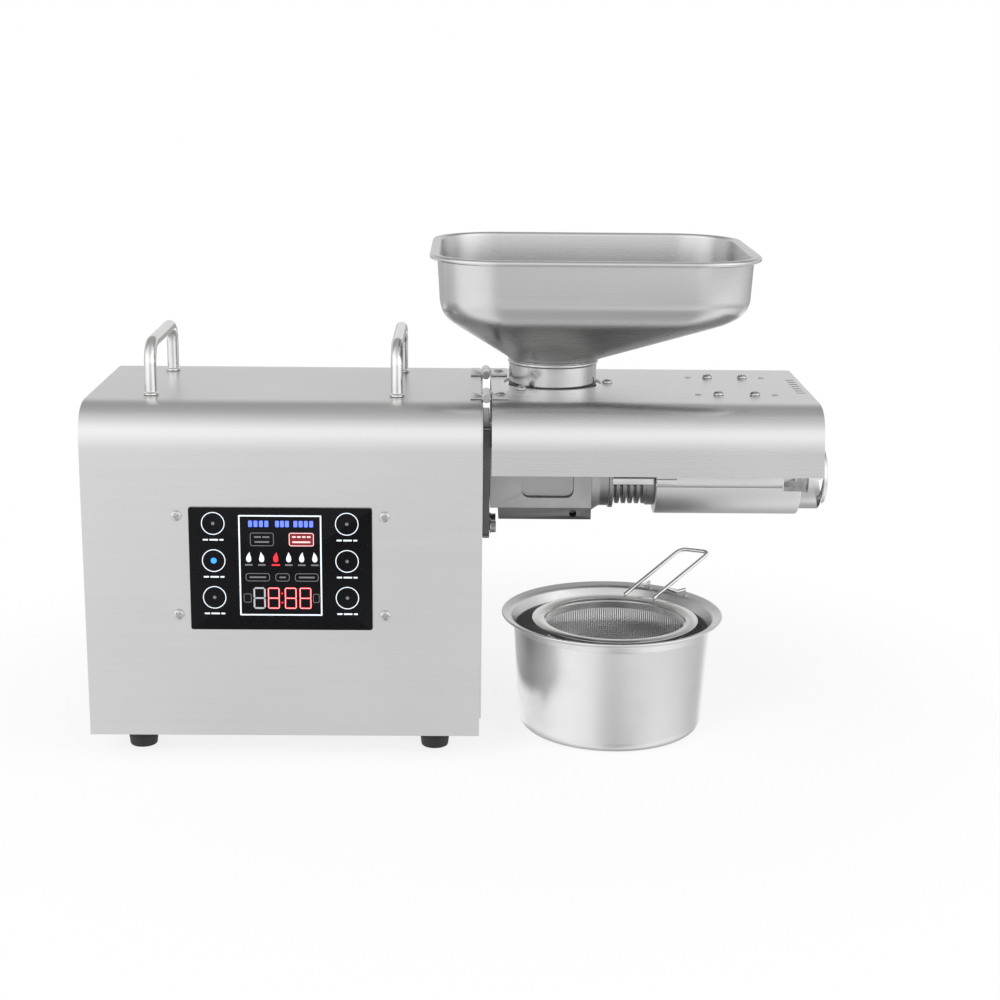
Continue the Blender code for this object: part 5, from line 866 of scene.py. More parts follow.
@dataclass
class CrossScrew:
    """A domed screw head with a cross recess, over its solid.

    Attributes:
        radius: the head's radius.
        height: the head's height over its seat.
        recess: how deep the cross goes.
        arm: half the width of an arm.
        reach: how far an arm reaches from the middle.
        soft: how wide the sloping walls of the recess are.
    """

    radius: float = 3.5
    height: float = 2.2
    recess: float = 1.0
    arm: float = 0.42
    reach: float = 1.95
    soft: float = 0.16

    def head(self, seat: np.ndarray, axis: Axis, way: int, turn: float) -> Surface:
        """The head as a height over a disc.

        The height is that of a flattened dome, and the cross is taken from it where a point lies within
        an arm's half width of either arm, with sloping walls.

        Args:
            seat: the middle of the seat.
            axis: the screw's axis.
            way: 1 or -1, the head's side along the axis.
            turn: the cross's angle in radians.

        Returns:
            The closed head.
        """
        share = np.concatenate([np.linspace(0.0, 0.7, 22), np.linspace(0.74, 1.0, 9)])[:, None]
        u, v = (share * self.radius * part for part in circle(64).T)
        across, along = u * math.cos(turn) + v * math.sin(turn), v * math.cos(turn) - u * math.sin(turn)
        dome = self.height * np.sqrt(np.maximum(1 - 0.92 * share**2.4, 0.0))
        bars = [
            np.clip((self.arm - np.abs(a)) / self.soft + 1, 0, 1)
            * np.clip((self.reach - np.abs(b)) / self.soft + 1, 0, 1)
            for a, b in ((across, along), (along, across))
        ]
        height = dome - self.recess * np.maximum(bars[0], bars[1])
        level, (first, second) = seat[axis.value], np.delete(seat, axis.value)
        top = on_axis(axis, level + way * height, first + u, second + v)
        rim = on_axis(axis, np.array(level), first + u[-1:], second + v[-1:])
        foot = np.broadcast_to(seat, (1, 64, 3))
        return Surface.grid(np.concatenate([top, rim, foot]))

    def build(self, maker: Maker, node: str, axis: Axis, way: int, turn: float) -> None:
        """Places the head and a plain shank over the solid."""
        low, high = corners_of(node)
        face, tip = (high, low) if way > 0 else (low, high)
        seat = (low + high) / 2
        seat[axis.value] = face[axis.value] - way * self.height
        start, stop = seat[axis.value] + way * 0.1, tip[axis.value]
        radius = self.radius * 0.4
        profile = np.array([(0.0, start), (radius, start), (radius, stop), (0.0, stop)])
        shape = self.head(seat, axis, way, turn) + lathe(profile, axis, np.delete(seat, axis.value), 20)
        maker.piece(f"{node}_dressed", shape, SCREW_STEEL, (node,), 50.0)


# Casing


@dataclass
class Casing:
    """The bent hood of the motor casing with its ends, tray, feet and handles.

    Attributes:
        sheet: the sheet's thickness.
        reach: how far before its corner each of the two long bends starts.
        ease: how softly a bend starts and ends, from 0 for a circle to 1.
        bend_steps: steps in each bend.
        rod: the handles' rod radius.
        rod_bend: the radius of the rod's bends.
    """

    sheet: float = 1.2
    reach: float = 30.0
    ease: float = 0.75
    bend_steps: int = 32
    rod: float = 4.0
    rod_bend: float = 13.0
    maker: Maker = Maker("machine")

    def hood_outline(self, low: np.ndarray, high: np.ndarray, inset: float) -> np.ndarray:
        """The open outline of front, top and back in Y and Z.

        Each bend turns the sheet by a quarter, most of it in the middle of the bend: a share u along it,
        the angle is a quarter turn times u - ease * sin(2 pi u) / (2 pi).

        Args:
            low: the sheet's lowest corner.
            high: its highest corner.
            inset: how far inside the sheet's face the outline runs.

        Returns:
            The points from the front's lower edge to the back's.
        """
        share = np.linspace(0.0, 1.0, self.bend_steps + 1)
        angle = np.pi / 2 * (share - self.ease * np.sin(2 * np.pi * share) / (2 * np.pi))
        middle = (angle[1:] + angle[:-1]) / 2
        up, across = (np.concatenate([[0.0], np.cumsum(part)]) for part in (np.cos(middle), np.sin(middle)))
        scale = self.reach / up[-1]
        y = low[1] + across * scale + inset * np.cos(angle)
        z = high[2] - self.reach + up * scale - inset * np.sin(angle)
        front = np.vstack([[low[1] + inset, low[2]], np.column_stack([y, z])])
        back = np.column_stack([low[1] + high[1] - front[:, 0], front[:, 1]])
        return np.vstack([front, back[::-1]])

    def hood(self, low: np.ndarray, high: np.ndarray) -> Surface:
        """The sheet between the outer and the inner outline, carried along X."""
        ring = np.vstack([self.hood_outline(low, high, 0.0), self.hood_outline(low, high, self.sheet)[::-1]])
        stations = np.array([low[0], high[0]])[:, None]
        points = on_axis(Axis.X, stations, ring[None, :, 0], ring[None, :, 1])
        count = len(ring) // 2
        sides = Surface.grid(points)
        ends = [
            Surface.grid(np.stack([row[:count], row[count:][::-1]]), loop_columns=False) for row in points
        ]
        return sides + ends[0] + ends[1]

    def louvres(self, low: np.ndarray, high: np.ndarray) -> list[Surface]:
        """The eight slots in the back, at the solid's places."""
        starts = low[0] + 60.0 + np.arange(8) * 9.0
        level = low[2] + 60.0
        depth = 3
        return [
            plate(
                box_outline((x, level), (x + 3.0, level + 34.0), 1.45, 5),
                Axis.Y,
                high[1] - depth,
                high[1] + depth,
            )
            for x in starts
        ]

    def build_hood(self) -> None:
        """The hood with its slots and softened ends."""
        low, high = corners_of("casing_wrap")
        shape, slots = self.hood(low, high), self.louvres(low, high)
        self.maker.piece("casing_hood", shape, SHEET_FRONT, ("casing_wrap",), 30.0, 0.3, [slots])

    def handle_path(self, low: np.ndarray, high: np.ndarray, foot: float) -> np.ndarray:
        """The rod's middle line: two legs and a bar with circular bends between them."""
        front, back = low[1] + 6.0, high[1] - 6.0
        top = high[2] - self.rod
        bends = [(front, top, self.rod_bend), (back, top, self.rod_bend)]
        flat = rounded([(front, foot, 0), *bends, (back, foot, 0)], 14)
        middle = (low[0] + high[0]) / 2
        return on_axis(Axis.X, np.array([middle]), flat[:, 0], flat[:, 1])

    def build_handle(self, node: str) -> None:
        """A rod handle with a turned washer and a threaded end at each side."""
        low, high = corners_of(node)
        seat = corners_of("casing_wrap")[1][2] + 0.3
        rod = tube(self.handle_path(low, high, seat + 2.0), self.rod, 32)
        rim, lip = 5.0, seat + 1.3
        corners = [(2.0, seat, 0), (rim, seat, 0.3), (rim, lip, 0.5), (3.9, lip, 0)]
        washer = rounded(corners, 4)
        stud = np.array([(0.0, low[2]), (1.7, low[2]), (2.0, low[2] + 0.5), (2.0, seat)])
        profile = np.vstack([stud, washer, [(0.0, lip)]])
        x = (low[0] + high[0]) / 2
        feet = [lathe(profile, Axis.Z, (x, y), 40) for y in (low[1] + 6, high[1] - 6)]
        self.maker.piece(f"{node}_rod", joined([rod, *feet]), ROD_STEEL, (node,), 40.0)

    def build_foot(self, node: str) -> None:
        """A rubber foot with a soft lower edge, two moulded rings and a hollow below."""
        low, high = corners_of(node)
        top = high[2] - 9.0
        corners = [(0.0, 7.0, 0), (4.0, 7.0, 0.4), (4.0, 0.0, 0.3), (9.0, 0.0, 1.4), (9.9, 7.4, 0.3)]
        corners += [(9.6, 8.0, 0.3), (10.0, 8.6, 0.3), (11.0, top, 1.6), (2.2, top, 0.1)]
        corners += [(2.2, high[2], 0.3), (0.0, high[2], 0)]
        middle = (low + high) / 2
        shape = lathe(rounded(corners, 5), Axis.Z, (middle[0], middle[1]), 64)
        self.maker.piece(f"{node}_rubber", shape, RUBBER, (node,), 40.0)

    def build(self) -> None:
        """All pieces of the casing."""
        self.build_hood()
        for node in ("handle_left", "handle_right"):
            self.build_handle(node)
        for node in ("foot_front_left", "foot_front_right", "foot_back_left", "foot_back_right"):
            self.build_foot(node)
        self.maker.refined("left_plate", SHEET_ENDS, 0.25)
        self.maker.refined("right_plate", SHEET_ENDS, 0.25)
        self.maker.refined("base_tray", ZINC, 0.2)
        screw = CrossScrew(height=1.2, recess=0.75)
        for number, turn in enumerate((0.35, 1.1, 0.8, 0.1), 1):
            screw.build(self.maker, f"panel_screw_{number}", Axis.Y, -1, turn)


# Control panel


@dataclass
class TouchPanel:
    """The black panel with its touch rings and the lit display.

    All places are measured from the panel's lower left corner, seen from the front.

    Attributes:
        film: how thick the print is.
        ring_radius: the middle radius of a touch ring.
        ring_width: the width of its line.
        ring_columns: the two columns of rings.
        ring_rows: the three rows.
        display: left, bottom, right and top of the display's frame.
        digits: bottom and top of its digits.
        flames: the places of the six flames, of which the third is lit.
        flame_level: the height of their middles.
    """

    film: float = 0.05
    ring_radius: float = 7.3
    ring_width: float = 0.55
    ring_columns: tuple[float, float] = (15.8, 102.2)
    ring_rows: tuple[float, float, float] = (71.6, 46.7, 21.9)
    display: tuple[float, float, float, float] = (32.2, 9.8, 85.8, 77.3)
    digits: tuple[float, float] = (14.3, 28.9)
    flames: tuple[float, ...] = (38.5, 46.9, 56.0, 64.4, 72.8, 81.3)
    flame_level: float = 49.3
    maker: Maker = Maker("machine")

    def __post_init__(self) -> None:
        """Finds the panel's corner, and the front and the back of the print."""
        self.low, self.high = corners_of("control_glass")
        self.front, self.back = self.low[1] - self.film, self.low[1] + 0.02

    def film_of(self, outline: np.ndarray) -> Surface:
        """A print with this outline."""
        return plate(outline + self.low[[0, 2]], Axis.Y, self.front, self.back)

    def bar(self, left: float, bottom: float, right: float, top: float, radius: float) -> Surface:
        """A filled bar."""
        return self.film_of(box_outline((left, bottom), (right, top), radius, 4))

    def hoop(self, outer: np.ndarray, inner: np.ndarray) -> Surface:
        """The band between two outlines of equally many points."""
        rows = [(outer, self.back), (outer, self.front), (inner, self.front), (inner, self.back)]
        points = [on_axis(Axis.Y, level, *(ring + self.low[[0, 2]]).T) for ring, level in rows]
        return Surface.grid(np.stack(points), loop_rows=True)

    def frame_line(
        self, left: float, bottom: float, right: float, top: float, width: float, radius: float
    ) -> Surface:
        """A rectangular line with round corners."""
        rest = max(radius - width, 0.02)
        inner = box_outline((left + width, bottom + width), (right - width, top - width), rest, 5)
        return self.hoop(box_outline((left, bottom), (right, top), radius, 5), inner)

    def ring(self, x: float, z: float) -> Surface:
        """A touch ring."""
        half = self.ring_width / 2
        return self.hoop(*((x, z) + circle(72) * (self.ring_radius + side) for side in (half, -half)))

    def dot(self, x: float, z: float, radius: float) -> Surface:
        """A round spot."""
        return self.film_of((x, z) + circle(32) * radius)

    def flame(self, x: float, lean: float) -> Surface:
        """A drop with a bent tip: its width is a sine times the power 1.4 of a half sine."""
        turn = np.linspace(0.0, 2 * np.pi, 40, endpoint=False)
        width = 2.3 * np.sin(turn) * np.sin(turn / 2) ** 1.4
        bend = lean * 0.7 * np.clip(np.cos(turn), 0, 1) ** 2
        return self.film_of(np.stack([x + width + bend, self.flame_level + 3.4 * np.cos(turn)], axis=-1))

    def segment(self, start: tuple[float, float], stop: tuple[float, float], half: float) -> Surface:
        """A six-cornered segment of a digit between two points."""
        first, last = np.array(start), np.array(stop)
        ahead = (last - first) / np.linalg.norm(last - first)
        side = np.array([-ahead[1], ahead[0]])
        first, last = first + ahead * half * 0.35, last - ahead * half * 0.35
        corners = [first, first + (ahead + side) * half, last + (side - ahead) * half]
        corners += [last, last - (ahead + side) * half, first + (ahead - side) * half]
        return self.film_of(np.array(corners))

    def digit(self, left: float, width: float, core: float = 1.0) -> Surface:
        """A seven-segment eight; core is a share of its segments' width."""
        half = 0.52
        low, mid, top = self.digits[0] + half, sum(self.digits) / 2, self.digits[1] - half
        near, far = left + half, left + width - half
        ends = [((near, top), (far, top)), ((far, top), (far, mid)), ((far, mid), (far, low))]
        ends += [((near, low), (far, low)), ((near, low), (near, mid)), ((near, mid), (near, top))]
        ends += [((near, mid), (far, mid))]
        return joined(self.segment(*pair, half * core) for pair in ends)

    def captions(self, x: float, z: float, *words: float) -> Surface:
        """A row of short plain bars in place of a caption, centred at x."""
        gap, half = 0.9, 0.525
        lefts = x - (sum(words) + gap * (len(words) - 1)) / 2
        lefts = lefts + np.cumsum([0.0, *[w + gap for w in words[:-1]]])
        return joined(self.bar(left, z - half, left + w, z + half, 0.3) for left, w in zip(lefts, words))

    def title(self) -> Surface:
        """A row of plain upright bars in place of the title."""
        words = ((38.6, 3.5, 4), (56.0, 3.2, 3), (67.8, 3.4, 4))
        lefts = [start + pitch * step for start, pitch, count in words for step in range(count)]
        return joined(self.bar(left, 69.4, left + 2.5, 73.6, 0.5) for left in lefts)

    def build(self) -> None:
        """The glass, then the prints and lights on it."""
        outline = box_outline(self.low[[0, 2]], self.high[[0, 2]], 1.5, 6)
        glass = plate(outline, Axis.Y, self.low[1], self.high[1], 0.3)
        self.maker.piece("panel_glass_sheet", glass, GLASS, ("control_glass",), 50.0)
        self.maker.refined("control_board", BOARD, 0.2)
        keys = [(x, z) for x in self.ring_columns for z in self.ring_rows]
        lit_key, lit_flame = keys[1], self.flames[2]
        dim_flames = [x for x in self.flames if x != lit_flame]
        white = [self.ring(*key) for key in keys] + [self.frame_line(*self.display, 0.95, 0.5)]
        white += [self.captions(x, z - 10.9, 3.4, 5.6, 2.6) for x, z in keys]
        white += [self.flame(x, lean) for x, lean in zip(dim_flames, (1, -1, 0, 1, -1))]
        grey = [self.frame_line(39.6, 56.7, 54.9, 65.6, 0.4, 1.4)]
        for first, last in ((36.3, 52.0), (55.6, 64.8), (68.3, 83.6)):
            grey.append(self.frame_line(first, 33.0, last, 38.4, 0.4, 1.8))
            grey.append(self.captions((first + last) / 2, 35.7, last - first - 5.0))
        grey += [self.captions(47.2, 62.7, 4.4, 4.6), self.captions(47.2, 59.4, 9.6)]
        grey += [self.captions(x, 44.0, 5.0) for x in dim_flames]
        grey += [self.frame_line(x, 18.6, end, 24.6, 0.35, 1.0) for x, end in ((34.8, 39.8), (79.9, 84.0))]
        grey += [self.dot(*key, 1.1) for key in keys if key != lit_key]
        over = [self.captions(72.75, 62.9, 2.3, 2.3, 2.3, 2.3), self.captions(72.75, 59.4, 11.6)]
        pale = [self.frame_line(64.7, 56.7, 80.8, 65.6, 0.45, 1.4)]
        pale += [shape.moved((0, -self.film, 0)) for shape in over]
        red = [self.flame(lit_flame, 1), self.captions(lit_flame, 44.0, 5.4)]
        for place in (50.3, 61.3, 70.9):
            red.append(self.digit(place, 8.0))
            pale.append(self.digit(place, 8.0, 0.36).moved((0, -self.film / 2, 0)))
        red += [self.dot(59.8, z, 0.62) for z in (18.6, 24.8)]
        for name, shape, ink in (
            ("digit_dim", self.digit(41.1, 7.9), INK_DIM_PAINTED_GLOW),
            ("print_white", joined(white), INK_WHITE_PAINTED_GLOW),
            ("print_grey", joined(grey), INK_GREY_PAINTED_GLOW),
            ("title_bars", self.title(), INK_BLUE),
            ("key_light", self.dot(*lit_key, 1.9), INK_SPOT),
            ("field_red", self.bar(65.2, 57.2, 80.3, 65.1, 1.1), INK_DARK_RED),
            ("light_pale", joined(pale), INK_PALE_RED),
            ("light_red", joined(red), INK_RED),
        ):
            self.maker.piece(f"panel_{name}", shape, ink)


# Drive inside the casing


def build_drive() -> None:
    """Motor, gearbox and boards, seen only when the casing is open: cleaned copies of the solids."""
    for body, node, finish in (
        ("machine", "motor_housing", ZINC),
        ("machine", "motor_stator", COPPER),
        ("machine", "motor_bracket", ZINC),
        ("machine", "gearbox_housing", CAST),
        ("machine", "power_board", BOARD),
        ("rotor", "motor_rotor", TURNED),
        ("planet_stage", "stage_carrier", TURNED),
        ("worm_drive", "output_drive", TURNED),
    ):
        Maker(body).refined(node, finish)


# Left end


@dataclass
class LeftEnd:
    """The fan and the power inlet with its rocker key."""

    fan_bore: float = 37.5
    guard_bar: float = 2.4
    guard_corner: float = 5.0
    maker: Maker = Maker("machine")

    def build_pins(self) -> None:
        """Three flat metal pins over those of the inlet's solid."""
        low, high = corners_of("power_inlet")
        deep = low[0] + 16.2
        middle = (low[1] + high[1]) / 2
        level = (low[2] + high[2]) / 2 - 13.0
        pins = []
        for step, lift in ((-1, -2.0), (0, 2.0), (1, -2.0)):
            y, z = middle + step * 7.0, level + lift
            outline = box_outline((y - 1.04, z - 2.04), (y + 1.04, z + 2.04), 0.3, 3)
            pins.append(plate(outline, Axis.X, deep - 12.3, deep, 0.3))
        self.maker.piece("inlet_pins", joined(pins), PIN_BRASS)

    def guard_plate(self, low: np.ndarray, high: np.ndarray, hole: float) -> Surface:
        """The guard's square plate with its round opening.

        A ray from the middle meets the square's side, or else the round of its corner. The rows of the
        grid run from the back over the outer edge and the face into the opening.

        Args:
            low: the guard's lowest corner.
            high: its highest corner.
            hole: the opening's radius.

        Returns:
            The closed plate.
        """
        across, up = circle(192).T
        half = (high[1] - low[1]) / 2
        flat = half - self.guard_corner
        side = half / np.maximum(abs(across), abs(up))
        along = flat * (abs(across) + abs(up))
        corner = along + np.sqrt(np.maximum(self.guard_corner**2 - 2 * flat**2 + along**2, 0.0))
        edge = np.where(side * np.minimum(abs(across), abs(up)) > flat, corner, side)
        rows = [(edge, high[0]), (edge, low[0] + 0.5), (edge - 0.15, low[0] + 0.15)]
        rows += [(edge - 0.5, low[0]), (hole + 0.4, low[0])]
        rows += [(hole + 0.1, low[0] + 0.1), (hole, low[0] + 0.4), (hole, high[0])]
        middle = (low + high) / 2
        points = [on_axis(Axis.X, x, middle[1] + reach * across, middle[2] + reach * up) for reach, x in rows]
        return Surface.grid(np.stack(points), loop_rows=True)

    def build_guard(self) -> None:
        """The fan guard: plate, two rings, four spokes and a hub."""
        low, high = corners_of("fan_guard")
        middle = (low + high) / 2
        bar = self.guard_bar
        pitch = (self.fan_bore - bar) / 4
        hole, hub = self.fan_bore - 1.5 * bar, pitch + bar / 2
        shapes = [self.guard_plate(low, high, hole)]
        for ring in (2, 3):
            profile = box_outline(
                (ring * pitch - bar / 2, low[0] + 0.1), (ring * pitch + bar / 2, high[0]), 0.5, 4
            )
            shapes.append(lathe(profile, Axis.X, (middle[1], middle[2]), 144, True))
        start = low[0] + 0.1
        cap = [(0.0, start), (hub - 0.5, start), (hub - 0.1, start + 0.15)]
        cap += [(hub, start + 0.5), (hub, high[0]), (0.0, high[0])]
        shapes.append(lathe(np.array(cap), Axis.X, (middle[1], middle[2]), 96))
        spoke = block(
            (low[0] + 0.3, middle[1] + 0.8 * hub, middle[2] - bar / 2),
            (high[0], middle[1] + hole + 0.6, middle[2] + bar / 2),
        )
        shapes += [spoke.turned((quarter + 0.5) * math.pi / 2, Axis.X, tuple(middle)) for quarter in range(4)]
        self.maker.piece("fan_guard_grille", joined(shapes), PLASTIC, ("fan_guard",), 40.0)

    def build_marks(self) -> None:
        """A line and a ring on the two halves of the rocker key, for on and off."""
        low, high = corners_of("rocker_key")
        maker = Maker("rocker")
        middle = (low + high) / 2
        face = low[0] + 0.41
        turn = circle(28) * 1.25
        path = on_axis(Axis.X, face, middle[1] + turn[:, 0], middle[2] - 2.9 + turn[:, 1])
        ring = tube(path, 0.14, 6, True)
        ends = [(face, middle[1] + side, middle[2] + 2.9) for side in (-1.3, 1.3)]
        line = tube(np.array(ends), 0.14, 6)
        # The marks carry the white print's painted glow.
        maker.piece("rocker_marks", ring + line, INK_WHITE_PAINTED_GLOW)

    def build(self) -> None:
        """All pieces on the left end."""
        self.build_guard()
        self.maker.refined("fan_frame", PLASTIC, 0.4)
        Maker("fan").refined("fan_impeller", PLASTIC, 0.2)
        self.maker.refined("power_inlet", PLASTIC, 0.4)
        Maker("rocker").refined("rocker_key", PLASTIC, 0.5)
        self.build_pins()
        self.build_marks()


# Press


@dataclass
class Press:
    """The flange, the feed block, the barrel and the worm."""

    maker: Maker = Maker("machine")

    def ring_profile(self, corners: Sequence[tuple[float, float, float]], steps: int = 4) -> np.ndarray:
        """A closed profile from corners of a radius, a place and a rounding each."""
        start = ((corners[0][0] + corners[-1][0]) / 2, (corners[0][1] + corners[-1][1]) / 2, 0)
        return rounded([start, *corners, start], steps)[:-1]

    def build_block(self) -> None:
        """The cast feed block, whose lower lip slopes back at the front."""
        low, high = corners_of("feed_block")
        made = self.maker.refined("feed_block", FEED_CAST, 0.7)
        wedge = low[1:] + np.array([(-1.0, -3.0), (5.0, -3.0), (-1.0, 9.0)])
        Maker.carve(made, [plate(wedge, Axis.X, low[0] - 1, high[0] + 1)])
        Maker.dress(made, FEED_CAST, 32.0)
        Maker.soften(made, 0.5)

    def build_cage(self) -> None:
        """The finned barrel: cone, disc, five fins, collar and spigot, with six oil slots."""
        start = corners_of("press_cage")[0][0]
        fins = start + 15.8
        corners = [(13.5, start, 0.2), (26.0, start, 0.6), (21.9, start + 6.5, 1.0)]
        corners += [(21.9, start + 12.8, 0.5)]
        corners += [(23.3, start + 12.8, 0.4), (23.3, fins, 0.4), (16.6, fins, 0.4)]
        for fin in range(5):
            place = fins + fin * 4.6 + 2.0
            corners += [(16.6, place, 0.35), (20.5, place, 0.3)]
            if fin < 4:
                corners += [(20.5, place + 2.6, 0.3), (16.6, place + 2.6, 0.35)]
        collar = fins + 23.0
        corners += [(20.5, collar - 0.01, 0), (21.3, collar, 0.3), (21.3, collar + 5.4, 0.5)]
        corners += [(18.0, collar + 5.4, 0.2), (18.0, collar + 33.4, 0.4), (13.5, collar + 33.4, 0.2)]
        shape = lathe(self.ring_profile(corners), Axis.X, BARREL, looped=True)
        y, z = BARREL
        slot = block(
            (fins, y - 0.6, z + 11.5), ((collar - 2.6), y + 0.6, z + 18.5)
        )
        turns = [index * math.pi / 3 + math.pi / 12 - math.pi / 2 for index in range(6)]
        slots = [slot.turned(turn, Axis.X, (0.0, y, z)) for turn in turns]
        self.maker.piece("finned_barrel", shape, CAST, ("press_cage",), 40.0, 0.0, [slots])
        outline = box_outline((y - 24.0, z - 2.5), (y - 16.0, z + 2.5), 0.8, 4)
        rib = plate(outline, Axis.X, (start + 14.8), (collar + 4.4), 0.5)
        self.maker.piece("barrel_rib", rib, TURNED)

    def build_sleeve(self) -> None:
        """The thick sleeve with its notch at the outlet."""
        low, high = corners_of("press_sleeve")
        start, stop = low[0], high[0]
        corners = [(18.3, start, 0.2), (27.0, start, 1.2), (27.0, stop, 1.2), (13.5, stop, 0.3)]
        corners += [(13.5, start + 28.3, 0.2), (18.3, start + 28.3, 0.2)]
        shape = lathe(self.ring_profile(corners), Axis.X, BARREL, 128, looped=True)
        y, z = BARREL
        notch = block(((stop - 12.5), y - 30, z - 5.5), ((stop + 2), y, z + 10.5))
        seam = block(
            ((start - 1.0), y - 30.0, z - 3.2),
            ((stop - 13.5), y - 24.4, z - 1.0),
        )
        cuts = [[notch, seam]]
        self.maker.piece("outer_sleeve", shape, SLEEVE_STEEL, ("press_sleeve",), 35.0, 0.0, cuts)
        outline = box_outline((y - 28.3, z - 1.3), (y - 24.0, z + 2.6), 0.5, 4)
        rib = plate(outline, Axis.X, (start + 0.4), (start + 14.0), 0.4)
        self.maker.piece("sleeve_rib", rib, TURNED)

    def build_nose(self) -> None:
        """The outlet piece with its gap above and the three-cornered opening in front."""
        low, high = corners_of("cake_nose")
        start, stop = low[0], high[0]
        body = stop - 2.3
        corners = [(15.0, start, 0.2), (23.3, start, 0.4), (23.3, body - 2.0, 1.5), (20.0, body, 0.6)]
        corners += [(19.4, stop - 0.4, 0.3), (18.6, stop, 0.3), (15.0, stop, 0.3)]
        shape = lathe(self.ring_profile(corners), Axis.X, BARREL, looped=True)
        y, z = BARREL
        gap = block(
            ((start - 2), y - 26, z - 7), ((start + 4.8), y + 26, z + 26)
        )
        left = (start + 6.7)
        top = z + 2
        corner = np.array([(left, top), (left + 9.5, top), ((body - 2.7), z - 21)])
        vee = plate(corner, Axis.Y, y - 26, y - 2)
        self.maker.piece("outlet_nose", shape, TURNED, ("cake_nose",), 35.0, 0.0, [[gap], [vee]])

    def build(self) -> None:
        """All pieces of the press."""
        self.maker.refined("mount_flange", FLANGE_STEEL, 0.5)
        self.build_block()
        for node in ("flange_bolt_1", "flange_bolt_2"):
            self.maker.refined(node, ZINC, 0.25, merged=False)
        self.build_cage()
        self.build_sleeve()
        self.build_nose()
        Maker("worm_drive").refined("press_worm", TURNED, 0.3, 50.0)


# Cover


@dataclass
class HeaterCover:
    """The hinged cover with its neck ring, screws, heating tubes and hinges.

    Attributes:
        sheet: the sheet's thickness.
        hole: the radius of the neck's hole.
        arch: the radius of the barrel's hole in the far end.
    """

    sheet: float = 1.2
    hole: float = 33.5
    arch: float = 29.0
    maker: Maker = Maker("cover")

    def solid(self, low: np.ndarray, high: np.ndarray, casing: Casing, inset: float) -> Surface:
        """The filled form of the hood, or of its hollow."""
        ring = casing.hood_outline(low, high, inset)
        past = 3 if inset else 0.0
        ring[[0, -1], 1] = low[2] - past
        return plate(ring, Axis.X, low[0] - past, high[0] - inset)

    def vents(self, high: np.ndarray, low: np.ndarray) -> list[Surface]:
        """The seven slots near the far end."""
        right = high[0] - 3.2
        places = (low[1] + high[1]) / 2 + (np.arange(7) - 3) * 8.2
        return [
            plate(
                box_outline((right - 6, y - 1.2), (right, y + 1.2), 1.15, 5),
                Axis.Z,
                high[2] - 2.4,
                high[2] + 2.4,
            )
            for y in places
        ]

    def build_shell(self, casing: Casing) -> None:
        """The cover with its openings."""
        low, high = corners_of("cover_shell")
        rod = np.array([(0.0, -1.0), (1.0, -1.0), (1.0, 1.0), (0.0, 1.0)])
        neck = lathe(rod * (self.hole, 2.4) + (0.0, high[2]), Axis.Z, NECK)
        arch = lathe(rod * (self.arch, 2.4) + (0.0, high[0]), Axis.X, BARREL)
        cuts = [[self.solid(low, high, casing, self.sheet)], [neck, *self.vents(high, low)], [arch]]
        shape = self.solid(low, high, casing, 0.0)
        self.maker.piece("heater_cover", shape, SHEET_COVER, ("cover_shell",), 30.0, 0.3, cuts)

    def build_ring(self) -> None:
        """The neck ring with a turned lip."""
        low, high = corners_of("neck_ring")
        top, foot = high[2], low[2]
        corners = [(30.3, top, 0.5), (42.0, top, 0.2), (42.0, top - 3, 0.4), (31.9, top - 3, 0.6)]
        corners += [(31.9, foot, 0.3), (30.3, foot, 0.3)]
        start = (30.3, (top + foot) / 2, 0)
        profile = rounded([start, *corners, start], 5)[:-1]
        shape = lathe(profile, Axis.Z, NECK, looped=True)
        self.maker.piece("neck_ring_turned", shape, NECK_STEEL, ("neck_ring",), 40.0)

    def build_heaters(self) -> None:
        """The tubes and their saddle."""
        for node in ("heater_front", "heater_back"):
            low, high = corners_of(node)
            middle = (low + high) / 2
            start, stop = low[0], high[0]
            corners = [(0.0, start, 0), (6.4, start, 0.6), (6.4, start + 9, 0.6), (5.0, start + 9, 0.1)]
            corners += [(5.0, stop - 9, 0.1), (6.4, stop - 9, 0.6), (6.4, stop, 0.6), (0.0, stop, 0)]
            shape = lathe(rounded(corners, 4), Axis.X, (middle[1], middle[2]), 48)
            self.maker.piece(f"{node}_tube", shape, QUARTZ, (node,), 40.0)
        self.maker.refined("heater_saddle", ZINC, 0.2)

    def build_welds(self) -> None:
        """A low ground weld spot outside each of the four saddle screws."""
        top = corners_of("cover_shell")[1][2]
        places = [sum(corners_of(f"cover_screw_{number}")) / 2 for number in (1, 2, 3, 4)]
        middle = sum(places)[0] / 4
        profile = np.array([(0.0, 0.32), (1.0, 0.34), (1.7, 0.22), (2.1, 0.30), (2.6, 0.0), (0.0, -0.3)])
        spots = []
        for place in places:
            side = 13.4 if place[0] > middle else -13.4
            spots.append(lathe(profile + (0.0, top), Axis.Z, (place[0] + side, place[1]), 36))
        self.maker.piece("cover_weld_spots", joined(spots), TURNED, (), 20.0)

    def build(self, casing: Casing) -> None:
        """All pieces of the cover."""
        self.build_shell(casing)
        self.build_ring()
        self.build_heaters()
        screw = CrossScrew()
        turns = (0.2, 0.9, 0.5, 0.0, 1.2, 0.7, 0.3)
        names = [f"ring_screw_{n}" for n in (1, 2, 3)] + [f"cover_screw_{n}" for n in (1, 2, 3, 4)]
        for node, turn in zip(names, turns):
            screw.build(self.maker, node, Axis.Z, 1, turn)
        self.build_welds()
        for place in ("front", "back"):
            Maker("machine").refined(f"hinge_{place}_fixed", HINGE_STEEL, 0.25, 42.0)
            self.maker.refined(f"hinge_{place}_moving", HINGE_STEEL, 0.25, 42.0)


# Hopper


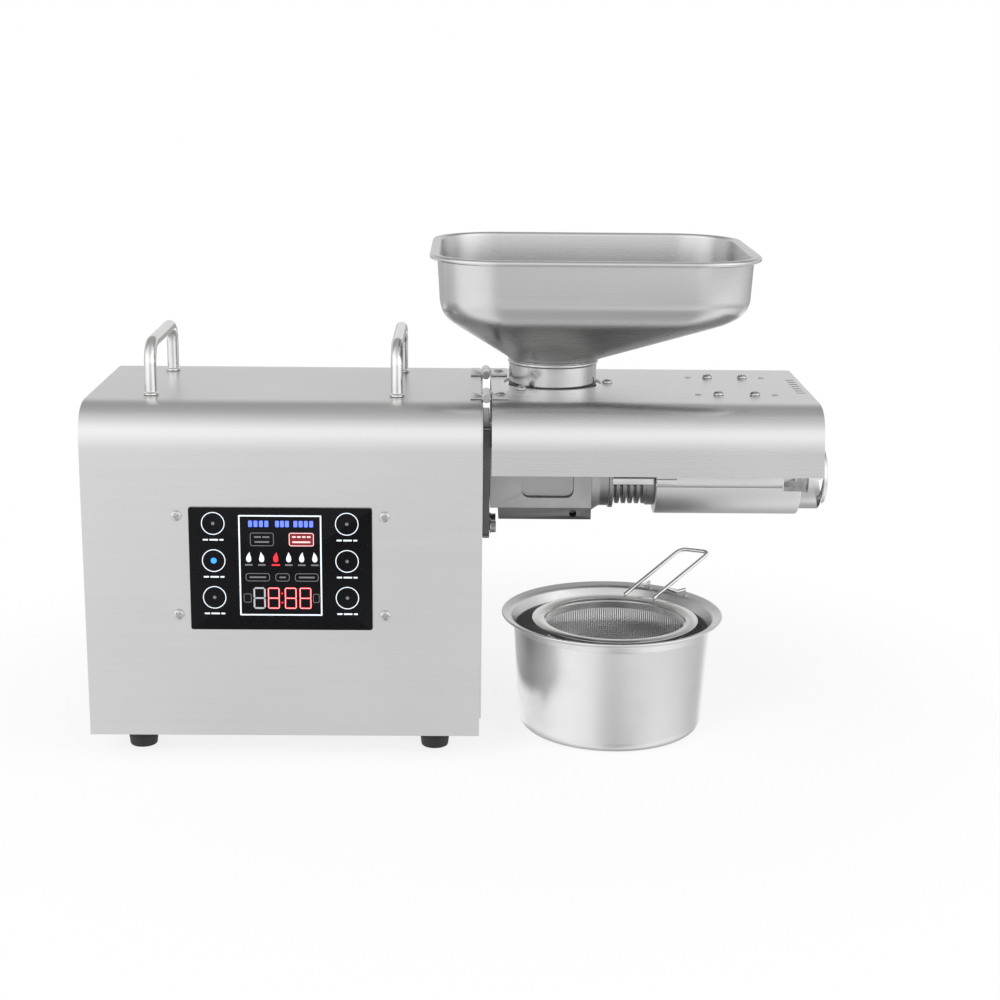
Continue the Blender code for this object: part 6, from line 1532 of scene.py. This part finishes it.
@dataclass
class Hopper:
    """The seed tray with its rolled rim, funnel and round neck.

    Attributes:
        middle: the tray's middle in X and Y.
        half: half the tray's length and width.
        corner: the radius of its upright corners.
        neck_radius: the neck's outer radius.
        sheet: the sheet's thickness.
        dip: how far above its corner the round between wall and funnel starts.
        turn_in: the share of the funnel at which that round ends.
        lean: how far the walls lean in.
        corner_steps: steps in each corner, both ends counted.
        side_steps: steps along each side.
    """

    middle: tuple[float, float] = (84.5, 0.0)
    half: tuple[float, float] = (103.0, 90.0)
    corner: float = 42.0
    neck_radius: float = 29.5
    sheet: float = 1.2
    dip: float = 13.0
    turn_in: float = 0.17
    lean: float = 1.4
    corner_steps: int = 20
    side_steps: int = 12
    maker: Maker = Maker("hopper")

    def __post_init__(self) -> None:
        """Works out both outlines at no offset: angles of the tray's corners, and of the neck."""
        quarter = np.pi / 2
        step = quarter / 16
        corner = np.linspace(0.0, quarter, self.corner_steps)
        share = np.linspace(0.0, 1.0, self.side_steps + 1)[1:-1]
        tray = np.concatenate([corner, np.full(len(share), quarter)])
        arc = np.linspace(step, quarter - step, self.corner_steps)
        neck = np.concatenate([arc, quarter - step + share * 2 * step])
        self.tray_angle, self.neck_angle = (
            np.concatenate([part + q * quarter for q in range(4)]) for part in (tray, neck)
        )
        signs = np.array([(1, 1), (-1, 1), (-1, -1), (1, -1)], dtype=float)
        inner = np.array(self.half) - self.corner
        centres = []
        for q in range(4):
            first, last = signs[q] * inner, signs[(q + 1) % 4] * inner
            centres.append(np.repeat(first[None], self.corner_steps, axis=0))
            centres.append(first + (last - first) * share[:, None])
        self.tray_centre = np.vstack(centres) + self.middle

    def ring(self, level: float, blend: float, grow: float) -> np.ndarray:
        """One ring of the hopper.

        The tray's ring is a rectangle with round corners and the neck's ring is a circle, both moved out
        by grow; the result lies between them by the share blend.

        Args:
            level: its height.
            blend: 0 on the tray and 1 on the neck.
            grow: the offset outwards.

        Returns:
            Its points.
        """
        tray, neck = (
            centre + np.stack([np.cos(angle), np.sin(angle)], axis=-1) * (radius + grow)
            for centre, angle, radius in (
                (self.tray_centre, self.tray_angle, self.corner),
                (NECK, self.neck_angle, self.neck_radius),
            )
        )
        return on_axis(Axis.Z, level, *(tray + (neck - tray) * blend).T)

    def build(self) -> None:
        """The single closed sheet from the rim to the neck's lower edge, and back inside.

        The round between wall and funnel is a quadratic curve: it leaves the wall upright and meets the
        funnel's straight slope, with the corner of the two as its handle.
        """
        low, high = corners_of("hopper")
        top, foot, sheet = high[2], low[2], self.sheet
        floor = top - 39.5
        funnel = top - 77.0
        bend = np.linspace(np.pi / 2, -np.pi * 0.35, 12)
        roll = 1.85
        outside, inside = (
            [(top - roll + r * math.sin(a), 0.0, 5.0 - roll + r * math.cos(a)) for a in turn]
            for r, turn in ((roll, bend), (roll - 0.7, bend[::-1]))
        )
        under = [(top - 0.75, 0.0, 1.2), (top - 1.6, 0.0, 0.3), (top - 3.0, 0.0, 0.0)]
        share = np.linspace(0.0, 1.0, 13)
        drop = (1 - share) ** 2 * self.dip + share**2 * self.turn_in * (funnel - floor)
        blends = np.linspace(self.turn_in, 1.0, 12)[1:-1]
        lean = self.lean
        outer_wall = [(floor + d, self.turn_in * u * u, -lean) for d, u in zip(drop, share)]
        inner_wall = [(z + sheet * u, b, g - sheet) for (z, b, g), u in zip(outer_wall, share)]
        outer_slope = [(floor + (funnel - floor) * b, b, -lean * (1 - b)) for b in blends]
        outer_slope += [(funnel - 0.6, 1.0, 0.0)]
        inner_slope = [(z + sheet, b, g - sheet) for z, b, g in outer_slope[:-1]]
        inner_slope += [(funnel + sheet - 1.4, 1.0, -sheet)]
        beads = [(2.2 * s, 1.1 * math.sin(s * np.pi)) for s in np.linspace(0, 1, 7)]
        bead = [(funnel - 0.9 - down, 1.0, out) for down, out in beads]
        lip = foot + 0.3
        neck = [(lip, 1.0, 0.0), (foot, 1.0, -0.3), (foot, 1.0, 0.3 - sheet), (lip, 1.0, -sheet)]
        rim_inside = [(top - 2.2, 0.0, -sheet), (top - 0.9, 0.0, -0.85 * sheet)]
        rim_inside += [(top - 0.25, 0.0, -0.2), (top, 0.0, 0.8)]
        path = outside + inside + under + outer_wall + outer_slope + bead + neck
        path += inner_slope[::-1] + inner_wall[::-1] + rim_inside
        points = np.stack([self.ring(*place) for place in path])
        self.maker.piece("seed_hopper", Surface.grid(points, loop_rows=True), HOPPER_STEEL, ("hopper",), 55.0)
        self.build_collar(funnel)

    def build_collar(self, top: float) -> None:
        """The polished collar that is pressed over the neck, with a bead at its upper edge."""
        inner, outer, bead = self.neck_radius - 0.3, self.neck_radius + 0.5, self.neck_radius + 1.5
        start = (inner, top - 9.0, 0)
        corners = [start, (inner, top - 17.5, 0.1), (outer, top - 17.5, 0.3), (outer, top - 3.4, 0.8)]
        corners += [(bead, top - 2.4, 0.6), (bead, top - 1.2, 0.5), (inner, top - 0.7, 0.2), start]
        shape = lathe(rounded(corners, 5)[:-1], Axis.Z, NECK, 128, True)
        self.maker.piece("neck_collar", shape, COLLAR_STEEL, (), 50.0)


# Oil pot and strainer


@dataclass
class OilPot:
    """The drawn pot under the barrel.

    Attributes:
        wall: the wall's thickness; not used.
    """

    wall: float = 1.2
    maker: Maker = Maker("pot")

    def build(self) -> None:
        """One turned wall from the middle of the bottom over the rim to the inside."""
        low, high = corners_of("oil_pot")
        middle = (low + high) / 2
        top = high[2]
        corners = [(0.0, 0.6, 0), (52.0, 0.6, 1.0), (53.5, 0.0, 0.6), (63.6, 0.0, 9.0)]
        corners += [(67.8, top - 9.0, 3.0), (70.3, top - 3.6, 4.0), (76.4, top - 1.5, 0.7), (76.4, top, 0.7)]
        corners += [(70.1, top - 1.9, 4.0), (66.7, top - 9.6, 3.0), (62.4, 1.2, 7.8), (53.0, 1.2, 1.0)]
        corners += [(51.5, 1.8, 1.0), (0.0, 1.8, 0)]
        around = {"grain": Grain.AROUND_Z, "centre": (middle[0], middle[1], 0.0)}
        tone = (0.71, 0.71, 0.708)
        steel = PolishedSteel("pot_steel", "polished_steel", tone, 0.31, fine=2600.0, **around)
        shape = lathe(rounded(corners, 10), Axis.Z, (middle[0], middle[1]), 160)
        self.maker.piece("oil_pot_drawn", shape, steel, ("oil_pot",), 50.0)


@dataclass
class Strainer:
    """The strainer: rim, woven bowl and bent wire handle.

    Attributes:
        rim_radius: the rim's outer radius.
        opening: the rim's inner radius.
        mesh_pitch: the spacing of the woven wires.
        mesh_wire: the radius of a woven wire.
        depth: the bowl's depth under its band.
        wire: the radius of the handle's wire.
        hook_rest: how far from the pot's middle the hooks end.
    """

    rim_radius: float = 57.0
    opening: float = 48.6
    mesh_pitch: float = 1.35
    mesh_wire: float = 0.2
    depth: float = 26.0
    wire: float = 1.4
    hook_rest: float = 74.2
    maker: Maker = Maker("strainer")

    def __post_init__(self) -> None:
        """Finds the bowl's middle and its band."""
        low, high = corners_of("strainer_bowl")
        self.middle = ((low + high) / 2)[:2]
        self.top = high[2]
        self.rim_level = self.top + 2.0

    def build_rim(self) -> None:
        """The flat rim, rolled at its edge, with the collar that holds the mesh."""
        z = self.rim_level
        inner, outer = self.opening, self.rim_radius
        crown = [(c, (0.35 + 0.85 * math.sin(c * np.pi) ** 0.8)) for c in np.linspace(0.12, 0.88, 7)]
        dome = [(inner + (outer - inner) * c, z + rise, 0) for c, rise in crown]
        corners = [
            (inner, z + 0.35, 0.3),
            *dome,
            (outer, z + 0.45, 0.3),
            (outer, z, 0.3),
            (inner + 1.0, z, 0.5),
            (inner + 1.0, z - 6.0, 0.4),
            (inner, z - 6.0, 0.4),
        ]
        start = (inner, z - 2, 0)
        profile = rounded([start, *corners, start], 5)[:-1]
        shape = lathe(profile, Axis.Z, self.middle, 128, True)
        around = {"grain": Grain.AROUND_Z, "centre": (*self.middle, 0.0)}
        steel = PolishedSteel("strainer_steel", "polished_steel", (0.68, 0.68, 0.67), 0.15, **around)
        whole = joined([shape, *self.wires()])
        self.maker.piece("strainer_rim_band", whole, steel, ("strainer_rim",), 45.0)

    def bent(self, corners: Sequence[Sequence[float]], radius: float, steps: int = 8) -> np.ndarray:
        """A path in space whose inner corners are rounded by quadratic curves."""
        places = np.array(corners, dtype=float)
        share = np.linspace(0.0, 1.0, steps + 1)[:, None]
        found = [places[:1]]
        for before, corner, after in zip(places, places[1:], places[2:]):
            start = corner + (before - corner) / np.linalg.norm(before - corner) * radius
            stop = corner + (after - corner) / np.linalg.norm(after - corner) * radius
            found.append((1 - share) ** 2 * start + 2 * share * (1 - share) * corner + share**2 * stop)
        return np.vstack([*found, places[-1:]])

    def wires(self) -> list[Surface]:
        """The handle's bent wire and its two hooks, at the solid's places."""
        radius = self.wire
        spread = 11.0 * math.cos(math.radians(25.0))
        reach = (self.rim_radius + self.opening) / 2
        level = self.rim_level + 1.2 + radius / 2
        feet = []
        x, y = self.middle
        for offset in (20.5 - spread, 20.5 + spread):
            feet.append(np.array([x + offset, y + math.sqrt(reach**2 - offset**2), level]))
        run = np.array([41.6, 22.0, 28.2])
        path = self.bent([feet[0], feet[0] + run, feet[1] + run, feet[1]], 5.0)
        shapes = [tube(path, radius, 18)]
        low, high = corners_of("oil_pot")
        pot = ((low + high) / 2)[:2]
        for foot in feet:
            start = foot + run / np.linalg.norm(run) * 12.0
            outward = start[:2] - pot
            outward /= np.linalg.norm(outward)
            rest = np.array([*(pot + outward * self.hook_rest), high[2] + 0.3 + radius])
            knee = rest - np.array([*outward, 0.0]) * 9.0
            shapes.append(tube(self.bent([start, knee, rest], 2.5), radius, 14))
        return shapes

    def weave(self, lines: int, turned: bool) -> Surface:
        """One direction of the woven mesh.

        Each wire crosses the bowl at a fixed offset. Its height is that of a half ellipsoid under the
        band, plus a wave of one wire radius whose sign changes at every crossing.

        Args:
            lines: the number of wires.
            turned: True for the wires that run along Y.

        Returns:
            The wires as four-sided bars.
        """
        radius = self.opening - 1.0
        band = self.top - 4.0
        offsets = (np.arange(lines) - (lines - 1) / 2) * self.mesh_pitch
        steps = 56
        half = np.sqrt(np.maximum(radius**2 - offsets**2, 0.0))[:, None]
        along = np.linspace(-1.0, 1.0, steps)[None, :] * half
        across = np.broadcast_to(offsets[:, None], along.shape)
        sunk = np.sqrt(np.maximum(1 - (along**2 + across**2) / radius**2, 0.0))
        wave = np.cos(np.pi * (along / self.mesh_pitch + np.arange(lines)[:, None] + (0 if turned else 1)))
        height = band - self.depth * sunk + self.mesh_wire * 0.9 * wave
        centre = np.stack([across, along, height] if turned else [along, across, height], axis=-1)
        centre[..., :2] += self.middle
        corner = np.array([(1, 0), (0, 1), (-1, 0), (0, -1)], dtype=float) * self.mesh_wire
        side = np.array([(c[0], 0.0, c[1]) if turned else (0.0, c[0], c[1]) for c in corner])
        bars = centre[:, :, None] + side[None, None]
        whole = []
        for bar, line in zip(bars, centre):
            ends = np.stack([np.repeat(line[:1], 4, axis=0), np.repeat(line[-1:], 4, axis=0)])
            whole.append(Surface.grid(np.concatenate([ends[:1], bar, ends[1:]])))
        return joined(whole)

    def build_bowl(self) -> None:
        """The woven bowl with a plain band at its top."""
        lines = int(2 * (self.opening - 1.6) / self.mesh_pitch)
        outer, band = self.opening - 0.3, self.top - 4.6
        inner = outer - 0.9
        profile = np.array([(outer, self.top), (outer, band), (inner, band), (inner, self.top)])
        ring = lathe(profile, Axis.Z, self.middle, looped=True)
        shape = joined([self.weave(lines, False), self.weave(lines, True), ring])
        steel = PolishedSteel("mesh_wire_steel", "satin_steel", (0.78, 0.78, 0.778), 0.24)
        self.maker.piece("strainer_mesh", shape, steel, ("strainer_bowl",), 60.0)

    def build(self) -> None:
        """All pieces of the strainer."""
        self.build_rim()
        self.build_bowl()


# Studio


@dataclass
class Studio:
    """The pale floor, the soft light and the camera.

    Attributes:
        place: the camera's place.
        focal: the focal length in pixels of a picture 1000 pixels wide.
        yaw: the camera's turn to the right, in radians.
        pitch: its tilt downwards.
        roll: its roll.
        sides: how bright the room is around, as a share of the turn and a grey each.
        cards: the same low down, where the pot's side looks.
    """

    place: Point = (0.00626, -1.29297, 0.46870)
    focal: float = 1912.2
    yaw: float = 0.01406
    pitch: float = 0.23699
    roll: float = 0.00980
    sides: tuple[tuple[float, float], ...] = (
        *((0.0, 0.42), (0.12, 0.45), (0.28, 0.86), (0.43, 0.76), (0.475, 0.45), (0.52, 0.43), (0.57, 0.60)),
        *((0.62, 0.84), (0.69, 1.0), (0.76, 0.96), (0.84, 0.70), (0.92, 0.46), (1.0, 0.42)),
    )
    cards: tuple[tuple[float, float], ...] = (
        *((0.0, 1.0), (0.38, 0.96), (0.43, 0.86), (0.47, 0.64), (0.495, 0.62), (0.515, 0.84), (0.54, 1.0)),
        *((0.57, 0.90), (0.62, 0.62), (0.70, 0.46), (0.88, 0.48), (0.92, 1.0)),
    )

    def build_camera(self) -> None:
        """A plain camera with everything in focus."""
        ahead = Vector(
            (
                math.sin(self.yaw) * math.cos(self.pitch),
                math.cos(self.yaw) * math.cos(self.pitch),
                -math.sin(self.pitch),
            )
        )
        right = Vector((math.cos(self.yaw), -math.sin(self.yaw), 0.0))
        up = right.cross(ahead)
        turn = Matrix.Rotation(-self.roll, 3, ahead)
        right, up = turn @ right, turn @ up
        data = bpy.data.cameras.new("studio_camera")
        data.sensor_width = 36.0
        data.lens = 36.0 * self.focal / 1000.0
        data.clip_start = 0.05
        data.clip_end = 60.0
        made = new_object("studio_camera", data)
        pose = Matrix((right, up, -ahead)).transposed().to_4x4()
        pose.translation = self.place
        made.matrix_world = pose
        bpy.context.scene.camera = made

    def room(self, sheet: NodeSheet) -> Signal:
        """The room's brightness in every direction.

        Above the horizon it is bright low down in front, and darker overhead and behind. Below it is
        what polished metal sees, because the floor itself is hidden from it: the sides of the room run
        on, with a bright strip just under the horizon, and soft cards stand further down, where the
        pot's wall looks.

        Args:
            sheet: the world's nodes.

        Returns:
            A grey.
        """
        x, y, z = sheet.split(sheet.add("ShaderNodeTexCoord", output="Generated"))
        turn = x.math("ARCTAN2", x, -y) / (2 * math.pi) + 0.5
        sides, cards = sheet.grey_level(turn, self.sides), sheet.grey_level(turn, self.cards)
        behind = sheet.grey_level(z, ((0.0, 0.66), (0.27, 0.66), (0.40, 0.44), (0.60, 0.30), (1.0, 0.38)))
        before = sheet.grey_level(z, ((0.0, 0.96), (0.38, 0.98), (0.66, 0.74), (0.87, 0.56), (1.0, 0.38)))
        above = (-y).ease(-0.35, 0.35).blend(behind, before * (sides * 0.9 + 0.54))
        right = x.ease(0.0, 0.06)
        strip = (z + right * 0.008).ease(-0.195, -0.114) * (-y).ease(0.2, 0.7) * 0.34
        low = (-z).ease(0.26, 0.31) * (1 - (-z).ease(0.40, 0.50))
        below = low.blend(sides * 1.05 + strip - right * 0.12, cards)
        return z.ease(-0.01, 0.01).blend(below, above)

    def build_world(self) -> None:
        """The room's light, and white for the camera."""
        world = bpy.data.worlds.new("studio_world")
        world.use_nodes = True
        bpy.context.scene.world = world
        sheet = NodeSheet(world.node_tree)
        level = self.room(sheet)
        light = sheet.vector(level, level, level)
        studio = sheet.add("ShaderNodeBackground", links={"Color": light, "Strength": 1.3})
        white = sheet.add("ShaderNodeBackground", links={"Color": (1.0, 1.0, 1.0, 1.0), "Strength": 1.0})
        seen = sheet.add("ShaderNodeLightPath", output="Is Camera Ray")
        mixed = sheet.add("ShaderNodeMixShader", links={0: seen, 1: studio, 2: white})
        sheet.add("ShaderNodeOutputWorld", links={"Surface": mixed})

    def build_light(
        self, name: str, place: Point, aim: Point, size: tuple[float, float], power: float
    ) -> None:
        """A rectangular soft lamp that looks at a point."""
        data = bpy.data.lights.new(name, "AREA")
        data.shape = "RECTANGLE"
        data.size, data.size_y = size
        data.energy = power
        made = new_object(name, data)
        made.visible_glossy = False
        made.location = place
        made.rotation_euler = (Vector(aim) - Vector(place)).to_track_quat("-Z", "Y").to_euler()

    def build_floor(self) -> None:
        """A wide pale floor that keeps a soft shadow close to the object and turns white further out."""
        reach = np.array([-9000.0, 9000.0])
        grid = on_axis(Axis.Z, -0.2, *np.meshgrid(reach, reach))
        data = Surface.grid(grid, loop_columns=False).mesh("studio_floor", False)
        made = new_object("studio_floor", data)
        made.visible_glossy = False
        material = bpy.data.materials.new("floor_paper")
        material.use_nodes = True
        sheet = NodeSheet(material.node_tree)
        tone = sheet.tint(sheet.cloud(900.0), (0.86, 0.86, 0.86), (0.90, 0.90, 0.90))
        paper = sheet.add("ShaderNodeBsdfPrincipled", links={"Base Color": tone, "Roughness": 0.9})
        glow = sheet.add("ShaderNodeEmission", links={"Color": (1.0, 1.0, 1.0, 1.0), "Strength": 1.0})
        length = sheet.add("ShaderNodeVectorMath", {"operation": "LENGTH"}, {0: sheet.position()}, 1)
        seen = sheet.add("ShaderNodeLightPath", output="Is Camera Ray")
        share = seen * (length.ease(0.25, 0.5) * 0.18 + 0.82)
        mixed = sheet.add("ShaderNodeMixShader", links={0: share, 1: paper, 2: glow})
        sheet.add("ShaderNodeOutputMaterial", links={"Surface": mixed})
        data.materials.append(material)

    def build(self) -> None:
        """The whole studio."""
        self.build_camera()
        self.build_world()
        self.build_floor()
        self.build_light("key_softbox", (-1.1, -1.5, 1.15), (0.0, 0.0, 0.15), (1.0, 0.8), 14.0)
        self.build_light("fill_softbox", (1.5, -1.1, 0.8), (0.05, 0.0, 0.15), (0.6, 1.2), 7.0)
        bpy.context.scene.view_settings.view_transform = "Standard"


def main() -> None:
    """Builds the press in order, then the studio."""
    logging.basicConfig(level=logging.INFO, format="%(name)s %(message)s")
    casing = Casing()
    casing.build()
    TouchPanel().build()
    build_drive()
    LeftEnd().build()
    Press().build()
    HeaterCover().build(casing)
    Hopper().build()
    OilPot().build()
    Strainer().build()
    Studio().build()
    bpy.context.view_layer.update()


if __name__ == "__main__":
    main()
